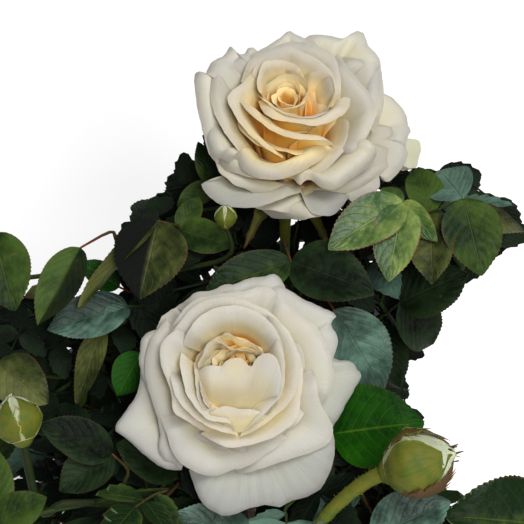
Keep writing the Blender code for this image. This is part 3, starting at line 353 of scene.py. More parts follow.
class Shade:
    """A material with one Principled surface, built from expressions."""

    def __init__(self, name: str) -> None:
        """Starts an empty material of that name."""
        self.material = bpy.data.materials.new(name)
        self.material.use_nodes = True
        self.tree = self.material.node_tree
        self.surface = next(n for n in self.tree.nodes if n.type == "BSDF_PRINCIPLED")
        self._place: Wire | None = None

    def put(self, socket: bpy.types.NodeSocket, value: Any) -> None:
        """Links a wire to the socket, or sets its value; a colour gets its alpha."""
        if isinstance(value, Wire):
            self.tree.links.new(value.socket, socket)
            return
        if socket.type == "RGBA" and len(value) == 3:
            value = (*value, 1.0)
        socket.default_value = value

    def node(self, kind: str, settings: Mapping[str, Any], inputs: Mapping[Any, Any], output: Any = 0) -> Wire:
        """Adds a node.

        Args:
            kind: The node's type.
            settings: Its own properties, set first.
            inputs: Values or wires by socket name or number, among the sockets in use.
            output: The output socket's name or number, among the sockets in use.

        Returns:
            The wire from that output.
        """
        made = self.tree.nodes.new(kind)
        for key, value in settings.items():
            setattr(made, key, value)
        shown = [s for s in made.inputs if s.enabled]
        for key, value in inputs.items():
            self.put(shown[key] if isinstance(key, int) else next(s for s in shown if s.name == key), value)
        outputs = [s for s in made.outputs if s.enabled]
        return Wire(self, outputs[output] if isinstance(output, int) else next(s for s in outputs if s.name == output))

    def place(self) -> Wire:
        """Object coordinates."""
        if self._place is None:
            self._place = self.node("ShaderNodeTexCoord", {}, {}, "Object")
        return self._place

    def stretched(self, vector: Wire, scale: Sequence[float]) -> Wire:
        """The coordinates, each times its scale."""
        return self.node("ShaderNodeMapping", {}, {"Vector": vector, "Scale": tuple(scale)})

    def noise(self, scale: float, detail: float = 3.0, rough: float = 0.55, vector: Wire | None = None) -> Wire:
        """Fractal noise about 0.5, on Object coordinates unless others are given."""
        return self.node("ShaderNodeTexNoise", {}, {"Vector": vector or self.place(), "Scale": scale, "Detail": detail,
                                                    "Roughness": rough})

    def cells(self, scale: float, vector: Wire | None = None) -> Wire:
        """Distance from the middles of random cells."""
        return self.node("ShaderNodeTexVoronoi", {}, {"Vector": vector or self.place(), "Scale": scale})

    def mark(self, name: str) -> Wire:
        """The piece's own attribute of that name."""
        return self.node("ShaderNodeAttribute", {"attribute_name": name}, {}, "Fac")

    def uv(self) -> tuple[Wire, Wire, Wire]:
        """The piece's UV map, and its two coordinates."""
        both = self.node("ShaderNodeUVMap", {"uv_map": "UVMap"}, {})
        split = self.node("ShaderNodeSeparateXYZ", {}, {0: both}, "X")
        return both, split, Wire(self, split.socket.node.outputs["Y"])

    def mix(self, first: Any, second: Any, factor: Any) -> Wire:
        """First colour at factor 0, second at 1."""
        return self.node("ShaderNodeMix", {"data_type": "RGBA"}, {"Factor": factor, "A": first, "B": second})

    def bump(self, height: Wire, strength: float, distance: float) -> Wire:
        """Normal of a surface raised by height times distance."""
        return self.node("ShaderNodeBump", {}, {"Height": height, "Strength": strength, "Distance": distance})

    def finish(self, **values: Any) -> bpy.types.Material:
        """Sets the Principled surface's sockets, named with underscores for spaces, and gives the material."""
        for key, value in values.items():
            self.put(self.surface.inputs[key.replace("_", " ")], value)
        return self.material


# Surfaces

class Gather:
    """Surfaces of one finished piece, kept as arrays until its mesh is made."""

    def __init__(self) -> None:
        """Starts with nothing."""
        self.points: list[Points] = []
        self.corners: list[np.ndarray] = []
        self.sizes: list[np.ndarray] = []
        self.kinds: list[np.ndarray] = []
        self.uvs: list[Points] = []
        self.marks: dict[str, list[tuple[int, np.ndarray]]] = {}
        self.count = 0

    def add(self, points: Points, faces: np.ndarray | list[np.ndarray], kind: int = 0, uv: Points | None = None,
            **marks: Any) -> None:
        """Takes in one surface.

        Args:
            points: Its points, in metres.
            faces: Corner numbers of each face, one array for each number of corners.
            kind: Place of its material in the piece's list.
            uv: UV of each point.
            marks: A value, or one for each point, by attribute name.
        """
        points = np.asarray(points, float).reshape(-1, 3)
        groups = [faces] if isinstance(faces, np.ndarray) else faces
        sizes = np.concatenate([np.full(len(group), group.shape[1]) for group in groups])
        corners = np.concatenate([group.ravel() for group in groups])
        self.corners.append(corners + self.count)
        self.sizes.append(sizes)
        self.kinds.append(np.full(len(sizes), kind))
        self.uvs.append(np.zeros((len(points), 2)) if uv is None else np.asarray(uv, float).reshape(-1, 2))
        for name, value in marks.items():
            value = np.broadcast_to(np.asarray(value, float).ravel() if np.ndim(value) else value, (len(points),))
            self.marks.setdefault(name, []).append((self.count, value))
        self.points.append(points)
        self.count += len(points)

    def piece(self, name: str, materials: Sequence[bpy.types.Material], sharp: float = 70.0) -> bpy.types.Object:
        """Makes the piece, at the origin, smooth but for edges sharper than the given degrees."""
        mesh = bpy.data.meshes.new(name)
        corners, sizes = np.concatenate(self.corners), np.concatenate(self.sizes)
        mesh.vertices.add(self.count)
        mesh.vertices.foreach_set("co", np.concatenate(self.points).ravel())
        mesh.loops.add(len(corners))
        mesh.loops.foreach_set("vertex_index", corners.astype(np.int32))
        mesh.polygons.add(len(sizes))
        mesh.polygons.foreach_set("loop_start", (np.cumsum(sizes) - sizes).astype(np.int32))
        mesh.polygons.foreach_set("material_index", np.concatenate(self.kinds).astype(np.int32))
        mesh.uv_layers.new(name="UVMap").data.foreach_set("uv", np.concatenate(self.uvs)[corners].ravel())
        for mark, values in self.marks.items():
            whole = np.zeros(self.count, np.float32)
            for start, part in values:
                whole[start:start + len(part)] = part
            mesh.attributes.new(mark, "FLOAT", "POINT").data.foreach_set("value", whole)
        mesh.update(calc_edges=True)
        mesh.shade_smooth()
        mesh.set_sharp_from_angle(angle=math.radians(sharp))
        for material in materials:
            mesh.materials.append(material)
        item = bpy.data.objects.new(name, mesh)
        bpy.context.scene.collection.objects.link(item)
        return item


def hand_over(piece: bpy.types.Object, slot: str, *nodes: str) -> None:
    """Attaches the piece to the root body, hides the solids that it stands for, and logs it."""
    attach(piece, "root")
    if nodes:
        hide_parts(*nodes)
    LOG.info("%s: %d faces", piece.name, len(piece.data.polygons))


def skin(grid: Points, thickness: Any) -> tuple[Points, np.ndarray]:
    """Closed sheet of the given thickness on a grid of points.

    The front lies half the thickness along the grid's normal, the back half against it, and quads close the rim.

    Args:
        grid: Points, rows by columns by 3.
        thickness: One number, or one for each point of the grid.

    Returns:
        Points, the front's first, and faces.
    """
    down, over = np.gradient(grid, axis=0), np.gradient(grid, axis=1)
    normal = np.cross(over, down)
    normal = normal / np.maximum(np.linalg.norm(normal, axis=2), 1e-12)[..., None]
    half = normal * np.broadcast_to(thickness, grid.shape[:2])[..., None] / 2
    rows, columns = grid.shape[:2]
    count = rows * columns
    quads = grid_quads(rows, columns)
    index = np.arange(count).reshape(rows, columns)
    edge = np.concatenate([index[0, :-1], index[:-1, -1], index[-1, :0:-1], index[:0:-1, 0]])
    after = np.roll(edge, -1)
    rim = np.stack([edge, edge + count, after + count, after], -1)
    points = np.concatenate([(grid + half).reshape(-1, 3), (grid - half).reshape(-1, 3)])
    return points, np.concatenate([quads, quads[:, ::-1] + count, rim])


def limb(points: Points, radii: Any, sides: int, ridges: Points | None = None) -> tuple[Points, list[np.ndarray], Points]:
    """Rounded tube along a path, its ends drawn in to small rings.

    A point is the path's point + radius times (cos a * side + sin a * other), with a round the path.

    Args:
        points: The path.
        radii: Radius, or one for each point of the path.
        sides: Points in a ring.
        ridges: Share added to the radius, rings by sides.

    Returns:
        Points, faces and UV, where U runs round the tube and V counts centimetres along it.
    """
    points = np.asarray(points, float)
    side, other = path_frames(points)
    turns = 2.0 * math.pi * np.arange(sides) / sides
    radii = np.broadcast_to(radii, (len(points),)).astype(float)[:, None] * (1.0 if ridges is None else 1.0 + ridges)
    radii = np.broadcast_to(radii, (len(points), sides))
    ring = radii[..., None] * (np.cos(turns)[None, :, None] * side[:, None] + np.sin(turns)[None, :, None] * other[:, None])
    body = points[:, None] + ring
    along = np.gradient(points, axis=0)
    heading = unit(along[0]), unit(along[-1])
    first = points[0] - heading[0] * radii[0].mean() * 0.35 + ring[0] * 0.4
    last = points[-1] + heading[1] * radii[-1].mean() * 0.35 + ring[-1] * 0.4
    body = np.concatenate([first[None], body, last[None]])
    quads = grid_quads(len(body), sides, closed=True)
    steps = np.concatenate([[0.0], np.cumsum(np.linalg.norm(np.diff(points, axis=0), axis=1))])
    run = np.concatenate([[0.0], steps, steps[-1:]])[:, None] * 100.0 + np.zeros(sides)
    uv = np.stack([np.broadcast_to(np.arange(sides) / sides, run.shape), run], -1)
    caps = np.stack([np.arange(sides)[::-1], np.arange(sides) + (len(body) - 1) * sides])
    return body.reshape(-1, 3), [quads, caps], uv.reshape(-1, 2)


def thorn(root: Points, out: Points, down: Points, size: float) -> tuple[Points, np.ndarray]:
    """Hooked prickle: a flat-sided cone whose tip bends down along the cane.

    At share s of its height the middle is root + size (s out + 0.45 s^2 down) and the radius falls as 1 - s.
    """
    s = np.array([-0.15, 0.12, 0.45, 0.8, 1.0])[:, None]
    line = root + size * (s * out + 0.45 * s * np.abs(s) * down)
    across = np.cross(out, down)
    girth = size * np.array([0.5, 0.40, 0.20, 0.07, 0.012])[:, None]
    turns = 2.0 * math.pi * np.arange(6) / 6
    ring = np.cos(turns)[None, :, None] * down + 0.5 * np.sin(turns)[None, :, None] * across
    points = line[:, None] + girth[..., None] * ring
    return points.reshape(-1, 3), grid_quads(5, 6, closed=True)


# Finishes

class Finish:
    """A surface's look; each kind gives its material."""

    def material(self) -> bpy.types.Material:
        """The material."""
        raise NotImplementedError


@dataclass(frozen=True)
class PetalFinish(Finish):
    """Ivory petals, golden in their depth, partly as painted shade in the crevices, with faint veins from foot to rim.
    """

    name: str = "petal_ivory"
    ivory: Colour = (0.472, 0.430, 0.336)
    cream: Colour = (0.510, 0.416, 0.248)
    gold: Colour = (0.820, 0.630, 0.270)
    orange: Colour = (0.920, 0.470, 0.060)
    outside: Colour = (0.445, 0.422, 0.345)
    dim: Colour = (0.320, 0.300, 0.240)
    green: Colour = (0.460, 0.500, 0.200)

    def material(self) -> bpy.types.Material:
        """Cream and then gold as the attribute depth nears 1, veined along V, and greenish where green says so."""
        shade = Shade(self.name)
        depth, back, green = shade.mark("depth"), shade.mark("back"), shade.mark("green")
        both, across, along = shade.uv()
        cloud = shade.noise(75.0, 3.0)
        veins = shade.noise(1.0, 2.0, vector=shade.stretched(both, (52.0, 3.0, 1.0)))
        # The attribute depth is partly painted shade and glow: gold and orange deepen and brighten where petals lie
        # sunk among others.
        deep = depth + (cloud - 0.5) * 0.16 + (veins - 0.5) * 0.10
        colour = shade.mix(self.ivory, self.cream, deep.between(0.0, 0.50))
        colour = shade.mix(colour, self.gold, deep.between(0.40, 1.10))
        colour = shade.mix(colour, self.orange, deep.between(1.15, 1.75))
        colour = shade.mix(colour, self.outside, back * 0.5 * deep.under(0.2, 0.8))
        # Painted shade: outer petals that lie in shade are greyed towards a shaded tone by this attribute.
        colour = shade.mix(colour, self.dim, shade.mark("dim"))
        colour = shade.mix(colour, self.green, (green + (cloud - 0.5) * 0.4) * 0.8)
        colour = shade.mix(colour, (0.62, 0.46, 0.22), shade.noise(900.0, 1.0).between(0.72, 0.79) * 0.22)
        height = (veins - 0.5) * 0.7 + (cloud - 0.5) * 0.6
        return shade.finish(Base_Color=colour, Roughness=0.52 + cloud * 0.12, Subsurface_Weight=0.45,
                            Subsurface_Radius=(0.007, 0.0045, 0.002), Subsurface_Scale=1.0, Specular_IOR_Level=0.28,
                            Sheen_Weight=0.08, Sheen_Roughness=0.5, Normal=shade.bump(height, 0.32, 0.0006))


@dataclass(frozen=True)
class LeafFinish(Finish):
    """A leaflet: faint midrib and side veins, softly quilted, pale beneath, with teeth that may redden."""

    name: str
    blade: Colour
    # The blade's colour where lit is highest, partly painted light.
    bright: Colour
    vein: Colour
    beneath: Colour
    tooth: Colour
    redness: float
    gloss: float
    veined: float = 0.35
    shine: float = 0.30
    # How much lighter the margin is painted, as rim light.
    rim: float = 0.0

    def material(self) -> bpy.types.Material:
        """Side veins lie where 7 (V - 0.3 |2U - 1|) passes a half, bent forward towards the rim."""
        shade = Shade(self.name)
        both, across, along = shade.uv()
        off = (across * 2.0 - 1.0).size()
        under = shade.mark("under").between(0.0, 0.2)
        tint = shade.mark("tint")
        wander = shade.noise(110.0, 2.0)
        phase = ((along - off * 0.30 + off * off * -0.10 + (wander - 0.5) * 0.06 + (across - 0.5) * 0.05) * 7.0).rest()
        side = (phase - 0.5).size().under(0.0, 0.075) * off.under(0.70, 0.98) * along.between(0.02, 0.10)
        midrib = off.under(0.012, 0.055) * along.under(0.86, 1.0)
        vein = side * 0.6 + midrib
        cloud, broad = shade.noise(240.0, 4.0), shade.noise(38.0, 2.0)
        # Painted light and shade: lit mixes random patches of tone with one half of each leaflet made lighter than the
        # other by tint, as where light falls across the fold, and a margin made lighter by rim.
        lit = broad * 1.7 + cloud * 0.9 + tint * 0.5 + (across - 0.5) * tint * 1.5 - 0.82
        lit = lit + off.between(0.45, 1.0) * self.rim
        colour = shade.mix(self.blade, self.bright, lit.between(0.15, 0.90))
        colour = shade.mix(colour, self.vein, vein * self.veined * (0.6 + cloud * 0.8))
        colour = shade.mix(colour, self.beneath, under * (0.8 + midrib * 0.2))
        edge = off.between(0.93, 1.0) * self.redness * along.between(0.1, 0.4)
        colour = shade.mix(colour, self.tooth, edge * (0.2 + cloud))
        # Painted shadow: the attribute split darkens one half of the leaflet to near black, as where a cast shadow
        # falls, and roughens it there.
        painted_shadow = shade.mark("split") * (across - 0.5) * 9.0 + (broad - 0.5) * 1.2
        painted_shadow = painted_shadow.between(-0.15, 0.65) * shade.mark("split").size()
        colour = shade.mix(colour, (0.002, 0.003, 0.002), painted_shadow)
        blemish = shade.noise(300.0, 1.0).between(0.72, 0.78) * broad.between(0.52, 0.64)
        colour = shade.mix(colour, (0.10, 0.06, 0.02), blemish * 0.5)
        quilt = (phase - 0.5).size() * 0.5 * off.under(0.8, 1.0) - midrib * 1.4 - side * 0.35
        height = quilt + (cloud - 0.5) * 1.7 + (broad - 0.5) * 2.0 + shade.cells(520.0) * 0.3
        rough = self.gloss + (broad - 0.5) * 0.3 + under * 0.3 + painted_shadow * 0.4
        return shade.finish(Base_Color=colour, Roughness=rough, Specular_IOR_Level=self.shine,
                            Normal=shade.bump(height, 0.5, 0.0008))


LEAF_FINISHES = {
    Tone.DARK: LeafFinish("leaf_dark", (0.001, 0.003, 0.001), (0.009, 0.019, 0.006), (0.026, 0.036, 0.012),
                          (0.040, 0.060, 0.032), (0.040, 0.014, 0.008), 0.5, 0.50, 0.25, 0.055, 0.28),
    Tone.MIDDLE: LeafFinish("leaf_middle", (0.003, 0.012, 0.002), (0.034, 0.062, 0.010), (0.080, 0.098, 0.026),
                            (0.060, 0.095, 0.040), (0.070, 0.024, 0.012), 0.7, 0.46, 0.25, 0.075, 0.10),
    Tone.VIVID: LeafFinish("leaf_vivid", (0.001, 0.013, 0.001), (0.006, 0.046, 0.001), (0.044, 0.098, 0.008),
                           (0.060, 0.110, 0.040), (0.050, 0.024, 0.010), 0.5, 0.46, 0.60, 0.045),
    # Teal: partly the leaves' own bluish green and partly a painted sheen.
    Tone.TEAL: LeafFinish("leaf_teal", (0.009, 0.026, 0.017), (0.078, 0.150, 0.110), (0.090, 0.145, 0.095),
                          (0.095, 0.135, 0.105), (0.050, 0.030, 0.020), 0.3, 0.50, 0.22, 0.22),
    Tone.OLIVE: LeafFinish("leaf_olive", (0.008, 0.014, 0.002), (0.070, 0.080, 0.019), (0.110, 0.105, 0.036),
                           (0.075, 0.072, 0.030), (0.085, 0.030, 0.014), 0.8, 0.47, 0.30, 0.11),
    Tone.YOUNG: LeafFinish("leaf_young", (0.018, 0.052, 0.008), (0.150, 0.205, 0.046), (0.190, 0.230, 0.062),
                           (0.120, 0.150, 0.070), (0.120, 0.030, 0.018), 1.4, 0.40, 0.45, 0.26),
    Tone.SHADE: LeafFinish("leaf_shade", (0.002, 0.004, 0.002), (0.006, 0.012, 0.005), (0.010, 0.014, 0.006),
                           (0.010, 0.016, 0.008), (0.008, 0.004, 0.003), 0.3, 0.60, 0.3, 0.06),
}


@dataclass(frozen=True)
class StalkFinish(Finish):
    """Leaf stalks and twigs: green, flushed red-brown on the young ones."""

    name: str = "stalk_flushed"
    green: Colour = (0.014, 0.027, 0.005)
    flush: Colour = (0.100, 0.022, 0.012)

    def material(self) -> bpy.types.Material:
        """The attribute flush, broken by noise, turns green into red-brown; the attribute dark paints shade, near
        black.
        """
        shade = Shade(self.name)
        cloud = shade.noise(150.0, 3.0)
        fine = shade.noise(1400.0, 2.0)
        colour = shade.mix(self.green, self.flush, (shade.mark("flush") + (cloud - 0.5) * 0.9).between(0.15, 0.85))
        colour = shade.mix(colour, (0.15, 0.12, 0.05), fine.between(0.62, 0.75) * 0.3)
        colour = shade.mix(colour, (0.004, 0.006, 0.003), shade.mark("dark"))
        return shade.finish(Base_Color=colour, Roughness=0.46 + cloud * 0.2, Specular_IOR_Level=0.09,
                            Normal=shade.bump(cloud * 0.5 + fine * 0.3, 0.5, 0.0004))


@dataclass(frozen=True)
class BarkFinish(Finish):
    """Canes: grey-brown bark with fissures and pale pores at the foot, smooth green towards the tip."""

    name: str = "cane_bark"
    green: Colour = (0.040, 0.066, 0.016)
    brown: Colour = (0.085, 0.052, 0.028)
    grey: Colour = (0.170, 0.140, 0.100)

    def material(self) -> bpy.types.Material:
        """The attribute age runs from 0, green, to 1, old wood; fissures are noise stretched along the cane."""
        shade = Shade(self.name)
        age = shade.mark("age")
        both, around, along = shade.uv()
        cloud = shade.noise(110.0, 4.0)
        fissure = shade.noise(1.0, 4.0, 0.65, shade.stretched(both, (9.0, 1.3, 1.0)))
        pores = shade.cells(420.0).under(0.10, 0.28)
        old = (age + (cloud - 0.5) * 0.5).between(0.25, 0.75)
        wood = shade.mix(self.brown, self.grey, fissure.between(0.42, 0.62))
        colour = shade.mix(shade.mix(self.green, (0.10, 0.040, 0.02), (cloud - 0.5).between(0.02, 0.25) * 0.5), wood, old)
        colour = shade.mix(colour, (0.22, 0.17, 0.10), pores * 0.4)
        height = fissure * old * 1.6 + pores * 0.4 + cloud * 0.3
        return shade.finish(Base_Color=colour, Roughness=0.48 + old * 0.38, Normal=shade.bump(height, 0.8, 0.0009))


@dataclass(frozen=True)
class ThornFinish(Finish):
    """Prickles: horn red-brown, paler at the tip."""

    name: str = "thorn_horn"

    def material(self) -> bpy.types.Material:
        """Mottled red-brown."""
        shade = Shade(self.name)
        cloud = shade.noise(700.0, 2.0)
        colour = shade.mix((0.20, 0.045, 0.025), (0.36, 0.20, 0.10), cloud.between(0.4, 0.65))
        return shade.finish(Base_Color=colour, Roughness=0.36 + cloud * 0.1, Normal=shade.bump(cloud, 0.3, 0.0003))


@dataclass(frozen=True)
class SepalFinish(Finish):
    """Hips, sepals and flower stalks: soft green, browned and reddened towards thin edges."""

    name: str = "sepal_green"
    green: Colour = (0.090, 0.092, 0.008)
    pale: Colour = (0.330, 0.350, 0.130)
    brown: Colour = (0.066, 0.034, 0.010)

    def material(self) -> bpy.types.Material:
        """The attribute brown browns it, pale whitens it and both are broken up by noise."""
        shade = Shade(self.name)
        both, across, along = shade.uv()
        cloud = shade.noise(230.0, 4.0)
        ribs = shade.noise(1.0, 2.0, vector=shade.stretched(both, (26.0, 2.0, 1.0)))
        colour = shade.mix(self.green, (0.040, 0.075, 0.006), (cloud * 0.6 + ribs * 0.4).between(0.42, 0.62) * 0.8)
        colour = shade.mix(colour, self.pale, (shade.mark("pale") + (ribs - 0.5) * 0.7).between(0.3, 0.9))
        colour = shade.mix(colour, self.brown, (shade.mark("brown") + (cloud - 0.5) * 0.9).between(0.3, 0.8))
        return shade.finish(Base_Color=colour, Roughness=0.5 + cloud * 0.15, Specular_IOR_Level=0.16,
                            Normal=shade.bump(ribs * 0.8 + cloud * 0.5, 0.5, 0.0005))


@dataclass(frozen=True)
class ClayFinish(Finish):
    """Plain fired clay: sandy grain, paler chalky bloom, damp stain and a little green near the foot."""

    name: str = "terracotta_clay"
    clay: Colour = (0.46, 0.185, 0.095)
    dark: Colour = (0.33, 0.120, 0.060)
    chalk: Colour = (0.64, 0.47, 0.37)

    def material(self) -> bpy.types.Material:
        """Colour falls from chalky patches near the rim to damp clay near the foot, all by noise in space."""
        shade = Shade(self.name)
        height = shade.node("ShaderNodeSeparateXYZ", {}, {0: shade.place()}, "Z")
        cloud, patch = shade.noise(28.0, 5.0, 0.6), shade.noise(14.0, 4.0, 0.65)
        grain, grit = shade.noise(1500.0, 2.0), shade.cells(900.0)
        streak = shade.noise(1.0, 3.0, vector=shade.stretched(shade.place(), (60.0, 60.0, 7.0)))
        colour = shade.mix(self.clay, self.dark, (cloud * 0.7 + streak * 0.3).between(0.42, 0.62))
        bloom = (patch + streak * 0.4 + height * 1.2 - 0.1).between(0.68, 0.92)
        colour = shade.mix(colour, self.chalk, bloom * 0.55)
        damp = (height * -22.0 + 0.9 + (cloud - 0.5) * 1.6).between(0.2, 1.0)
        colour = shade.mix(colour, (0.22, 0.095, 0.055), damp * 0.65)
        algae = (height * -30.0 + 1.0 + (patch - 0.5) * 4.0).between(0.5, 1.4) * cloud.between(0.4, 0.6)
        colour = shade.mix(colour, (0.085, 0.105, 0.035), algae * 0.45)
        colour = shade.mix(colour, (0.66, 0.40, 0.27), grit.under(0.05, 0.16) * 0.35)
        relief = grain * 0.35 + grit.under(0.0, 0.25) * 0.35 + cloud * 0.4
        return shade.finish(Base_Color=colour, Roughness=0.90 - damp * 0.22, Specular_IOR_Level=0.28,
                            Normal=shade.bump(relief, 0.55, 0.0006))


@dataclass(frozen=True)
class CompostFinish(Finish):
    """Damp dark compost with fibres and paler crumbs."""

    name: str = "compost_damp"

    def material(self) -> bpy.types.Material:
        """Nearly black brown, broken by fine and coarse noise; the attribute dry makes crumbs paler."""
        shade = Shade(self.name)
        coarse, fine, cell = shade.noise(120.0, 5.0, 0.65), shade.noise(900.0, 3.0), shade.cells(380.0)
        colour = shade.mix((0.018, 0.011, 0.007), (0.075, 0.046, 0.028), (coarse * 0.6 + fine * 0.4).between(0.42, 0.64))
        colour = shade.mix(colour, (0.17, 0.105, 0.06), shade.mark("dry"))
        colour = shade.mix(colour, (0.30, 0.23, 0.16), cell.under(0.03, 0.10) * 0.4)
        return shade.finish(Base_Color=colour, Roughness=0.86 + fine * 0.1,
                            Normal=shade.bump(coarse + fine * 0.5 + cell * 0.4, 0.9, 0.002))


@dataclass(frozen=True)
class FloorFinish(Finish):
    """Plain pale floor."""

    name: str = "floor_pale"

    def material(self) -> bpy.types.Material:
        """Nearly white, matt."""
        return Shade(self.name).finish(Base_Color=(0.97, 0.97, 0.97), Roughness=0.85, Specular_IOR_Level=0.1)


# Petals and blooms, worked out in millimetres about the bloom's foot and axis

STATIONS = (0.0, 0.28, 0.62, 1.0)


class Bow(Enum):
    """Slope of a petal's middle line, in degrees at the four stations, before it is turned to reach its rim."""

    CUPPED = (-38.0, 12.0, 18.0, -28.0)
    SPREAD = (-25.0, 18.0, 10.0, -38.0)
    TIGHT = (-30.0, 8.0, 16.0, 4.0)
    REFLEXED = (-10.0, 20.0, 0.0, -30.0)
    DROOPED = (-5.0, 25.0, 0.0, -40.0)
    INFOLDED = (-45.0, -40.0, 25.0, 58.0)
    TUCKED = (-40.0, -30.0, 25.0, 40.0)


@dataclass(frozen=True)
class Roll:
    """Outward roll of a petal beyond a line: where it starts as a share of the length, radius, most turn, slant."""

    start: float
    radius: float = 4.0
    most: float = 90.0
    slant: float = 40.0


@dataclass(frozen=True)
class Petal:
    """One petal that stands out along its azimuth from the bloom's axis.

    Sizes are millimetres and degrees. The middle line leaves the root and bows as asked to the rim; the sheet wraps
    round the axis, its corners and rim roll outwards, and its margin waves and is a little ragged.
    """

    azimuth: float
    radius: float
    height: float
    width: float
    bow: Bow = Bow.CUPPED
    left: Roll | None = None
    right: Roll | None = None
    rim: Roll | None = Roll(0.93, 3.0, 60.0)
    root: tuple[float, float] = (2.0, 0.0)
    claw: float = 0.36
    taper: float = 0.08
    shoulder: float = 0.30
    point: float = 0.0
    notch: float = 0.0
    notch_at: float = 0.0
    ragged: float = 0.012
    wave: float = 0.0
    waves: float = 2.2
    crease: float = 0.0
    crease_at: float = 0.0
    hug: float = 1.0
    hug_radius: float = 1.5
    wrap: float = 2.4
    side_lift: float = 0.0
    skew: float = 0.0
    spiral: float = 0.0
    glow: float = 0.0

    @staticmethod
    def middle_line(slopes: Sequence[float]) -> tuple[Points, Points, Points, Points]:
        """Middle line of unit length for the slopes at the stations.

        The slope is smoothed over the stations; run and rise are the sums of its cosine and sine.

        Args:
            slopes: Degrees at the four stations.

        Returns:
            Shares of the length, and run, rise and slope at them.
        """
        share = np.linspace(0.0, 1.3, 200)
        slope = np.interp(share, STATIONS, np.radians(slopes))
        weights = np.hanning(31) / np.hanning(31).sum()
        slope = np.convolve(np.concatenate([np.full(15, slope[0]), slope, np.full(15, slope[-1])]), weights, "valid")
        step = share[1] * 0.5
        run = np.concatenate([[0.0], np.cumsum((np.cos(slope[1:]) + np.cos(slope[:-1])) * step)])
        rise = np.concatenate([[0.0], np.cumsum((np.sin(slope[1:]) + np.sin(slope[:-1])) * step)])
        return share, run, rise, slope

    @staticmethod
    def rolled(x: Points, y: Points, h: Points, nx: float, ny: float, roll: Roll, length: float) -> tuple[Points, ...]:
        """Rolls the flat sheet beyond the line nx x + ny y = start onto a circle, as far as the roll's most turn."""
        past = np.maximum(nx * x + ny * y - roll.start * length, 0.0)
        turn = np.minimum(past / roll.radius, math.radians(roll.most))
        rest = past - turn * roll.radius
        along = roll.radius * np.sin(turn) + rest * np.cos(turn)
        up = roll.radius * (1.0 - np.cos(turn)) + rest * np.sin(turn)
        return x + nx * (along - past), y + ny * (along - past), h + up

    def sheet(self, across: int, along: int, seed: int) -> tuple[Points, Points, Points]:
        """The petal's surface.

        With u from side to side and v from root to rim, the flat outline is x = u half(v), y = length v less the
        round of the shoulders, plus the rim's point, notch and ragged waves. The rolls lift it by h, the middle line
        carries y, and x wraps round an upright cylinder about the bloom's axis.

        Args:
            across: Points from side to side.
            along: Points from root to rim.
            seed: Seed of the waves.

        Returns:
            Points in the bloom's frame, along by across by 3, and u and v at them.
        """
        phase = np.random.default_rng(seed).uniform(0.0, 2.0 * math.pi, 8)
        foot, floor = self.root
        share, run, rise, slope = self.middle_line(self.bow.value)
        end_run, end_rise = np.interp(1.0, share, run), np.interp(1.0, share, rise)
        turn = math.atan2(self.height - floor, self.radius - foot) - math.atan2(end_rise, end_run)
        length = math.hypot(self.radius - foot, self.height - floor) / math.hypot(end_run, end_rise)
        share, run, rise, slope = self.middle_line(np.asarray(self.bow.value) + math.degrees(turn))
        u, v = np.meshgrid(np.linspace(-1.0, 1.0, across), np.linspace(0.0, 1.0, along) ** 0.9)
        half = self.claw + (1.0 - self.claw) * np.sin(0.5 * math.pi * np.clip(v / 0.70, 0.0, 1.0)) ** 0.9
        half = 0.5 * self.width * half * (1.0 - self.taper * smoothstep(v, 0.70, 1.0))
        x = u * half
        y = v * (1.0 - self.shoulder * np.abs(u) ** 2.8 * v ** 2) + self.point * np.exp(-np.abs(u) / 0.14) * v ** 4
        y = y - self.notch * np.exp(-((u - self.notch_at) / 0.13) ** 2) * v ** 5
        edge = 0.5 * np.sin(6.1 * u + phase[0]) + 0.35 * np.sin(11.7 * u + phase[1]) + 0.25 * np.sin(21 * u + phase[2])
        y = length * (y + self.ragged * edge * v ** 6)
        h = np.zeros_like(x)
        for way, roll in ((-1.0, self.left), (1.0, self.right)):
            if roll:
                lean = math.radians(roll.slant)
                x, y, h = self.rolled(x, y, h, way * math.sin(lean), math.cos(lean), roll, length)
        if self.rim:
            x, y, h = self.rolled(x, y, h, 0.0, 1.0, self.rim, length)
        broad = np.sin(self.waves * math.pi * u + phase[3]) * v ** 3
        slow = np.sin(1.3 * math.pi * u + 2.5 * v + phase[4]) * v ** 1.5
        frill = np.sin(5.3 * math.pi * u + phase[5]) * v ** 8
        h = h + self.wave * (0.65 * broad + 0.5 * slow + 0.35 * frill)
        h = h + self.crease * np.exp(-((u - self.crease_at) / 0.16) ** 2) * v ** 2
        radius = foot + length * np.interp(y / length, share, run)
        height = floor + length * np.interp(y / length, share, rise)
        slant = np.interp(y / length, share, slope)
        curve_radius = np.maximum(np.abs(radius) * self.hug + self.hug_radius, half / self.wrap)
        bend, aside = x / curve_radius, 2.0 * x / self.width
        place = np.stack([radius - curve_radius + curve_radius * np.cos(bend) + self.spiral * aside * v,
                          curve_radius * np.sin(bend),
                          height + self.side_lift * aside ** 2 * v + self.skew * aside * v], -1)
        outward = np.stack([np.sin(slant) * np.cos(bend), np.sin(slant) * np.sin(bend), -np.cos(slant)], -1)
        place = place + h[..., None] * outward
        c, s = math.cos(math.radians(self.azimuth)), math.sin(math.radians(self.azimuth))
        return place @ np.array([[c, s, 0.0], [-s, c, 0.0], [0.0, 0.0, 1.0]]), u, v


def corner_rolls(left: float, right: float, radius: float = 4.0, most: float = 90.0, slant: float = 40.0) -> dict[str, Roll]:
    """Rolls of both corners, starting at those shares of the petal's length."""
    return {"left": Roll(left, radius, most, slant), "right": Roll(right, radius, most, slant)}


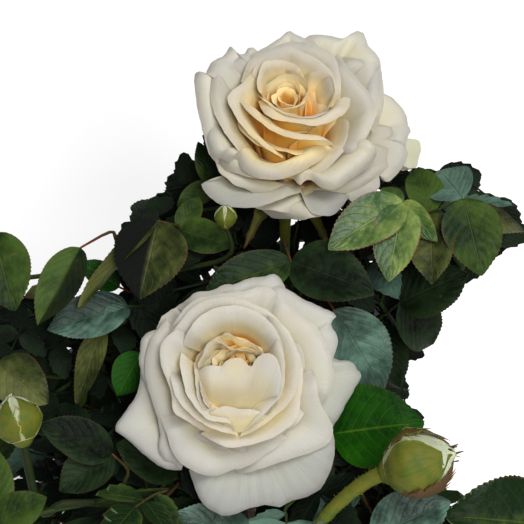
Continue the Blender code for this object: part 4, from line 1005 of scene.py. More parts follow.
@dataclass(frozen=True)
class TracedPetal:
    """A petal whose rim is a line drawn through picture points at heights over the bloom's foot.

    The spots are (picture points from the left, from the top, millimetres over the foot). The sheet rises from the
    root by its bow to that rim. A foot line, where there is one, stands in for the root, and the sheet then bulges
    towards the eye between the two lines.
    """

    spots: Sequence[tuple[float, float, float]]
    bow: Bow = Bow.CUPPED
    roll: Roll | None = None
    root: tuple[float, float] = (3.0, 0.0)
    spread: float = 0.5
    wave: float = 0.32
    glow: float = 0.0
    ragged: float = 0.16
    feet: Sequence[tuple[float, float, float]] = ()
    bulge: float = 5.0
    crease: tuple[float, float, float] = (0.0, 0.0, 0.1)
    crinkle: float = 0.0
    green: float = 0.0
    # How far the petal is greyed by painted shade.
    dim: float = 0.0
    drop: float = 3.5

    def rim_line(self, site: "BloomSite", spots: Sequence[tuple[float, float, float]], across: int) -> Points:
        """Smooth line through the spots in the bloom's frame, at even steps, turning with growing azimuth.

        Both ends drop away from the eye, so that they pass under the petals beside them.
        """
        line = smooth_path(spots, 6)
        far = np.concatenate([[0.0], np.cumsum(np.linalg.norm(np.diff(line, axis=0), axis=1))])
        even = np.linspace(0.0, far[-1], across)
        line = np.stack([np.interp(even, far, line[:, k]) for k in range(3)], -1)
        line[:, 2] -= self.drop * smoothstep(np.abs(np.linspace(-1.0, 1.0, across)), 0.74, 1.0)
        line = site.level(line)
        turned = np.unwrap(np.arctan2(line[:, 1], line[:, 0]))
        return line if turned[-1] > turned[0] else line[::-1]

    def sheet(self, across: int, along: int, seed: int, site: "BloomSite") -> tuple[Points, Points, Points]:
        """The petal's surface.

        Each column leaves the root at an azimuth drawn towards the rim's middle by the spread, follows the bow's
        middle line, turned and scaled to end at the rim, and rolls back beyond the roll's start. What the roll takes
        from the rim is given back between a quarter and nine tenths of the way. Waves of v cubed lift the sheet.

        Args:
            across: Points from side to side.
            along: Points from root to rim.
            seed: Seed of the waves.
            site: The bloom's place, which the spots are drawn on.

        Returns:
            Points in the bloom's frame, along by across by 3, and u and v at them.
        """
        phase = np.random.default_rng(seed).uniform(0.0, 2.0 * math.pi, 8)
        rim = self.rim_line(site, self.spots, across)
        u, v = np.meshgrid(np.linspace(-1.0, 1.0, across), np.linspace(0.0, 1.0, along) ** 0.9)
        span = np.linalg.norm(rim[-1] - rim[0]) / 20.0 + 0.8
        ragged = np.sin(9.0 * u * span + phase[0]) * 0.5 + 0.4 * np.sin(17.0 * u * span + phase[1])
        lift = self.wave * v ** 3 * (0.7 * np.sin(2.4 * span * u + phase[2]) + 0.5 * np.sin(4.3 * span * u + phase[3]))
        lift = lift + self.crinkle * v ** 2 * np.sin(13.0 * span * u + 2.0 * np.sin(5.0 * v + phase[4]))
        if len(self.feet):
            feet = self.rim_line(site, self.feet, across)
            if np.linalg.norm(feet[0] - rim[0]) > np.linalg.norm(feet[-1] - rim[0]):
                feet = feet[::-1]
            swell = 0.5 * (feet + rim) + np.array([0.0, 0.0, self.bulge])
            place = feet * (1 - v[..., None]) ** 2 + 2 * v[..., None] * (1 - v[..., None]) * swell + rim * v[..., None] ** 2
            depth, middle, width = self.crease
            place[..., 2] += depth * np.exp(-((u - middle) / width) ** 2) * np.sin(math.pi * v ** 1.8) + lift
            return place, u, v
        azimuth, radius, height = np.unwrap(np.arctan2(rim[:, 1], rim[:, 0])), np.hypot(rim[:, 0], rim[:, 1]), rim[:, 2]
        foot, floor = self.root
        middle = np.average(azimuth, weights=np.hanning(across + 2)[1:-1])
        start = middle + (azimuth - middle) * self.spread
        share, run, rise, slope = Petal.middle_line(self.bow.value)
        end_run, end_rise = np.interp(1.0, share, run), np.interp(1.0, share, rise)
        chord = np.hypot(radius - foot, height - floor)
        turn = np.arctan2(height - floor, radius - foot) - math.atan2(end_rise, end_run)
        length = chord / math.hypot(end_run, end_rise)
        y, h = v * length, lift
        if self.roll:
            past = np.maximum(y - self.roll.start * length, 0.0)
            bend = np.minimum(past / self.roll.radius, math.radians(self.roll.most))
            rest = past - bend * self.roll.radius
            y = y - past + self.roll.radius * np.sin(bend) + rest * np.cos(bend)
            h = h + self.roll.radius * (1.0 - np.cos(bend)) + rest * np.sin(bend)
        part = y / length
        lean = np.interp(part, share, slope) + turn
        flat, rose = np.interp(part, share, run) * length, np.interp(part, share, rise) * length
        out = foot + flat * np.cos(turn) - rose * np.sin(turn) + h * np.sin(lean)
        up = floor + flat * np.sin(turn) + rose * np.cos(turn) - h * np.cos(lean)
        back = smoothstep(v, 0.25, 0.9)
        edge = self.ragged * ragged * v ** 8
        out = out + (radius - out[-1]) * back + edge
        up = up + (height - up[-1]) * back
        angle = start + (azimuth - start) * v ** 0.7
        return np.stack([out * np.cos(angle), out * np.sin(angle), up], -1), u, v


# Rims of the petals that face the eye in the open bloom, from the outermost inwards
LOWER_RIMS = (
    TracedPetal(bow=Bow.REFLEXED, glow=0.12, roll=Roll(0.9, 3.0, 70.0), spots=(
        (141, 368, 9), (140, 380, 8), (137, 394, 7), (128, 408, 5), (115, 428, 3), (126, 438, 4), (139, 450, 5),
        (152, 461, 5.5), (166, 469, 6), (182, 470, 7))),
    TracedPetal(bow=Bow.REFLEXED, glow=0.05, dim=0.75, roll=Roll(0.94, 3.0, 60.0), crinkle=0.25, spots=(
        (189, 470, 9), (194, 485, 7), (202, 503, 5), (213, 511, 4), (224, 516, 4), (238, 513, 4.5), (250, 508, 5),
        (266, 505, 5), (280, 507, 5), (291, 501, 5), (306, 497, 5.5), (318, 491, 6), (325, 482, 7), (331, 469, 8),
        (335, 450, 9), (333, 433, 10))),
    TracedPetal(bow=Bow.REFLEXED, dim=0.7, green=0.08, glow=0.05, roll=Roll(0.9, 3.0, 80.0), spots=(
        (318, 345, 5), (335, 359, 5), (350, 361, 4), (357, 369, 3), (361, 376, 3), (354, 390, 3.5), (346, 404, 4),
        (338, 419, 5), (328, 433, 6))),
    TracedPetal(bow=Bow.REFLEXED, glow=0.05, roll=Roll(0.88, 3.0, 90.0), spots=(
        (262, 284, 9), (283, 287, 7), (303, 299, 6), (321, 307, 5), (336, 315, 4), (332, 321, 5), (331, 326, 6),
        (337, 335, 6), (337, 347, 6), (332, 362, 7), (331, 375, 8))),
    TracedPetal(bow=Bow.REFLEXED, glow=0.05, roll=Roll(0.9, 3.0, 80.0), spots=(
        (176, 307, 8), (184, 302, 8), (197, 292, 7), (211, 291, 7.5), (223, 285, 7), (235, 284, 7.5), (250, 278, 6),
        (262, 277, 6), (273, 274, 5.5), (281, 279, 6), (286, 290, 8))),
    TracedPetal(bow=Bow.REFLEXED, glow=0, spots=(
        (152, 345, 6), (156, 331, 6), (161, 318, 6), (168, 312, 6), (180, 305, 7))),
    TracedPetal(bow=Bow.REFLEXED, glow=0.1, roll=Roll(0.88, 3.0, 90.0), spots=(
        (166, 318, 11), (157, 329, 10), (149, 332, 9), (142, 338, 9), (140, 350, 9.5), (139, 362, 10),
        (142, 375, 10), (147, 389, 10), (152, 402, 9))),
    TracedPetal(bow=Bow.SPREAD, glow=0.15, roll=Roll(0.9, 4.0, 60.0), spots=(
        (165, 322, 16), (152, 338, 15), (146, 355, 14), (145, 372, 14), (148, 388, 14), (153, 404, 13),
        (158, 420, 12), (160, 436, 11), (158, 450, 9), (166, 462, 9), (180, 468, 9))),
    TracedPetal(bow=Bow.SPREAD, glow=0.25, roll=Roll(0.93, 4.0, 50.0), spots=(
        (160, 417, 17), (166, 432, 16), (170, 446, 14), (175, 457, 12.5), (186, 467, 12), (198, 473, 11.5),
        (211, 476, 11), (222, 474, 11), (232, 470, 11.5), (243, 468, 12), (254, 463, 13), (266, 454, 14),
        (277, 447, 15), (288, 438, 16.5))),
    TracedPetal(bow=Bow.SPREAD, glow=0.2, roll=Roll(0.9, 4.0, 80.0), spots=(
        (268, 290, 17), (280, 296, 16), (291, 304, 15), (300, 314, 14), (312, 322, 13), (321, 334, 12),
        (328, 348, 12), (332, 362, 12), (334, 374, 12), (332, 388, 12), (326, 399, 13), (320, 405, 14))),
    TracedPetal(bow=Bow.SPREAD, glow=0.15, roll=Roll(0.94, 4.0, 50.0), spots=(
        (314, 368, 16), (317, 388, 15), (321, 405, 13.5), (328, 416, 12.5), (333, 428, 11.5), (331, 440, 11),
        (320, 449, 11.5), (303, 455, 12), (284, 461, 12.2), (266, 467, 12), (250, 472, 11), (234, 474, 10))),
    TracedPetal(bow=Bow.SPREAD, glow=0.2, roll=Roll(0.92, 4.0, 70.0), spots=(
        (168, 334, 18), (176, 320, 18), (186, 307, 17), (196, 299, 17), (210, 296, 17), (226, 293, 17),
        (244, 291, 17), (258, 287, 16), (268, 287, 16), (276, 293, 17), (281, 303, 18))),
    TracedPetal(bow=Bow.CUPPED, glow=0.35, roll=Roll(0.94, 3.0, 60.0), spots=(
        (164, 348, 20), (171, 334, 21), (183, 318, 21), (193, 307, 21), (207, 300, 21), (222, 297, 21.5),
        (240, 299, 21.5), (256, 305, 21.5), (270, 312, 21.5), (280, 322, 21.5), (287, 334, 21.5), (292, 348, 21.5))),
    TracedPetal(bow=Bow.CUPPED, glow=0.4, roll=Roll(0.93, 3.0, 70.0), spots=(
        (186, 324, 23), (173, 332, 23), (163, 341, 23), (160, 352, 23), (161, 364, 23), (165, 376, 23),
        (170, 388, 23), (172, 400, 22.5), (174, 413, 22), (184, 419, 21.5), (196, 427, 21), (209, 433, 21))),
    TracedPetal(bow=Bow.CUPPED, glow=0.45, roll=Roll(0.93, 3.0, 70.0), spots=(
        (299, 352, 22), (303, 372, 22), (302, 388, 21.5), (300, 402, 21), (299, 413, 21), (293, 423, 20.5),
        (284, 431, 20), (272, 438, 19.5), (257, 443, 19.5), (240, 447, 19.5), (225, 447, 19.5), (211, 440, 20),
        (200, 434, 20))),
    TracedPetal(bow=Bow.CUPPED, glow=0.6, roll=Roll(0.95, 2.6, 50.0), spots=(
        (262, 312, 24), (277, 320, 24.5), (289, 332, 25), (296, 347, 25), (299, 362, 25), (298, 376, 25),
        (296, 390, 24.5), (290, 402, 24), (280, 412, 23.5), (266, 423, 23.5), (252, 432, 23.5), (240, 437, 23.5))),
    TracedPetal(bow=Bow.CUPPED, glow=0.75, roll=Roll(0.95, 2.6, 50.0), spots=(
        (183, 345, 25), (187, 333, 25), (196, 320, 25.5), (208, 311, 25.5), (224, 306, 26), (240, 306, 26),
        (255, 311, 26), (267, 319, 26), (276, 330, 26), (282, 343, 26), (285, 357, 26))),
    TracedPetal(bow=Bow.CUPPED, glow=0.6, roll=Roll(0.95, 2.6, 50.0), spots=(
        (170, 368, 25), (171, 380, 25), (174, 392, 25), (179, 402, 24.5), (187, 411, 24), (196, 419, 24),
        (207, 426, 24), (219, 431, 24), (231, 434, 24), (238, 436, 24))),
    TracedPetal(bow=Bow.CUPPED, glow=0.75, roll=Roll(0.95, 2.6, 50.0), spots=(
        (181, 352, 27), (180, 366, 27), (183, 380, 27), (186, 393, 26.5), (193, 404, 26.5), (201, 414, 26),
        (211, 421, 26), (223, 422, 26), (232, 425, 26), (235, 431, 25))),
    TracedPetal(bow=Bow.CUPPED, glow=0.8, roll=Roll(0.95, 2.6, 50.0), spots=(
        (270, 332, 26), (279, 342, 27), (284, 355, 27), (285, 370, 27), (284, 384, 27), (280, 396, 26.5),
        (272, 406, 26), (262, 416, 26), (252, 424, 25.5), (244, 429, 25.5))),
    TracedPetal(bow=Bow.TIGHT, glow=0.9, spots=(
        (194, 362, 27), (195, 376, 27), (196, 388, 27), (198, 399, 26.5), (203, 409, 26), (211, 412, 26))),
    TracedPetal(bow=Bow.TIGHT, glow=1, spots=(
        (199, 378, 26), (201, 392, 26), (205, 404, 25.5), (212, 410, 25))),
    TracedPetal(bow=Bow.TIGHT, glow=0.9, wave=0.9, spots=(
        (213, 342, 26), (222, 344, 26.5), (230, 348, 26.5), (235, 349, 26), (243, 347, 26), (252, 349, 26),
        (259, 353, 25.5), (263, 355, 25))),
    TracedPetal(bow=Bow.TIGHT, glow=0.8, wave=0.9, spots=(
        (219, 336, 26), (228, 333, 27), (235, 337, 27), (243, 341, 27), (252, 343, 26.5), (259, 348, 26),
        (263, 354, 25))),
    TracedPetal(bow=Bow.TIGHT, glow=1.15, wave=0.6, spots=(
        (224, 358, 24), (230, 352, 24.5), (240, 350, 25), (250, 351, 25), (258, 354, 24.5))),
    TracedPetal(bow=Bow.TIGHT, glow=0.85, wave=0.8, spots=(
        (197, 372, 26), (199, 362, 27), (204, 352, 27.5), (207, 344, 27.5), (214, 340, 27), (222, 343, 27),
        (231, 348, 26.5))),
    TracedPetal(bow=Bow.TIGHT, glow=0.55, wave=0.2,
        feet=((196, 414, 21), (212, 426, 20), (228, 432, 20), (246, 431, 20), (262, 424, 21), (274, 412, 21)), bulge=1.5, spots=(
        (208, 411, 26.5), (216, 409, 27), (224, 406, 27.5), (232, 407, 27.5), (240, 409, 27.5), (250, 409, 27),
        (258, 411, 26.5), (264, 415, 26))),
    TracedPetal(bow=Bow.TIGHT, glow=0.35, wave=0.15, ragged=0.2,
        feet=((203, 400, 16), (212, 418, 15), (228, 428, 14), (246, 430, 14), (262, 420, 15), (275, 404, 16)), bulge=6, crease=(-1.5, 0.05, 0.16), spots=(
        (197, 378, 26), (200, 370, 26.5), (207, 366, 27), (215, 365, 27), (219, 367, 26.5), (222, 366, 26.5),
        (227, 360, 27), (233, 358, 27), (241, 358, 27), (247, 363, 26), (251, 368, 25), (255, 360, 26),
        (262, 354, 26.5), (268, 353, 27), (275, 356, 27), (279, 364, 27), (281, 375, 27), (281, 390, 26.5),
        (277, 398, 26), (270, 405, 25.5), (263, 413, 25))),
)

# Rims of the petals that face the eye in the high-centred bloom, from the outermost inwards
UPPER_RIMS = (
    TracedPetal(bow=Bow.DROOPED, glow=0, roll=Roll(0.88, 4.0, 80.0), spots=(
        (372, 88, 26), (384, 95, 24), (393, 100, 22), (402, 110, 20), (407, 119, 18), (408, 128, 17),
        (411, 131, 16.5), (408, 136, 17), (406, 146, 17), (403, 158, 16))),
    TracedPetal(bow=Bow.DROOPED, glow=0, green=0.5, spots=(
        (396, 142, 17), (403, 140, 16), (412, 139, 15), (419, 141, 14), (421, 151, 13), (418, 160, 13),
        (417, 167, 12.5), (409, 169, 13), (403, 171, 13.5))),
    TracedPetal(bow=Bow.DROOPED, glow=0.05, roll=Roll(0.9, 4.0, 60.0), spots=(
        (379, 128, 21), (387, 127, 20), (394, 130, 19), (400, 140, 18), (408, 153, 16), (402, 168, 15),
        (395, 176, 14), (388, 182, 14), (381, 178, 15), (374, 166, 17))),
    TracedPetal(bow=Bow.DROOPED, glow=0.05, dim=0.75, roll=Roll(0.92, 4.0, 60.0), spots=(
        (233, 172, 19), (222, 177, 17), (211, 181, 15), (201, 185, 13), (207, 194, 13), (217, 203, 13.5),
        (226, 206, 14), (244, 208, 15), (262, 206, 16), (276, 201, 17), (289, 196, 18), (302, 192, 19))),
    TracedPetal(bow=Bow.DROOPED, glow=0.05, dim=0.8, spots=(
        (298, 186, 18), (302, 195, 16), (306, 205, 14), (312, 213, 13), (324, 216, 13), (335, 214, 13),
        (343, 205, 14), (349, 197, 15), (352, 188, 16))),
    TracedPetal(bow=Bow.DROOPED, glow=0.05, dim=0.45, spots=(
        (342, 190, 17), (348, 198, 15), (355, 204, 14), (364, 205, 14), (371, 199, 14), (378, 189, 15),
        (380, 180, 16), (376, 170, 18), (371, 160, 20))),
    TracedPetal(bow=Bow.DROOPED, glow=0, roll=Roll(0.86, 4.5, 80.0), spots=(
        (222, 166, 22), (213, 160, 24), (207, 148, 26), (203, 132, 28), (199, 116, 30), (196, 100, 32),
        (195, 88, 33), (194, 75, 34), (200, 77, 34.5), (206, 74, 35), (209, 65, 36), (216, 60, 36.5), (223, 57, 37),
        (229, 48, 37), (235, 54, 37.5), (243, 55, 38), (250, 47, 38), (258, 52, 39))),
    TracedPetal(bow=Bow.SPREAD, glow=0.1, roll=Roll(0.9, 4.0, 60.0), spots=(
        (238, 62, 38.5), (250, 55, 39), (262, 49, 39.5), (272, 43, 40), (281, 37, 40), (289, 31, 39.5),
        (297, 35, 40), (306, 39, 40), (316, 44, 40), (326, 50, 40))),
    TracedPetal(bow=Bow.DROOPED, glow=0.1, roll=Roll(0.84, 4.5, 90.0), spots=(
        (300, 44, 38), (308, 38, 37), (320, 37, 37), (333, 39, 37), (345, 42, 37), (354, 38, 36.5), (361, 36, 36),
        (366, 40, 36), (368, 48, 36), (375, 55, 36), (380, 61, 36), (381, 72, 35), (383, 84, 34), (384, 96, 33),
        (383, 108, 31), (379, 122, 29), (374, 134, 27))),
    TracedPetal(bow=Bow.DROOPED, glow=0.1, roll=Roll(0.78, 4.5, 120.0), spots=(
        (286, 178, 22), (293, 179, 22), (300, 185, 21), (306, 180, 22), (313, 181, 21.5), (320, 187, 21),
        (330, 190, 21), (340, 187, 21.5), (350, 180, 22), (362, 172, 23), (373, 162, 24), (377, 153, 26),
        (374, 148, 27), (366, 147, 28))),
    TracedPetal(bow=Bow.SPREAD, glow=0.25, roll=Roll(0.74, 4.0, 120.0), spots=(
        (204, 128, 29), (205, 140, 27), (209, 152, 25), (214, 160, 24), (222, 158, 24), (227, 163, 23.5),
        (232, 160, 24), (237, 158, 24), (240, 166, 23.5), (247, 173, 23), (258, 178, 23), (272, 180, 23),
        (286, 178, 23.5), (299, 173, 24.5), (313, 165, 26), (324, 158, 27.5), (334, 151, 29))),
    TracedPetal(bow=Bow.CUPPED, glow=0.2, roll=Roll(0.88, 4.0, 90.0), spots=(
        (340, 57, 39), (352, 58, 38.5), (366, 61, 38), (380, 67, 36.5), (382, 82, 36), (381, 97, 35), (377, 113, 33),
        (373, 124, 31), (367, 137, 29), (360, 150, 27), (350, 158, 26))),
    TracedPetal(bow=Bow.CUPPED, glow=0.35, roll=Roll(0.9, 3.5, 80.0), spots=(
        (336, 50, 40), (350, 70, 39), (362, 84, 38), (371, 96, 36.5), (376, 112, 34), (371, 127, 32),
        (362, 142, 29.5), (350, 154, 27.5), (338, 160, 26))),
    TracedPetal(bow=Bow.CUPPED, glow=0.3, roll=Roll(0.9, 3.5, 80.0), spots=(
        (262, 50, 40), (246, 56, 39), (228, 60, 38), (214, 65, 37), (211, 80, 36), (210, 95, 35), (213, 110, 33.5),
        (220, 125, 32), (229, 139, 30), (239, 151, 28.5), (249, 160, 27))),
    TracedPetal(bow=Bow.CUPPED, glow=0.5, roll=Roll(0.93, 3.0, 60.0), spots=(
        (262, 62, 41), (252, 72, 41), (242, 83, 40), (233, 90, 39), (227, 98, 38), (231, 108, 37), (237, 119, 36),
        (247, 132, 34), (258, 142, 33), (270, 151, 31.5), (283, 158, 30))),
    TracedPetal(bow=Bow.CUPPED, glow=0.45, roll=Roll(0.92, 3.0, 60.0), spots=(
        (241, 82, 41), (246, 66, 41), (255, 56, 41.5), (268, 50, 41.5), (284, 43, 41.5), (299, 42, 41.5),
        (313, 44, 41.5), (326, 50, 41), (336, 59, 40.5), (340, 75, 40), (341, 92, 39), (339, 106, 38))),
    TracedPetal(bow=Bow.CUPPED, glow=0.8, roll=Roll(0.9, 2.8, 90.0), spots=(
        (236, 98, 39), (243, 106, 38.5), (250, 114, 38), (259, 121, 37.5), (269, 129, 37), (281, 135, 36.5),
        (296, 139, 36.5), (313, 140, 36), (328, 141, 35), (338, 148, 33))),
    TracedPetal(bow=Bow.CUPPED, glow=0.7, roll=Roll(0.95, 2.6, 50.0), spots=(
        (250, 88, 41.5), (252, 74, 42), (258, 62, 42), (268, 54, 42), (280, 49, 42.5), (288, 47, 42.5),
        (300, 51, 42.5), (311, 56, 42), (320, 61, 42), (330, 70, 41.5), (336, 84, 41), (337, 97, 40), (333, 107, 39))),
    TracedPetal(bow=Bow.CUPPED, glow=0.8, roll=Roll(0.88, 2.5, 100.0), spots=(
        (258, 101, 41), (262, 110, 40.5), (269, 117, 40), (281, 121, 39.5), (297, 123, 39.5), (313, 126, 39),
        (328, 123, 39), (341, 116, 39.5), (349, 108, 40), (350, 99, 41))),
    TracedPetal(bow=Bow.TIGHT, glow=0.9, roll=Roll(0.93, 2.2, 80.0), spots=(
        (257, 94, 42), (262, 99, 42), (268, 104, 41.5), (276, 110, 41.5), (288, 115, 41.5), (302, 118, 41),
        (316, 117, 41), (328, 112, 41), (338, 107, 41))),
    TracedPetal(bow=Bow.TIGHT, glow=0.7, roll=Roll(0.95, 2.2, 60.0), spots=(
        (266, 98, 43), (259, 92, 43), (257, 82, 43.5), (259, 72, 44), (264, 62, 44), (276, 60, 44), (290, 62, 44),
        (299, 68, 44), (304, 77, 43.5))),
    TracedPetal(bow=Bow.TIGHT, glow=0.8, spots=(
        (286, 70, 44.5), (295, 71, 44.5), (302, 76, 44), (308, 84, 43.5), (307, 93, 43), (302, 101, 42.5),
        (296, 107, 42))),
    TracedPetal(bow=Bow.TIGHT, glow=0.9, spots=(
        (303, 76, 43), (313, 72, 43), (324, 72, 42.5), (332, 77, 42), (335, 88, 41.5), (333, 99, 41),
        (327, 108, 40.5), (320, 114, 40.5))),
    TracedPetal(bow=Bow.TIGHT, glow=0.8, spots=(
        (262, 90, 43.5), (268, 84, 44.5), (276, 78, 45), (285, 74, 45), (293, 75, 45), (299, 82, 44.5),
        (300, 92, 43.5), (296, 99, 43))),
)


def lower_bloom_petals() -> list[Petal | TracedPetal]:
    """The open bloom that faces the eye: traced petals over parametric ones that close it below and behind."""
    petals: list[Petal | TracedPetal] = list(LOWER_RIMS)
    crumpled = dict(bow=Bow.TIGHT, wave=1.3, waves=3.1, ragged=0.035, rim=Roll(0.86, 2.0, 80.0), wrap=1.2, shoulder=0.15,
                    glow=1.1)
    for row in ((70, 7.5, 22.0, 13), (104, 8.5, 22.5, 15), (84, 10.0, 23.5, 18), (128, 10.0, 24.0, 16)):
        petals.append(Petal(*row, **crumpled))
    nested = dict(rim=Roll(0.94, 2.6, 60.0), wave=0.6, wrap=1.8, shoulder=0.18, spiral=1.4, ragged=0.014, glow=0.9,
                  **corner_rolls(0.90, 0.90, 3.5, 60.0, 38.0))
    for row in ((60, 13.0, 23.0, 30), (-25, 13.5, 23.0, 28), (165, 14.0, 23.0, 30), (-80, 14.5, 19.0, 30), (110, 16.0, 22.0, 32)):
        petals.append(Petal(*row, **nested))
    broad = dict(bow=Bow.SPREAD, rim=Roll(0.95, 5.0, 50.0), wave=0.9, wrap=1.3, shoulder=0.14, spiral=1.0, taper=0.06)
    for row in ((150, 22.0, 13.0, 44), (95, 22.5, 14.0, 44), (40, 23.0, 13.0, 44), (-15, 23.0, 12.0, 44),
                (-70, 22.0, 12.0, 44), (-125, 22.0, 12.0, 44)):
        petals.append(Petal(*row, **broad, **corner_rolls(0.88, 0.88, 5.0, 80.0, 42.0)))
    return petals


def upper_bloom_petals() -> list[Petal | TracedPetal]:
    """The high-centred bloom: traced petals over parametric ones that fill its heart and its far side."""
    petals: list[Petal | TracedPetal] = list(UPPER_RIMS)
    for k in range(5):
        petals.append(Petal(250 + 137.5 * k, 1.4 + 1.0 * k, 41.0 + 0.3 * k, 11 + 3.0 * k, Bow.TIGHT, wrap=2.7,
                            rim=Roll(0.94, 1.4, 60.0), wave=0.3, shoulder=0.1, spiral=1.0, root=(2.0, 5.0), glow=1.0))
    rows = (
        (105, 9.3, 40.0, 28, .92, .92, 1.0, 40), (-100, 9.0, 36.0, 30, .95, .88, 6.0, 70),
        (20, 13.0, 36.0, 32, .92, .90, 1.0, 40), (-92, 13.0, 30.0, 36, .94, .86, 3.0, 70),
        (172, 15.5, 33.0, 36, .88, .86, 1.0, 70), (125, 17.0, 36.5, 38, .90, .90, 1.0, 50),
        (-84, 16.0, 24.0, 42, .90, .86, 2.0, 70), (60, 18.0, 36.0, 42, .90, .92, -1.0, 60),
        (4, 22.0, 30.0, 46, .84, .84, 0.0, 70), (92, 24.5, 35.0, 46, .78, .76, 0.0, 60),
    )
    for azimuth, radius, height, width, left, right, spiral, most in rows:
        petals.append(Petal(azimuth, radius, height, width, rim=Roll(0.92, 3.0, most), wave=0.55, wrap=1.6, shoulder=0.14,
                            spiral=spiral, glow=0.9, **corner_rolls(left, right)))
    outer = ((44, 33.0, 34.0, 46), (128, 27.0, 34.5, 44), (160, 28.5, 28.0, 50), (205, 26.0, 20.0, 44), (-4, 36.0, 18.0, 42),
             (96, 29.0, 33.0, 46), (-60, 29.0, 12.0, 44), (-110, 26.0, 13.0, 44))
    for azimuth, radius, height, width in outer:
        petals.append(Petal(azimuth, radius, height, width, Bow.DROOPED, rim=Roll(0.95, 4.0, 60.0), wave=0.8, wrap=1.15,
                            shoulder=0.10, **corner_rolls(0.8, 0.82, 4.0, 110.0, 42.0)))
    return petals


def back_bloom_petals() -> list[Petal]:
    """The bloom at the back of the crown, half open, its petals in rings that turn by the golden angle."""
    petals = []
    rings = (
        (4, 3.5, 30.0, 14.0, Bow.TIGHT, 2.6, 0.0, 0.3), (5, 8.5, 30.5, 24.0, Bow.TIGHT, 2.0, 1.5, 0.5),
        (6, 14.5, 29.0, 34.0, Bow.CUPPED, 1.8, 1.5, 0.7), (5, 22.0, 25.5, 44.0, Bow.SPREAD, 1.3, 1.0, 0.9),
        (6, 31.5, 12.0, 46.0, Bow.REFLEXED, 1.0, 0.0, 0.8),
    )
    turn = 17.0
    for ring, (count, radius, height, width, bow, wrap, spiral, wave) in enumerate(rings):
        for k in range(count):
            turn += 360.0 / count + (137.5 / count if k == 0 else 0.0)
            wide = 0.80 + 0.02 * ((ring + k) % 4)
            petals.append(Petal(turn, radius + 0.5 * (k % 3), height - 0.6 * (k % 2), width, bow, wrap=wrap, spiral=spiral,
                                wave=wave, shoulder=0.14, point=0.02 if ring == 4 else 0.0,
                                **corner_rolls(wide + 0.08 * (ring < 3), wide + 0.06 * (ring < 3), 4.0, 90.0)))
    return petals


@dataclass(frozen=True)
class BloomSite:
    """Where a bloom stands: its heart and axis, the heart's height over the foot and its stalk's length in mm."""

    axis: tuple[float, float, float]
    lift: float
    stalk: float
    seen_at: tuple[float, float, float] | None = None
    at: tuple[float, float, float] | None = None

    def frame(self) -> tuple[Points, Points]:
        """The bloom's foot, and the matrix whose columns are its right, far and axis directions."""
        axis = unit(self.axis)
        right = unit(EYE_RIGHT - axis * (EYE_RIGHT @ axis))
        heart = seen(*self.seen_at) if self.seen_at else np.array(self.at) * MM
        return heart - axis * self.lift * MM, np.stack([right, np.cross(axis, right), axis], 1)

    def level(self, spots: Points) -> Points:
        """Where the eye's rays through picture points meet the planes at their heights over the foot.

        Args:
            spots: Picture points from the left and from the top, and millimetres over the foot.

        Returns:
            Points in the bloom's frame, in millimetres.
        """
        foot, turn = self.frame()
        size = PHOTO_WIDTH / PHOTO_SIDE
        flat = EYE_RIGHT * (spots[:, :1] - 262.0) * size + EYE_UP * (262.0 - spots[:, 1:2]) * size
        ray = EYE_BACK - flat / PHOTO_DISTANCE
        near = (spots[:, 2] * MM - (AIM + flat - foot) @ turn[:, 2]) / (ray @ turn[:, 2])
        return (AIM + flat + ray * near[:, None] - foot) @ turn / MM

    def stalk_line(self) -> Points:
        """Middle line of the stalk from its foot, where the cane ends, up to the bloom."""
        foot, turn = self.frame()
        axis, length = turn[:, 2], self.stalk * MM
        down = unit(-axis * 0.45 + np.array([0.0, 0.0, -1.0]) * 0.55)
        return curve(foot + down * length - axis * length * 0.1, foot - axis * length * 0.55, foot + axis * 4.0 * MM, 5)


TILT_UPPER = math.radians(13.0)
BLOOM_SITES = {
    "upper_bloom": BloomSite((0.0, -math.sin(TILT_UPPER), math.cos(TILT_UPPER)), 41.0, 30.0, seen_at=(287.0, 97.0, -10.0)),
    "lower_bloom": BloomSite(tuple(EYE_BACK), 27.0, 26.0, seen_at=(238.0, 387.0, 25.0)),
    "back_bloom": BloomSite((0.14, 0.62, 0.77), 30.0, 24.0, at=(24.0, 92.0, 262.0)),
}


@dataclass
class FlowerStalk:
    """Round green stalk with fine bristles."""

    line: Points
    radii: tuple[float, float] = (1.9, 2.3)
    bristles: int = 70
    bristle: float = 0.8
    seed: int = 0

    def grow(self, parts: Gather) -> None:
        """Adds the stalk and its bristles to the gathered surfaces.

        A bristle stands on the stalk at a seeded share and turn, and leans a little towards the flower.
        """
        rng = np.random.default_rng(self.seed)
        path = smooth_path(self.line, 5)
        radii = np.linspace(*self.radii, len(path)) * MM
        points, faces, uv = limb(path, radii, 14, 0.04 * rng.normal(size=(len(path), 14)))
        parts.add(points, faces, uv=uv, brown=rng.uniform(0.0, 0.25), pale=0.1)
        side, other = path_frames(path)
        along = np.gradient(path, axis=0)
        for share, turn, size in zip(rng.uniform(0.02, 0.97, self.bristles), rng.uniform(0, 6.283, self.bristles),
                                     rng.uniform(0.6, 1.2, self.bristles)):
            k = int(share * (len(path) - 1))
            out = math.cos(turn) * side[k] + math.sin(turn) * other[k]
            root = path[k] + out * radii[k] * 0.8
            tip = root + (out + 0.25 * unit(along[k])) * self.bristle * size * MM
            points, faces, uv = limb(np.linspace(root, tip, 3), np.array([0.09, 0.06, 0.02]) * MM, 3)
            parts.add(points, faces, uv=uv, pale=0.5, brown=0.3 * size)


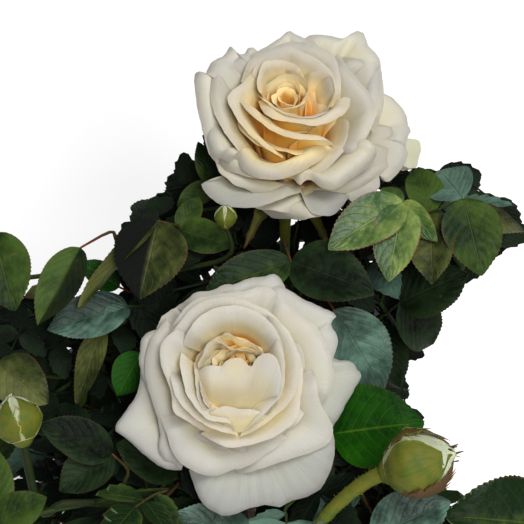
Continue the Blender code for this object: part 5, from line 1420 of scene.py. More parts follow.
@dataclass
class Bloom:
    """A bloom with its petals, hip, sepals and stalk."""

    name: str
    site: BloomSite
    petals: list[Petal | TracedPetal]
    across: int = 31
    along: int = 27
    thickness: float = 0.32
    core: tuple[float, float, float, float] = (0.0, 0.0, 12.0, 0.9)
    warmth: float = 0.0
    sepal_length: float = 25.0
    seed: int = 100

    def sunk(self, grids: Points) -> Points:
        """How deep each point lies among the petals, from 0 at the top of the bloom to 1.4, as painted crevice shade.

        The top is the greatest height in each cell of 1.5 mm, spread to the cells within 3 mm and evened out. A point
        is sunk by its depth below that over 7 mm, little of it towards the outer petals; the bloom's core adds to it.
        """
        every = grids.reshape(-1, 3)
        rows, columns = np.clip((every[:, :2].T / 1.5 + 36.0).astype(int), 3, 68)
        top = np.full((72, 72), -20.0)
        np.maximum.at(top, (rows, columns), every[:, 2])
        for axis in (0, 1):
            top = np.max([np.roll(top, step, axis) for step in range(-2, 3)], axis=0)
        for axis in (0, 1):
            top = np.mean([np.roll(top, step, axis) for step in (-1, 0, 1)], axis=0)
        weight = 1.0 - 0.9 * smoothstep(np.hypot(every[:, 0], every[:, 1]), 12.0, 23.0)
        sunk = np.clip((top[rows, columns] - every[:, 2]) / 7.0, 0.0, 1.4) * weight
        x, y, radius, warmth = self.core
        sunk = sunk + warmth * (1.0 - smoothstep(np.hypot(every[:, 0] - x, every[:, 1] - y), 0.3 * radius, radius))
        return sunk.reshape(grids.shape[:-1])

    def grow_petals(self) -> Gather:
        """All petals as thin closed sheets.

        Depth is a petal's glow times how far a point lies below its rim, full at four tenths of its length, and
        three quarters of how deep it is sunk among the petals, painted shade that turns the crevices gold. The back
        of each sheet is marked, and the sheet thins to a fifth at its margin.
        """
        foot, turn = self.site.frame()
        parts = Gather()
        sheets = []
        for number, petal in enumerate(self.petals):
            place = (self.site,) if isinstance(petal, TracedPetal) else ()
            sheets.append(petal.sheet(self.across, self.along, self.seed + number, *place))
        sunk = self.sunk(np.array([grid for grid, u, v in sheets]))
        for petal, (grid, u, v), low in zip(self.petals, sheets, sunk):
            margin = 1.0 - np.maximum(smoothstep(np.abs(u), 0.72, 1.0), smoothstep(v, 0.72, 1.0))
            points, faces = skin(foot + (grid * MM) @ turn.T, self.thickness * MM * (0.20 + 0.80 * margin))
            folded = isinstance(petal, TracedPetal) and len(petal.feet) > 0
            depth = (0.10 + 0.62 * petal.glow) * np.clip((0.97 - v) / 0.40, 0.0, 1.2) + (0.3 if folded else 0.75) * low
            depth = np.tile(depth.ravel(), 2) + self.warmth
            uv = np.tile(np.stack([u / 2 + 0.5, v], -1).reshape(-1, 2), (2, 1))
            back = np.repeat([1.0, 0.0], u.size)
            parts.add(points, faces, uv=uv, depth=depth, back=back, green=getattr(petal, "green", 0.0),
                      dim=getattr(petal, "dim", 0.0))
        return parts

    def grow_green(self) -> Gather:
        """Hip, sepals and stalk.

        The hip turns a profile round the axis with slight ribs. A sepal is a narrow sheet that leaves the hip, bends
        back and ends in a point, its half-width falling as (1 - t) to the power 0.8, with small side lobes.
        """
        foot, turn = self.site.frame()
        rng = np.random.default_rng(self.seed)
        parts = Gather()
        profile = np.array([(1.9, -8.2), (3.2, -7.2), (4.5, -5.4), (5.0, -3.2), (4.7, -1.0), (4.2, 1.0), (2.0, 2.6)])
        profile = smooth_path(np.column_stack([profile, np.zeros(len(profile))]), 4)[:, :2]
        turns = 2.0 * math.pi * np.arange(30) / 30
        radii = profile[:, :1] * (1.0 + 0.015 * np.cos(5.0 * turns))
        grid = np.stack([radii * np.cos(turns), radii * np.sin(turns), np.broadcast_to(profile[:, 1:], radii.shape)], -1)
        uv = np.stack([np.broadcast_to(turns / 6.283, radii.shape), np.broadcast_to(profile[:, 1:], radii.shape) * 0.1], -1)
        parts.add(foot + (grid.reshape(-1, 3) * MM) @ turn.T, grid_quads(len(profile), 30, closed=True), uv=uv, pale=0.05)
        for k in range(5):
            t, u = np.meshgrid(np.linspace(0.0, 1.0, 19), np.linspace(-1.0, 1.0, 7), indexing="ij")
            lobes = 1.0 + 0.55 * np.maximum(0.0, np.sin(t * 21.0 + k)) ** 4 * np.abs(u) * smoothstep(t, 0.12, 0.3)
            half = 3.6 * (1.0 - t) ** 0.8 * lobes + 0.12
            run = 3.0 + self.sepal_length * 0.92 * t
            rise = -1.5 - 3.0 * t - rng.uniform(9.0, 13.0) * t ** 2.2 + 0.7 * u ** 2 + 0.5 * np.sin(9.0 * t + k)
            angle = math.radians(72.0 * k + 20.0)
            x = run * math.cos(angle) - u * half * math.sin(angle)
            y = run * math.sin(angle) + u * half * math.cos(angle)
            points, faces = skin(foot + (np.stack([x, y, rise], -1) * MM) @ turn.T, 0.45 * MM * (1.0 - 0.6 * t))
            uv = np.tile(np.stack([u / 2 + 0.5, t], -1).reshape(-1, 2), (2, 1))
            brown = np.tile((0.55 * t + 0.35 * np.abs(u) ** 3).ravel(), 2)
            parts.add(points, faces, uv=uv, brown=brown, pale=np.repeat([0.0, 0.35], u.size))
        FlowerStalk(self.site.stalk_line(), seed=self.seed).grow(parts)
        return parts

    def build(self, petal: bpy.types.Material, green: bpy.types.Material) -> None:
        """Makes both pieces in place of the bloom's solid."""
        short = self.name.split("_")[0]
        hand_over(self.grow_petals().piece("blossom_" + short, [petal]), "petals", self.name)
        hand_over(self.grow_green().piece("calyx_" + short, [green]), "bud_green", self.name)


@dataclass(frozen=True)
class Sepal:
    """Sepal of a closed bud: azimuth, half-width in degrees, length as a share, lift in radii, tints, torn lobes."""

    azimuth: float
    half_width: float
    length: float
    lift: float
    brown: float
    pale: float
    torn: int = 0
    blunt: float = 1.8


BUD_PROFILE = ((-0.16, 0.10), (-0.13, 0.34), (0.0, 0.50), (0.16, 0.80), (0.40, 1.0), (0.66, 0.86), (0.88, 0.46), (1.0, 0.04))


def bud_body(base: Points, tip: Points, radius: float) -> tuple[Points, list[tuple[int, ...]]]:
    """Vertices and faces of an egg-shaped bud on its hip, as the solids have it."""
    axis, length = unit(tip - base), np.linalg.norm(tip - base)
    rings = np.array([(0.34, -0.13), (0.50, 0.0), (0.80, 0.16), (1.0, 0.40), (0.86, 0.66), (0.46, 0.88)])
    turns = 2.0 * math.pi * np.arange(10) / 10
    flat = rings[:, :1] * radius
    points = np.stack([flat * np.cos(turns), flat * np.sin(turns), np.broadcast_to(rings[:, 1:] * length, (6, 10))], -1)
    points = np.concatenate([[[0.0, 0.0, -0.16 * length]], points.reshape(-1, 3), [[0.0, 0.0, length]]])
    faces = [tuple(quad) for quad in grid_quads(6, 10, closed=True) + 1]
    for k in range(10):
        faces.append((0, 1 + (k + 1) % 10, 1 + k))
        faces.append((51 + k, 51 + (k + 1) % 10, 61))
    side = unit(np.cross(axis, [0.0, 0.3, 1.0]))
    return base + points @ np.stack([side, np.cross(axis, side), axis], 1).T, faces


@dataclass
class Bud:
    """A closed bud: wrapped petals, five sepals and a hip."""

    base: Points
    tip: Points
    radius: float
    sepals: Sequence[Sepal]
    up: tuple[float, float, float] = (0.0, 0.0, 1.0)
    seed: int = 7

    def frame(self) -> tuple[Points, float]:
        """Matrix whose columns are the side, upper and axis directions, and the length."""
        axis = unit(self.tip - self.base)
        side = unit(np.cross(axis, self.up))
        return np.stack([side, np.cross(side, axis) * -1.0, axis], 1), float(np.linalg.norm(self.tip - self.base))

    def girth(self, z: Points) -> Points:
        """Radius as a share of the greatest at height z, a share of the length."""
        heights, radii = zip(*BUD_PROFILE)
        fine = np.linspace(heights[0], heights[-1], 60)
        soft = np.convolve(np.pad(np.interp(fine, heights, radii), 4, mode="edge"), np.hanning(9) / 4.0, "valid")
        return np.interp(z, fine, soft)

    def place(self, turn: Points, x: Points, y: Points, z: Points) -> Points:
        """Points in space of the bud's own x, y and z."""
        return self.base + np.stack([x, y, z], -1) @ turn.T

    def grow(self, petals: Gather, green: Gather) -> None:
        """Adds the wrapped petals to one set of surfaces, and the hip and sepals to the other.

        Petal k spans 250 degrees about the axis at 0.93 to 0.99 of the bud's girth, spiralling outwards by 0.05 from
        one margin to the other. A sepal follows the girth, its half-width falling as (1 - s^blunt) to the power 0.8,
        and stands off by its lift times s squared; its margin is torn into as many lobes as it has.
        """
        turn, length = self.frame()
        rng = np.random.default_rng(self.seed)
        for k in range(4):
            v, u = np.meshgrid(np.linspace(0.0, 1.0, 22), np.linspace(-1.0, 1.0, 34), indexing="ij")
            top = 1.03 - 0.10 * np.abs(u) ** 3 - 0.03 * k + 0.012 * np.sin(7.0 * u + k)
            z = v * top
            angle = math.radians(100.0 * k + 30.0) + u * math.radians(125.0)
            r = self.radius * (self.girth(z) * (0.93 + 0.015 * k + 0.03 * u) + 0.03 * smoothstep(v, 0.8, 1.0) * (1.0 + u))
            grid = self.place(turn, r * np.cos(angle), r * np.sin(angle), z * length)
            points, faces = skin(grid, 0.3 * MM)
            uv = np.tile(np.stack([u / 2 + 0.5, v], -1).reshape(-1, 2), (2, 1))
            petals.add(points, faces, uv=uv, depth=0.1, back=1.0, green=np.tile((1.15 - 0.5 * v).ravel(), 2))
        heights = np.linspace(-0.16, 0.2, 12)
        turns = 2.0 * math.pi * np.arange(26) / 26
        r = self.radius * 0.97 * self.girth(heights)[:, None] * (1.0 + 0.02 * np.cos(5.0 * turns))
        hip = self.place(turn, r * np.cos(turns), r * np.sin(turns), np.broadcast_to(heights[:, None] * length, r.shape))
        green.add(hip, grid_quads(12, 26, closed=True), pale=0.05, brown=0.1)
        for k, sepal in enumerate(self.sepals):
            s, u = np.meshgrid(np.linspace(0.0, 1.0, 24), np.linspace(-1.0, 1.0, 15), indexing="ij")
            z = 0.02 + s * sepal.length
            torn = 0.10 * np.sin(31.0 * s + 4.0 * k) + 0.14 * np.sin(57.0 * s + k)
            torn = 1.0 + torn * np.abs(u) ** 4 * min(1.0, 0.12 + 0.2 * sepal.torn)
            half = math.radians(sepal.half_width) * (1.0 - s ** sepal.blunt) ** 0.8 * (0.6 + 0.4 * smoothstep(s, 0.0, 0.3)) * torn
            half = half + 0.02
            inner = np.maximum(self.girth(np.minimum(z, 0.97)), 0.16)
            angle = math.radians(sepal.azimuth) + u * half + 0.06 * np.sin(5.0 * s + k)
            off = 1.0 + 0.05 + sepal.lift * s ** 2 / np.maximum(inner, 0.3) + 0.03 * np.sin(6.0 * s + 2.0 * u + k)
            r = self.radius * inner * (off + 0.03 * np.abs(u) ** 2)
            grid = self.place(turn, r * np.cos(angle), r * np.sin(angle), z * length * (1.0 - 0.10 * sepal.lift * s))
            points, faces = skin(grid, 0.5 * MM * (1.0 - 0.7 * np.abs(u) ** 2))
            uv = np.tile(np.stack([u / 2 + 0.5, s], -1).reshape(-1, 2), (2, 1))
            rim = smoothstep(np.abs(u), 0.86, 1.0)
            brown = np.tile((sepal.brown + 0.30 * smoothstep(s, 0.6, 1.0)).ravel(), 2)
            pale = np.tile((sepal.pale + 0.75 * rim * (1.0 - 0.5 * s)).ravel(), 2)
            green.add(points, faces, uv=uv, brown=brown, pale=pale)
            for side in (-1, 1):
                for share in rng.uniform(0.25, 0.92, sepal.torn):
                    row = int(share * 23)
                    root, before = grid[row, 0 if side < 0 else -1], grid[row, 3 if side < 0 else -4]
                    ahead = unit(grid[min(row + 1, 23), 7] - grid[row - 1, 7])
                    out = unit(unit(root - before) + ahead * 1.2 + turn[:, 2] * 0.4)
                    size = rng.uniform(0.10, 0.30) * self.radius
                    line = curve(root - out * size * 0.3, root + out * size * 0.6, root + out * size + ahead * size * 0.5, 4)
                    points, faces, uv = limb(line, np.array([0.30, 0.24, 0.15, 0.04]) * MM * self.radius / 0.0105, 4)
                    green.add(points, faces, uv=uv, brown=sepal.brown * 0.7 + 0.1, pale=0.4)


# Leaves and the rule that the crown grows by

@dataclass(frozen=True)
class Leaflet:
    """One leaflet: joint of its stalk, base, direction, facing, length and width share."""

    joint: int
    base: Points
    direction: Points
    facing: Points
    length: float
    share: float
    tone: Tone | None = None
    # Strength of a painted shadow over one half of the leaflet, its sign choosing the half.
    split: float = 0.0

    def frame(self) -> tuple[Points, Points, Points]:
        """Its directions along, across and up."""
        along = unit(self.direction)
        up = unit(self.facing - along * (self.facing @ along))
        return along, np.cross(along, up), up

    def swollen(self) -> tuple[Points, list[tuple[int, ...]]]:
        """The leaflet as the solids have it but thicker and on its own, to feel for whatever lies near it."""
        along, side, up = self.frame()
        half, thick = 0.5 * self.share * self.length, LEAFLET_THICK + 1.0 * MM
        x, y = np.array(LEAFLET_OUTLINE).T[:, :, None]
        rim = self.base + along * y * self.length + side * x * half
        rim = rim + up * (np.abs(x) * half * LEAFLET_FOLD - LEAFLET_DROOP * self.length * y * y)
        middle = self.base + along * 0.46 * self.length - up * 0.02 * self.length
        ring = (7, 0, 1, 2, 3, 4)
        faces = [(5, a, b) for a, b in zip(ring, ring[1:] + ring[:1])] + [(6, b, a) for a, b in zip(ring, ring[1:] + ring[:1])]
        return np.concatenate([rim, [middle + up * thick / 2, middle - up * thick / 2, self.base]]), faces


class Detail(Enum):
    """How finely a leaflet is cut: teeth a side, columns above and points across beneath."""

    CLOSE = (22, 11, 3)
    PLAIN = (9, 5, 1)
    SMALL = (5, 3, 1)


def leaflet_surface(leaflet: Leaflet, detail: Detail, rng: np.random.Generator) -> tuple[Points, list[np.ndarray], Points, Points]:
    """A leaflet in its own toothed outline, closed, with its lower side close under the upper.

    With u across and t along, the half-width is half sin(pi t^0.8)^0.62 less a quarter near the tip. The height is
    fold |x| - droop t^2 plus slow waves at the margin. Every second row is pushed out and forward at the rim, which
    makes the teeth. The two sides part by a third of a millimetre in the middle and meet at the rim.

    Args:
        leaflet: Where it is.
        detail: How finely it is cut.
        rng: Source of its own bend, twist and waves.

    Returns:
        Points, faces, UV and 1 for the points beneath.
    """
    teeth, above, beneath = detail.value
    rows = 2 * teeth + 1
    t = (np.arange(rows) / (rows - 1))[:, None]
    u = np.linspace(-1.0, 1.0, above)
    u = np.sign(u) * np.abs(u) ** 0.85
    low = np.linspace(0.9, -0.9, beneath + 2)[1:-1]
    u = np.concatenate([u, low])[None, :] + 0.0 * t
    under = np.concatenate([np.zeros(above), np.ones(beneath)])[None, :] + 0.0 * t
    bend, twist, wave, curl = rng.uniform(-1.0, 1.0, 4)
    width = np.sin(math.pi * np.clip(t, 0.002, 0.998) ** 0.8) ** 0.62 * (1.0 - 0.25 * smoothstep(t, 0.75, 1.0))
    width = np.maximum(width, 0.02) * (1.0 + 0.02 * np.sin(7.0 * t + 5.0 * bend) * np.sign(u))
    tooth = np.where(np.arange(rows) % 2 == 1, 1.0, -0.35)[:, None] * np.abs(u) ** 8 * np.minimum(1.0, 8 * t * (1 - t))
    half = 0.5 * leaflet.share * leaflet.length
    x = u * width * half * (1.0 + 0.9 / rows * tooth)
    y = leaflet.length * (t + 0.62 / (rows - 1) * np.maximum(tooth, 0.0))
    lift = np.abs(x) * LEAFLET_FOLD * (1.0 + 0.5 * wave * t) - LEAFLET_DROOP * leaflet.length * t * t
    lift = lift + 0.018 * leaflet.length * np.sin(7.0 * t + 3.0 * wave + 1.5 * u) * u * u * np.minimum(1.0, 4.0 * t)
    lift = lift - 0.05 * leaflet.length * curl * smoothstep(t, 0.72, 1.0) + 0.06 * twist * x * t
    x = x + 0.035 * leaflet.length * bend * t * (1.0 - 0.4 * t)
    lift = lift + (0.5 - under) * 0.34 * MM * (1.0 - u ** 2) * np.minimum(1.0, 12.0 * t * (1.0 - t))
    along, side, up = leaflet.frame()
    points = leaflet.base + y[..., None] * along + x[..., None] * side + lift[..., None] * up
    ring = above + beneath
    caps = np.stack([np.arange(ring)[::-1], np.arange(ring) + (rows - 1) * ring])
    uv = np.stack([0.5 + 0.5 * u, t + 0.0 * u], -1)
    return points.reshape(-1, 3), [grid_quads(rows, ring, closed=True), caps], uv.reshape(-1, 2), under.ravel()


def seeded_leaf(rng: np.random.Generator, hub: Points, heading: Points, facing: Points,
                size: float) -> tuple[list[Points], list[Leaflet], Points]:
    """Joints, five leaflets and facing of a leaf whose last joint is the hub."""
    heading = unit(heading)
    facing = unit(facing - heading * (facing @ heading))
    side = np.cross(heading, facing)
    long = 34.0 * MM * size
    joints = [hub - heading * long - facing * 4.5 * MM, hub - heading * long * 0.60 - facing * 1.6 * MM,
              hub - heading * long * 0.24 - facing * 0.3 * MM, hub]
    leaflets = [Leaflet(3, hub, heading - 0.12 * facing + 0.12 * rng.uniform(-1, 1) * side, facing,
                        LEAFLET_LENGTH * size, LEAFLET_WIDTH)]
    for joint, share, lean in ((2, 0.86, 0.40), (1, 0.74, 0.30)):
        for way in (-1.0, 1.0):
            aim = way * side + (lean + rng.uniform(-0.12, 0.12)) * heading - rng.uniform(0.0, 0.25) * facing
            tilt = facing + way * side * rng.uniform(-0.25, 0.15)
            leaflets.append(Leaflet(joint, joints[joint], aim, tilt, LEAFLET_LENGTH * size * share, LEAFLET_WIDTH * 0.92))
    return joints, leaflets, facing


def photo_leaf(joints: Sequence[Any], leaflets: Sequence[Any]) -> tuple[list[Points], list[Leaflet]]:
    """Joints and leaflets of a leaf measured in the photograph."""
    points = [seen(*joint) for joint in joints]
    towards_eye = unit(EYE_BACK * 0.75 + np.array([0.0, 0.0, 0.45]))
    parts = []
    for joint, tip, share, roll, *looks in leaflets:
        direction = seen(*tip) - points[joint]
        along = unit(direction)
        facing = unit(towards_eye - along * (towards_eye @ along))
        angle = math.radians(roll)
        facing = math.cos(angle) * facing + math.sin(angle) * np.cross(along, facing)
        parts.append(Leaflet(joint, points[joint], direction, facing, float(np.linalg.norm(direction)), share, *looks))
    return points, parts


class Shell:
    """A slightly swollen leaflet, twig or limb, to tell whether another would touch it."""

    def __init__(self, owner: str, points: Points, faces: Sequence[Any], twig: bool = False) -> None:
        """Builds its tree of faces."""
        self.owner = owner
        self.twig = twig
        self.middle = points.mean(axis=0)
        self.reach = float(np.linalg.norm(points - self.middle, axis=1).max())
        self.tree = BVHTree.FromPolygons([tuple(p) for p in points], faces)


class Space:
    """Where leaves may be: their mass's own cell, clear of limbs, blooms, pot and open sky.

    Seeded leaves also hide nothing that the photograph shows.
    """

    def __init__(self, limbs: list[tuple[Points, Points]], rooms: list[tuple[Points, Points]]) -> None:
        """Takes the limbs as lines and radii, and the blooms as feet and frames."""
        self.limbs = limbs
        self.rooms = rooms
        self.shells: list[Shell] = []
        self.spots = np.zeros((0, 4))
        self.nearest = np.full((CELLS, CELLS), -1.0)
        self.filled = np.zeros((CELLS, CELLS), bool)
        self.strict = False
        self.loose = False
        self.names = list(MASSES)
        self.middles = np.array(list(MASSES.values())) * MM

    def occupy(self, *shells: Shell) -> None:
        """Takes in shells that later ones must not touch."""
        self.shells += shells
        self.spots = np.concatenate([self.spots, [[*shell.middle, shell.reach] for shell in shells]])

    def owner(self, point: Points) -> str:
        """The mass whose middle is nearest."""
        return self.names[int(np.argmin(np.linalg.norm(self.middles - point, axis=1)))]

    def in_cell(self, points: Points, name: str) -> bool:
        """Whether the points keep to that mass's cell, but for the slack at its borders."""
        own = self.middles[self.names.index(name)]
        rest = self.middles[np.linalg.norm(self.middles - own, axis=1) > 1e-6]
        ways = (rest - own) / np.linalg.norm(rest - own, axis=1)[:, None]
        past = points @ ways.T - ((rest + own) / 2 * ways).sum(axis=1)
        return not np.any(past > BORDER_SLACK)

    def untouched(self, shell: Shell) -> bool:
        """Whether it touches nothing but twigs of its own mass, where it is a twig or the space is loose."""
        near = np.linalg.norm(self.spots[:, :3] - shell.middle, axis=1) <= self.spots[:, 3] + shell.reach
        for k in np.flatnonzero(near):
            other = self.shells[k]
            own_twig = other.owner == shell.owner and other.twig and (shell.twig or self.loose)
            if not own_twig and shell.tree.overlap(other.tree):
                return False
        return True

    def clear(self, points: Points, spare: float = 0.6 * MM) -> bool:
        """Whether the points keep off the pot, the compost, the blooms' hearts and the limbs."""
        over_pot = np.hypot(points[:, 0], points[:, 1]) < POT_RIM_RADIUS + 4 * MM
        if np.any((points[:, 2] < POT_HEIGHT + 3.0 * MM) & over_pot) or np.any(points[:, 2] < SOIL_LEVEL + 4.0 * MM):
            return False
        heights, radii = zip(*BLOOM_ROOM)
        for foot, turn in self.rooms:
            rest = (points - foot) @ turn / MM
            room = np.interp(rest[:, 2], heights, radii, left=0.0, right=0.0)
            if np.any(np.hypot(rest[:, 0], rest[:, 1]) < room):
                return False
        for line, girths in self.limbs:
            spans = line[1:] - line[:-1]
            rest = points[:, None] - line[:-1]
            share = np.clip((rest * spans).sum(-1) / (spans * spans).sum(-1), 0.0, 1.0)
            gap = np.linalg.norm(rest - share[..., None] * spans, axis=-1)
            if np.any(gap < np.maximum(girths[:-1], girths[1:]) + spare):
                return False
        return True

    def cells(self, points: Points) -> tuple[np.ndarray, np.ndarray, Points]:
        """Row and column of each point's cell of the picture, and its distance towards the eye."""
        across, down = picture(points)
        place = np.clip(np.stack([down, across]) / PHOTO_SIDE * (CELLS - 4) + 2, 0, CELLS - 1).astype(int)
        return place[0], place[1], (points - AIM) @ EYE_BACK + 1.0

    def fill_cells(self, points: Points, faces: Sequence[Any], keep: bool) -> None:
        """Notes the cells of the picture that these faces fill, at 45 evenly spread points of each triangle.

        Args:
            points: Their corners.
            faces: Corner numbers of each.
            keep: Whether nothing may hide them later.
        """
        weights = np.array([(a, b, 8 - a - b) for a in range(9) for b in range(9 - a)]) / 8.0
        triangles = np.array([(face[0], b, c) for face in faces for b, c in zip(face[1:], face[2:])])
        rows, columns, near = self.cells((weights @ points[triangles]).reshape(-1, 3))
        self.filled[rows, columns] = True
        if keep:
            np.maximum.at(self.nearest, (rows, columns), near)

    def bare(self) -> list[tuple[float, float]]:
        """Middles of the picture's cells that nothing fills though the photograph has no white there."""
        step = PHOTO_SIDE / (CELLS - 4)
        spots = [((column - 1.5) * step, (row - 1.5) * step) for row, column in np.argwhere(~self.filled[2:-2, 2:-2]) + 2]
        return [(x, y) for x, y in spots
                if not any(left < x < right and top < y < bottom for left, top, right, bottom in OPEN_SKY)]

    def in_front(self, points: Points) -> bool:
        """Whether any point would hide what the photograph shows."""
        rows, columns, near = self.cells(points)
        inside = (rows > 1) & (rows < CELLS - 2) & (columns > 1) & (columns < CELLS - 2)
        shown = self.nearest[rows, columns]
        return bool(np.any(inside & (shown > 0.0) & (near > shown - 3.0 * MM)))

    def under_sky(self, points: Points, spare: float = 0.0) -> bool:
        """Whether any point is seen where the photograph is white, or less than that many picture points from it."""
        across, down = picture(points)
        return any(np.any((across > left - spare) & (across < right + spare) & (down > top - spare) & (down < bottom + spare))
                   for left, top, right, bottom in OPEN_SKY)


@dataclass
class Spray:
    """A grown leaf: its twig's path, the leaflets that found room, and its looks."""

    path: Points
    leaflets: list[Leaflet]
    tone: Tone
    detail: Detail


class LeafMass:
    """One leaf mass growing from its stem: leaves join the nearest twig that reaches them clear of everything."""

    def __init__(self, name: str, stem: Points, space: Space) -> None:
        """Starts with the stem alone."""
        self.name = name
        self.stem = stem
        self.space = space
        self.nodes = [point for point in stem[1:]]
        self.sprays: list[Spray] = []
        self.buds: list[tuple[Points, Points, Points, float]] = []
        space.occupy(Shell(name, *tube(stem, 2.2 * MM, 4), twig=True))

    def twig(self, joints: Sequence[Points], free: bool) -> tuple[Points, Shell] | None:
        """Path from the best of the mass's nodes through the joints, if one is clear.

        Args:
            joints: Where it has to pass.
            free: Whether it may leave the mass's cell.

        Returns:
            The path and its shell, or nothing.
        """
        root = np.asarray(joints[0])
        costs = [np.linalg.norm(root - node) + 0.25 * np.linalg.norm(node - self.stem[0]) for node in self.nodes]
        for pick in np.argsort(costs)[:8]:
            node = self.nodes[pick]
            gap = np.linalg.norm(root - node)
            bend = (node + root) / 2 + unit(node - self.stem[0]) * gap * 0.12 + np.array([0.0, 0.0, gap * 0.06])
            sunk = node - unit(bend - node) * 0.5 * MM
            path = np.array([sunk, bend] + [np.asarray(joint) for joint in joints])
            fine = np.concatenate([a + (b - a) * np.linspace(0, 1, 8)[:, None] for a, b in zip(path[:-1], path[1:])])
            if not free and (not self.space.in_cell(fine, self.name) or self.space.in_front(fine)):
                continue
            if self.space.strict and self.space.under_sky(fine, 4.0):
                continue
            thin = 0.5 if self.space.loose else 1.0
            if not self.space.clear(fine, 1.7 * MM * thin):
                continue
            shell = Shell(self.name, *tube(path, 1.5 * MM * thin, 3), twig=True)
            if self.space.untouched(shell):
                return path, shell
        return None

    def add_bud(self, base: Points, tip: Points, radius: float) -> None:
        """Grows one bud on a twig of its own."""
        points, faces = bud_body(base, tip, radius)
        under = base - unit(tip - base) * radius * 2.2 - np.array([0.0, 0.0, radius * 1.2])
        found = self.twig([under, base + (tip - base) * 0.1], True)
        if found is not None and self.space.untouched(Shell(self.name, points, faces)):
            self.space.occupy(found[1], Shell(self.name, base + (points - base) * 1.15, faces))
            self.space.fill_cells(points, faces, True)
            self.buds.append((found[0], base, tip, radius))

    def add(self, joints: Sequence[Points], leaflets: Sequence[Leaflet], least: int, tone: Tone, detail: Detail,
            free: bool = False) -> list[Points]:
        """Grows one leaf where it finds room.

        Args:
            joints: Joints of its stalk.
            leaflets: Leaflets at them.
            least: Fewest leaflets that make a leaf.
            tone: Its colour.
            detail: How finely it is cut.
            free: Whether it may leave the mass's cell and stand before open sky.

        Returns:
            Middles of the leaflets that grew.
        """
        found = self.twig(joints, free)
        if found is None:
            return []
        kept = []
        for part in leaflets:
            points, faces = part.swollen()
            middle = points.mean(axis=0)
            inside = np.concatenate([points] + [middle + (points - middle) * share for share in (0.33, 0.66)])
            if not free and (not self.space.in_cell(points, self.name) or self.space.under_sky(points)
                             or self.space.in_front(inside)):
                continue
            shell = Shell(self.name, points, faces)
            if self.space.clear(inside) and self.space.untouched(shell):
                kept.append((part, shell, points[:5].mean(axis=0)))
        if len(kept) < least:
            return []
        path = found[0][:max(part.joint for part, shell, centre in kept) + 3]
        self.space.occupy(Shell(self.name, *tube(path, 1.5 * MM, 3), twig=True))
        self.nodes.append(path[1])
        self.sprays.append(Spray(path, [part for part, shell, centre in kept], tone, detail))
        for part, shell, centre in kept:
            self.space.occupy(shell)
            points, faces = part.swollen()
            self.space.fill_cells(centre + (points - centre) * (1.0 if free else 0.8), faces, free)
        return [centre for part, shell, centre in kept]

    def leaf_surfaces(self, seed: int) -> Gather:
        """All leaflets of the mass, cut out and tinted one by one."""
        rng = np.random.default_rng(seed)
        parts = Gather()
        for spray in self.sprays:
            shade = rng.uniform(-0.5, 0.5)
            for leaflet in spray.leaflets:
                points, faces, uv, under = leaflet_surface(leaflet, spray.detail, rng)
                tint = shade + rng.uniform(-0.45, 0.45)
                parts.add(points, faces, (leaflet.tone or spray.tone).value, uv, under=under, tint=tint,
                          split=leaflet.split)
        return parts

    def twig_surfaces(self, seed: int) -> Gather:
        """The mass's stem, its twigs and its leaf stalks, thinning to each leaf, with stipules at the leaf's foot."""
        rng = np.random.default_rng(seed)
        parts = Gather()
        path = smooth_path(self.stem, 6)
        points, faces, uv = limb(path, np.linspace(1.75, 1.3, len(path)) * MM, 10)
        parts.add(points, faces, uv=uv, flush=0.1)
        for spray in self.sprays:
            fine = 3 if spray.detail is Detail.CLOSE else 2
            path = smooth_path(spray.path, fine)
            radii = np.linspace(0.9, 0.36, len(path)) * MM * (0.8 if spray.detail is Detail.SMALL else 1.0)
            flush = 0.85 if spray.tone in (Tone.YOUNG, Tone.VIVID) else rng.uniform(0.1, 0.8)
            # Twigs of shade-tone sprays are painted near black as shade.
            dark = 1.0 if spray.tone is Tone.SHADE else 0.0
            share = np.repeat(np.linspace(0.0, 1.0, len(path) + 2), 6 if fine == 3 else 5)
            points, faces, uv = limb(path, radii, 6 if fine == 3 else 5)
            parts.add(points, faces, uv=uv, flush=flush * share, dark=dark)
        for path, base, tip, radius in self.buds:
            line = smooth_path(path, 5)
            points, faces, uv = limb(line, np.linspace(1.2, 0.20 * radius / MM, len(line)) * MM, 10)
            # Bud twigs are half darkened as painted shade.
            parts.add(points, faces, uv=uv, flush=0.15, dark=0.5)
        return parts


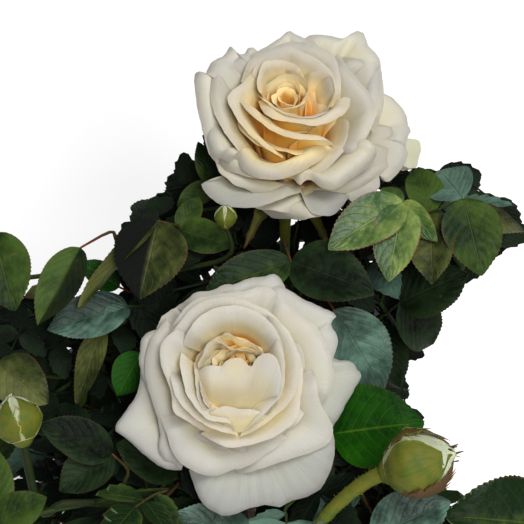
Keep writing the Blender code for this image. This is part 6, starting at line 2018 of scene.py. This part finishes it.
@dataclass
class Crown:
    """The whole crown: the leaves of the photograph first, then seeded ones, then finer ones in between."""

    masses: dict[str, LeafMass]
    space: Space
    fill: Sequence[tuple[float, int]] = ((0.84, 190), (0.70, 170), (0.56, 150), (0.42, 110), (0.95, 120), (0.28, 70))
    fill_gap: float = 5.5 * MM
    taken: list[Points] = field(default_factory=list)

    def grow_seen(self) -> None:
        """Buds and leaves measured in the photograph."""
        for name, base, tip, radius in TWIG_BUDS:
            self.masses[name].add_bud(seen(*base), seen(*tip), radius * MM)
        for name, tone, joints, leaflets in PHOTO_LEAVES:
            points, parts = photo_leaf(joints, leaflets)
            self.taken += self.masses[name].add(points, parts, 1, tone, Detail.CLOSE, free=True)

    def grow_seeded(self) -> None:
        """The seeded leaves that the solids have too."""
        rng = np.random.default_rng(SEED)
        for shell, count in SHELLS:
            for k in range(count):
                self.grow_one(rng, shell, k, count, rng_size=(0.86, 1.08), gap=11.0 * MM, detail=Detail.PLAIN)

    def grow_fine(self) -> None:
        """Smaller leaves on finer twigs within the same reach."""
        rng = np.random.default_rng(SEED + 1)
        for shell, count in self.fill:
            for k in range(count):
                self.grow_one(rng, shell, k, count, rng_size=(0.58, 0.92), gap=self.fill_gap, detail=Detail.SMALL)

    def grow_bare(self) -> None:
        """Near-black leaves of painted shade behind the rest, wherever the picture would show the floor between them.
        """
        rng = np.random.default_rng(SEED + 2)
        for near in (-60.0, -35.0, -85.0, -15.0, -105.0, -50.0, -75.0, -25.0, -95.0, -65.0, -42.0, -110.0, -55.0):
            for across, down in self.space.bare():
                hub = seen(across + rng.uniform(-14, 14), down + rng.uniform(-14, 14), near + rng.uniform(-12, 12))
                if np.linalg.norm((hub - CROWN_CENTRE) / CROWN_REACH) > 0.98:
                    continue
                row, column, depth = self.space.cells(seen(across, down, near)[None])
                if self.space.filled[row[0], column[0]]:
                    continue
                heading = EYE_RIGHT * rng.uniform(-1, 1) + EYE_UP * rng.uniform(-1, 0.6) + EYE_BACK * 0.1
                joints, parts, facing = seeded_leaf(rng, hub, heading, EYE_BACK + rng.uniform(-0.3, 0.3, 3),
                                                    rng.uniform(0.5, 0.95))
                if not self.space.under_sky(np.array(joints)):
                    self.taken += self.masses[self.space.owner(hub)].add(joints, parts, 1, Tone.SHADE, Detail.SMALL)

    def grow_one(self, rng: np.random.Generator, shell: float, k: int, count: int, rng_size: tuple[float, float],
                 gap: float, detail: Detail) -> None:
        """Tries one leaf on a shell of the crown; the shell's leaves spiral down it by the golden angle.

        Args:
            rng: Source of its turns.
            shell: Share of the crown's reach.
            k: Its number on the shell.
            count: How many the shell has.
            rng_size: Least and greatest size.
            gap: Least distance between the middles of leaflets.
            detail: How finely it is cut.
        """
        height = 1.0 - 1.68 * (k + 0.5) / count
        around = 2.39996 * k + rng.uniform(-0.2, 0.2)
        flat = math.sqrt(max(0.0, 1.0 - height * height))
        outward = np.array([flat * math.cos(around), flat * math.sin(around), height])
        hub = CROWN_CENTRE + shell * CROWN_REACH * outward * rng.uniform(0.92, 1.04)
        heading = outward * np.array([1.0, 1.0, 0.4]) + rng.uniform(-0.35, 0.35, 3)
        facing = outward * 0.55 + np.array([0.0, 0.0, 0.85]) + rng.uniform(-0.2, 0.2, 3)
        if abs(unit(heading) @ unit(facing)) > 0.93:
            heading = heading + np.array([0.6, -0.5, 0.0])
        joints, parts, facing = seeded_leaf(rng, hub, heading, facing, rng.uniform(*rng_size))
        if self.space.under_sky(np.array(joints)):
            return
        roomy = []
        for part in parts:
            centre = part.base + unit(part.direction) * part.length * 0.5
            if not self.taken or np.min(np.linalg.norm(np.array(self.taken) - centre, axis=1)) > gap:
                roomy.append(part)
        if len(roomy) >= 2:
            behind = outward @ EYE_BACK < -0.1
            tone = self.tone(max(shell, 0.93) if behind and shell > 0.6 else shell, k)
            self.taken += self.masses[self.space.owner(hub)].add(joints, roomy, 2, tone, detail)

    @staticmethod
    def tone(shell: float, k: int) -> Tone:
        """Colour of a seeded leaf: near black inside the crown as painted shade, mixed further out, a few young ones at
        the rim.
        """
        if shell < 0.9 and shell != 0.82:
            return Tone.SHADE if k % 6 else Tone.DARK
        mixed = (Tone.MIDDLE, Tone.DARK, Tone.TEAL, Tone.MIDDLE, Tone.OLIVE, Tone.DARK, Tone.VIVID, Tone.TEAL, Tone.DARK)
        if shell > 0.95 and k % 11 == 4:
            return Tone.YOUNG
        return mixed[(k * 5 + int(shell * 20)) % len(mixed)]

    def build(self, leaves: list[bpy.types.Material], stalk: bpy.types.Material) -> None:
        """Makes the foliage and the twigs of each mass in place of its solid."""
        for number, (name, mass) in enumerate(self.masses.items()):
            foliage = mass.leaf_surfaces(40 + number).piece("foliage_" + name, leaves, sharp=100.0)
            hand_over(foliage, "leafage", "leaves_" + name)
            hand_over(mass.twig_surfaces(60 + number).piece("twigs_" + name, [stalk]), "leafage", "leaves_" + name)


# Woody parts

def stem_radius(share: Any) -> Any:
    """Radius of the woody base at that share of its height."""
    return STEM_RADIUS + (STEM_FLARE - STEM_RADIUS) * (1.0 - share) ** 3


@dataclass
class Cane:
    """One tapering cane with its prickles."""

    name: str
    line: Points
    sunk: float = 4.0 * MM
    green_from: float = 0.55
    thorns: int = 7

    @property
    def radii(self) -> Points:
        """Radius at each point of its line."""
        return np.linspace(CANE_ROOT_RADIUS, CANE_TIP_RADIUS, len(self.line))

    @classmethod
    def from_side(cls, name: str, azimuth: float, height: float, tip: Points, arch: float,
                  heading: Points | None = None) -> "Cane":
        """Cane that leaves the side of the woody base and ends at the tip.

        Args:
            name: Its node's name.
            azimuth: Where it leaves, in radians.
            height: Height of its foot.
            tip: Its end.
            arch: How far its bend lies towards the tip.
            heading: Direction in which it arrives, if given.

        Returns:
            The cane.
        """
        outward = np.array([math.cos(azimuth), math.sin(azimuth), 0.0])
        share = (height - SOIL_LEVEL) / STEM_HEIGHT
        centre = np.array([STEM_LEAN[0], STEM_LEAN[1], 0.0]) * share + np.array([0.0, 0.0, height])
        inward = CANE_ROOT_RADIUS
        for attempt in range(3):
            start = centre + outward * (stem_radius(share) + inward + CLEAR)
            bend = start + (tip - start) * arch + np.array([0.0, 0.0, (tip[2] - start[2]) * 0.30])
            if heading is not None:
                bend = tip - heading * np.linalg.norm(tip - start) * arch
            inward = CANE_ROOT_RADIUS * unit(bend - start)[2]
        return cls(name, curve(start, bend, tip, 5))

    def build(self, bark: bpy.types.Material, horn: bpy.types.Material, seed: int) -> None:
        """Makes the cane in place of its solid.

        The radius swells by a tenth at leaf scars, is ridged by stretched noise near the foot, and widens as the
        cane enters the base. Prickles stand at seeded shares and turns.
        """
        rng = np.random.default_rng(seed)
        heading = unit(self.line[1] - self.line[0])
        line = np.concatenate([[self.line[0] - heading * self.sunk], self.line, [self.line[-1] + (self.line[-1] - self.line[-2]) * 0.06]])
        path = smooth_path(line, 9)
        share = np.linspace(0.0, 1.0, len(path))
        radii = np.interp(share, [0.0, 1.0], [CANE_ROOT_RADIUS, CANE_TIP_RADIUS])
        for scar in rng.uniform(0.2, 0.95, 5):
            radii = radii * (1.0 + 0.10 * np.exp(-((share - scar) / 0.012) ** 2))
        radii = radii * (1.0 + 0.45 * (1.0 - smoothstep(share, 0.0, 0.10)))
        sides = 18
        turns = 2.0 * math.pi * np.arange(sides) / sides
        rough = ripple(np.stack([np.cos(turns)[None] + 0 * share[:, None], np.sin(turns)[None] + 0 * share[:, None],
                                 share[:, None] * 6.0 + 0 * turns], -1), 1.1, seed)
        points, faces, uv = limb(path, radii, sides, (0.02 + 0.05 * (1.0 - share[:, None])) * rough)
        age = 1.0 - smoothstep(share, 0.10, self.green_from)
        parts = Gather()
        parts.add(points, faces, uv=uv, age=np.repeat(np.concatenate([age[:1], age, age[-1:]]), sides))
        side, other = path_frames(path)
        along = np.gradient(path, axis=0)
        for where, turn, size in zip(rng.uniform(0.12, 0.92, self.thorns), rng.uniform(0.0, 6.283, self.thorns),
                                     rng.uniform(2.2, 4.0, self.thorns)):
            k = int(where * (len(path) - 1))
            out = math.cos(turn) * side[k] + math.sin(turn) * other[k]
            points, faces = thorn(path[k] + out * radii[k] * 0.9, out, -unit(along[k]), size * MM)
            parts.add(points, faces, 1)
        hand_over(parts.piece("wood_" + self.name[5:], [bark, horn]), "cane_bark", self.name)


@dataclass
class WoodyBase:
    """The short knotty base that the canes stand on, flared where it meets the compost."""

    seed: int = 5

    def build(self, bark: bpy.types.Material) -> None:
        """Makes it in place of its solid.

        The radius is the taper's times 1 + 0.05 ripples + 0.06 lobes that fade upwards; the top is rounded over and
        closed in a low dome.
        """
        share = np.concatenate([np.linspace(0.0, 0.93, 34), np.linspace(0.95, 1.0, 6)])[:, None]
        turns = (2.0 * math.pi * np.arange(56) / 56)[None, :]
        radius = stem_radius(share) * np.sqrt(np.clip(1.0 - smoothstep(share, 0.90, 1.0) ** 2 * 0.5, 0.0, 1.0))
        flat = np.stack([np.cos(turns) + 0 * share, np.sin(turns) + 0 * share, share * 3.0 + 0 * turns], -1)
        radius = radius * (1.0 + 0.035 * ripple(flat, 1.0, self.seed) + 0.05 * np.cos(5.0 * turns + 4.0 * share) * (1.0 - share))
        z = SOIL_LEVEL - 1.0 * MM + share * (STEM_HEIGHT + 1.0 * MM) + 0 * turns
        points = np.stack([STEM_LEAN[0] * share + radius * np.cos(turns), STEM_LEAN[1] * share + radius * np.sin(turns), z], -1)
        inner = points[-1] * 0.5 + points[-1].mean(axis=0) * 0.5 + np.array([0.0, 0.0, 1.2 * MM])
        heart = points[-1] * 0.1 + points[-1].mean(axis=0) * 0.9 + np.array([0.0, 0.0, 1.6 * MM])
        points = np.concatenate([points, inner[None], heart[None]])
        rows = len(points)
        parts = Gather()
        caps = np.stack([np.arange(56)[::-1], np.arange(56) + (rows - 1) * 56])
        uv = np.stack([np.broadcast_to(turns / 6.283 * 6.0, (rows, 56)), points[..., 2] * 100.0], -1)
        parts.add(points, [grid_quads(rows, 56, closed=True), caps], uv=uv, age=1.0)
        hand_over(parts.piece("base_wood", [bark]), "cane_bark", "main_stem")


# Pot and compost

@dataclass
class Pot:
    """A plain thrown clay pot with a thick rolled rim."""

    sides: int = 128
    seed: int = 3

    def profile(self) -> Points:
        """Radius and height along the section, from the middle of the underside round the rim to the inner floor."""
        rim = POT_HEIGHT - POT_RIM_HEIGHT
        inner = POT_RIM_RADIUS - POT_WALL
        corners = [
            (1 * MM, 0.6 * MM), (9 * MM, 0.6 * MM), (10 * MM, 0.0), (POT_FOOT_RADIUS - 2 * MM, 0.0),
            (POT_FOOT_RADIUS - 0.5 * MM, 0.5 * MM), (POT_FOOT_RADIUS, 2 * MM), (POT_TOP_RADIUS - 1.5 * MM, rim - 1 * MM),
            (POT_RIM_RADIUS - 2.4 * MM, rim - 0.6 * MM), (POT_RIM_RADIUS - 1.5 * MM, rim + 0.6 * MM),
            (POT_RIM_RADIUS - 0.2 * MM, POT_HEIGHT - 3.4 * MM), (POT_RIM_RADIUS - 0.5 * MM, POT_HEIGHT - 1.4 * MM),
            (POT_RIM_RADIUS - 2.0 * MM, POT_HEIGHT - 0.2 * MM), (inner + 1.0 * MM, POT_HEIGHT - 0.5 * MM),
            (inner - 0.3 * MM, POT_HEIGHT - 2.4 * MM), (inner - 1 * MM, POT_HEIGHT - 4 * MM),
            (POT_TOP_RADIUS - POT_WALL, rim - 2 * MM), (POT_FOOT_RADIUS - POT_WALL + 1 * MM, POT_FLOOR + 3 * MM),
            (POT_FOOT_RADIUS - POT_WALL - 3 * MM, POT_FLOOR), (1 * MM, POT_FLOOR),
        ]
        corners = np.array(corners)
        steps = np.linalg.norm(np.diff(corners, axis=0), axis=1)
        counts = np.clip((steps / (2.2 * MM)).astype(int), 2, 60)
        spans = [a + (b - a) * np.linspace(0, 1, n, endpoint=False)[:, None] for a, b, n in zip(corners[:-1], corners[1:], counts)]
        return np.concatenate(spans + [corners[-1:]])

    def build(self, clay: bpy.types.Material) -> None:
        """Makes the pot in place of its solid.

        The section turns about Z; throwing rings and slow ripples move the wall by up to a quarter millimetre, but
        not the foot that it stands on.
        """
        profile = self.profile()
        turns = (2.0 * math.pi * np.arange(self.sides) / self.sides)[None, :]
        r, z = profile[:, :1], profile[:, 1:]
        steps = np.concatenate([[0.0], np.cumsum(np.linalg.norm(np.diff(profile, axis=0), axis=1))])[:, None]
        outside = np.minimum(1.0, np.abs(z) / (6 * MM)) * (r > 20 * MM)
        rings = 0.10 * MM * np.sin(steps / MM * 1.35) + 0.06 * MM * np.sin(steps / MM * 0.41 + 1.0)
        slow = ripple(np.stack([np.cos(turns) * r, np.sin(turns) * r, z + 0 * turns], -1), 45 * MM, self.seed) * 0.10 * MM
        radius = r + (rings + slow) * outside
        points = np.stack([radius * np.cos(turns), radius * np.sin(turns), z + 0 * turns], -1)
        rows = len(points)
        caps = np.stack([np.arange(self.sides)[::-1], np.arange(self.sides) + (rows - 1) * self.sides])
        parts = Gather()
        parts.add(points, [grid_quads(rows, self.sides, closed=True), caps])
        hand_over(parts.piece("clay_pot", [clay], sharp=60.0), "terracotta", "pot")


@dataclass
class Compost:
    """The pot's filling, uneven on top, with crumbs and bits of bark."""

    crumbs: int = 520
    seed: int = 9

    def build(self, earth: bpy.types.Material) -> None:
        """Makes it in place of its solid.

        The top is a polar grid whose height is the slope to the wall plus ripples of two sizes; below it the sides
        follow the inside of the pot. A crumb is a small box of rings pushed about by ripples and half sunk.
        """
        rim = POT_HEIGHT - POT_RIM_HEIGHT
        wall = np.interp(SOIL_LEVEL - 4 * MM, (rim - 2 * MM, POT_HEIGHT - 4 * MM), (POT_TOP_RADIUS - POT_WALL, POT_RIM_RADIUS - POT_WALL - 1 * MM))
        outer = wall - 0.15 * MM
        sides = 150
        turns = (2.0 * math.pi * np.arange(sides) / sides)[None, :]
        radii = np.linspace(outer, 3 * MM, 52)[:, None]
        slope = np.interp(radii, (13 * MM, outer - 12 * MM, outer), (SOIL_LEVEL, SOIL_LEVEL - 1.0 * MM, SOIL_LEVEL - 3.6 * MM))
        flat = np.stack([radii * np.cos(turns), radii * np.sin(turns), 0 * radii * turns], -1)
        heights = slope + (0.55 * ripple(flat, 14 * MM, self.seed) + 0.35 * ripple(flat, 4.5 * MM, self.seed + 1)) * MM
        under = np.array([(5 * MM, POT_FLOOR + 0.6 * MM), (POT_FOOT_RADIUS - POT_WALL - 3.6 * MM, POT_FLOOR + 0.6 * MM),
                          (POT_FOOT_RADIUS - POT_WALL + 0.2 * MM, POT_FLOOR + 3.6 * MM), (POT_TOP_RADIUS - POT_WALL - 0.4 * MM, rim - 2 * MM),
                          (outer - 0.2 * MM, SOIL_LEVEL - 6.0 * MM)])
        below = np.stack([under[:, :1] * np.cos(turns), under[:, :1] * np.sin(turns), under[:, 1:] + 0 * turns], -1)
        flat[..., 2] = heights
        points = np.concatenate([below, flat])
        rows = len(points)
        parts = Gather()
        caps = np.stack([np.arange(sides)[::-1], np.arange(sides) + (rows - 1) * sides])
        parts.add(points, [grid_quads(rows, sides, closed=True), caps])
        rng = np.random.default_rng(self.seed)
        rings = np.array([(0.3, -0.9), (0.85, -0.5), (1.0, 0.1), (0.75, 0.65), (0.2, 0.95)])
        around = 2.0 * math.pi * np.arange(6) / 6
        lump = np.stack([rings[:, :1] * np.cos(around), rings[:, :1] * np.sin(around), rings[:, 1:] + 0 * around], -1)
        ends = np.stack([np.arange(6)[::-1], np.arange(6) + 24])
        for k in range(self.crumbs):
            radius, angle = (outer - 3 * MM) * math.sqrt(rng.uniform(0.05, 1.0)), rng.uniform(0.0, 6.283)
            size = rng.uniform(0.5, 1.9) * MM * np.array([1.0, rng.uniform(0.45, 1.0), rng.uniform(0.4, 0.8)])
            turn = np.array(Matrix.Rotation(rng.uniform(0.0, 6.283), 3, "Z") @ Matrix.Rotation(rng.uniform(-0.5, 0.5), 3, "X"))
            shape = lump * (1.0 + 0.22 * ripple(lump, 2.2, 100 + k % 9)[..., None]) * size
            place = np.array([radius * math.cos(angle), radius * math.sin(angle), 0.0])
            place[2] = np.interp(radius, (13 * MM, outer - 12 * MM, outer), (SOIL_LEVEL, SOIL_LEVEL - 1.0 * MM, SOIL_LEVEL - 3.6 * MM))
            place[2] += (0.55 * ripple(place * [1, 1, 0], 14 * MM, self.seed) + 0.2) * MM
            parts.add(place + shape.reshape(-1, 3) @ turn.T, [grid_quads(5, 6, closed=True), ends], dry=float(rng.uniform(0, 1) ** 2))
        hand_over(parts.piece("potting_compost", [earth], sharp=80.0), "compost", "soil")


# Studio

@dataclass
class Studio:
    """Plain pale floor, soft light and the photograph's camera."""

    floor_side: float = 6.0

    def floor(self, pale: bpy.types.Material) -> None:
        """A flat floor under the pot."""
        s = self.floor_side / 2
        parts = Gather()
        parts.add(np.array([(-s, -s, 0.0), (s, -s, 0.0), (s, s, 0.0), (-s, s, 0.0)]), np.array([(0, 1, 2, 3)]))
        parts.piece("studio_floor", [pale])

    def light(self, name: str, place: Sequence[float], aim: Sequence[float], watts: float, size: float) -> None:
        """A square soft light at a place, turned to a point."""
        lamp = bpy.data.lights.new(name, "AREA")
        lamp.energy, lamp.size = watts, size
        item = bpy.data.objects.new(name, lamp)
        bpy.context.scene.collection.objects.link(item)
        item.location = place
        item.rotation_euler = (Vector(aim) - Vector(place)).to_track_quat("-Z", "Y").to_euler()

    def lights(self) -> None:
        """White surroundings, a broad key light from above and a small lamp beside the eye."""
        world = bpy.data.worlds.new("studio")
        bpy.context.scene.world = world
        world.use_nodes = True
        background = world.node_tree.nodes["Background"]
        background.inputs["Color"].default_value = (1.0, 1.0, 1.0, 1.0)
        background.inputs["Strength"].default_value = 0.33
        self.light("key", (0.75, -0.9, 2.75), (0.0, 0.0, 0.24), 70.0, 1.3)
        self.light("front", (0.38, -1.52, 1.52), (0.0, 0.0, 0.28), 25.0, 0.42)
        bpy.context.scene.view_settings.view_transform = "Standard"

    def camera(self) -> None:
        """The eye 620 mm from AIM at an elevation of 40 degrees, its field 170 mm wide there."""
        data = bpy.data.cameras.new("photo_eye")
        data.sensor_width = 36.0
        data.lens = 36.0 * PHOTO_DISTANCE / PHOTO_WIDTH
        data.clip_start = 0.01
        item = bpy.data.objects.new("photo_eye", data)
        bpy.context.scene.collection.objects.link(item)
        turn = Matrix(np.stack([EYE_RIGHT, EYE_UP, EYE_BACK], 1).tolist()).to_4x4()
        turn.translation = Vector((AIM + EYE_BACK * PHOTO_DISTANCE).tolist())
        item.matrix_world = turn
        bpy.context.scene.camera = item


# The plant

@dataclass
class RoseBush:
    """The plant and its pot, put together in the order in which the solids were."""

    limbs: list[tuple[Points, Points]] = field(default_factory=list)
    canes: list[Cane] = field(default_factory=list)
    stems: dict[str, Points] = field(default_factory=dict)

    def lay_out_canes(self) -> None:
        """Canes to the outer masses from the side of the base, and those to the heart and the blooms from its top."""
        top = np.array([STEM_LEAN[0], STEM_LEAN[1], SOIL_LEVEL + CLEAR + STEM_HEIGHT])
        for number, (name, middle) in enumerate(MASSES.items()):
            if name == "heart":
                continue
            middle = np.array(middle) * MM
            azimuth = math.atan2(middle[1] - 2 * MM, middle[0])
            height = SOIL_LEVEL + (12.0 + 6.0 * (number % 2)) * MM
            cane = Cane.from_side("cane_" + name, azimuth, height, top + (middle - top) * 0.66, 0.42)
            self.keep(cane)
            heading = unit(cane.line[-1] - cane.line[-2])
            start = cane.line[-1] + heading * CLEAR
            self.stems[name] = curve(start, start + heading * 10 * MM, middle + unit(middle - start) * 4 * MM, 4)
        for name, degrees in RISER_AZIMUTHS.items():
            angle = math.radians(degrees)
            start = top + np.array([math.cos(angle), math.sin(angle), 0.0]) * RISER_RING + np.array([0.0, 0.0, CLEAR])
            stalk = BLOOM_SITES[name].stalk_line() if name in BLOOM_SITES else None
            if stalk is None:
                tip = start + (np.array(MASSES[name]) * MM - start) * 0.6
                heading = unit(tip - start)
            else:
                heading = unit(stalk[1] - stalk[0])
                tip = stalk[0] - heading * (CLEAR + 0.2 * MM)
            line = curve(start, tip - heading * np.linalg.norm(tip - start) * 0.45, tip, 5)
            self.keep(Cane("cane_" + name, line, sunk=2.5 * MM))
            if stalk is None:
                begin = line[-1] + heading * CLEAR
                self.stems[name] = curve(begin, begin + heading * 8 * MM, np.array(MASSES[name]) * MM, 4)
            else:
                self.limbs.append((stalk, np.full(len(stalk), 2.3 * MM)))

    def keep(self, cane: Cane) -> None:
        """Takes in a cane as a limb that leaves keep off."""
        self.canes.append(cane)
        self.limbs.append((cane.line, cane.radii))

    def lay_out_bud(self) -> tuple[Points, Points, Points]:
        """The right bud's base, tip and stalk line, with the cane that carries it."""
        base, tip, foot = seen(390.0, 471.0, 18.0), seen(454.0, 453.0, 26.0), seen(322.0, 520.0, 10.0)
        axis = unit(tip - base)
        line = curve(foot, base - axis * np.linalg.norm(foot - base) * 0.4, base - axis * 0.02 * np.linalg.norm(tip - base), 5)
        self.limbs.append((line, np.full(len(line), 2.4 * MM)))
        heading = unit(line[1] - line[0])
        end = line[0] - heading * (CLEAR + 0.4 * MM)
        self.keep(Cane.from_side("cane_right_bud", math.radians(-88.0), SOIL_LEVEL + 22.0 * MM, end, 0.38, heading))
        return base, tip, line

    def grow_crown(self) -> Crown:
        """Grows the leaf masses clear of canes, buds and blooms."""
        space = Space(self.limbs, [site.frame() for site in BLOOM_SITES.values()])
        for line, radii in self.limbs:
            space.occupy(Shell("limb", *tube(line, np.asarray(radii) + 0.4 * MM, CANE_SIDES)))
        for name in ("right_bud", *BLOOM_SITES):
            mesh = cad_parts[name].data
            points = np.empty(len(mesh.vertices) * 3)
            mesh.vertices.foreach_get("co", points)
            solid = points.reshape(-1, 3), [tuple(p.vertices) for p in mesh.polygons]
            space.occupy(Shell(name, *solid))
            space.fill_cells(*solid, True)
        crown = Crown({name: LeafMass(name, stem, space) for name, stem in self.stems.items()}, space)
        crown.grow_seen()
        space.strict = True
        crown.grow_seeded()
        LOG.info("crown of the solids: %d leaflets", len(crown.taken))
        crown.grow_fine()
        LOG.info("filled crown: %d leaflets", len(crown.taken))
        space.loose = True
        crown.grow_bare()
        LOG.info("whole crown: %d leaflets", len(crown.taken))
        return crown


RIGHT_BUD_SEPALS = (
    Sepal(-28.0, 64.0, 0.98, 0.02, 0.10, 0.0, 0, 4.0),
    Sepal(-136.0, 40.0, 1.08, 0.08, 0.62, 0.0, 5),
    Sepal(40.0, 38.0, 1.04, 0.16, 0.95, 0.0, 9),
    Sepal(128.0, 38.0, 1.10, 0.10, 0.5, 0.0, 4),
    Sepal(190.0, 40.0, 1.04, 0.06, 0.4, 0.0, 3),
)
TWIG_BUD_SEPALS = tuple(Sepal(72.0 * k + 10.0, 43.0, 1.0, 0.03, 0.05, 0.10, 1) for k in range(5))


def main() -> None:
    """Builds every piece of the plant, its pot and the studio, in order."""
    logging.basicConfig(level=logging.INFO, format="%(name)s %(message)s")
    studio = Studio()
    studio.floor(FloorFinish().material())
    studio.lights()
    studio.camera()
    Pot().build(ClayFinish().material())
    Compost().build(CompostFinish().material())
    bark, horn = BarkFinish().material(), ThornFinish().material()
    petal, green = PetalFinish().material(), SepalFinish().material()
    WoodyBase().build(bark)
    bush = RoseBush()
    bush.lay_out_canes()
    base, tip, stalk = bush.lay_out_bud()
    for number, cane in enumerate(bush.canes):
        cane.build(bark, horn, 20 + number)
    Bloom("upper_bloom", BLOOM_SITES["upper_bloom"], upper_bloom_petals(), warmth=0.13).build(petal, green)
    Bloom("lower_bloom", BLOOM_SITES["lower_bloom"], lower_bloom_petals(), seed=100, core=(0.0, 10.0, 9.0, 1.0)).build(petal, green)
    Bloom("back_bloom", BLOOM_SITES["back_bloom"], back_bloom_petals(), across=23, along=23, seed=300).build(petal, green)
    bud_petals, bud_green = Gather(), Gather()
    Bud(base, tip, 10.5 * MM, RIGHT_BUD_SEPALS).grow(bud_petals, bud_green)
    FlowerStalk(stalk, (2.1, 2.6), 150, 1.1, 17).grow(bud_green)
    hand_over(bud_petals.piece("bud_petals_right", [petal]), "petals", "right_bud")
    hand_over(bud_green.piece("bud_sepals_right", [green]), "bud_green", "right_bud")
    crown = bush.grow_crown()
    crown.build([LEAF_FINISHES[tone].material() for tone in Tone], StalkFinish().material())
    for name, mass in crown.masses.items():
        if mass.buds:
            small_petals, small_green = Gather(), Gather()
            for number, (path, low, high, radius) in enumerate(mass.buds):
                Bud(low, high, radius, TWIG_BUD_SEPALS, seed=30 + number).grow(small_petals, small_green)
            hand_over(small_petals.piece("bud_petals_" + name, [petal]), "petals", "leaves_" + name)
            hand_over(small_green.piece("bud_sepals_" + name, [green]), "bud_green", "leaves_" + name)


if __name__ == "__main__":
    main()
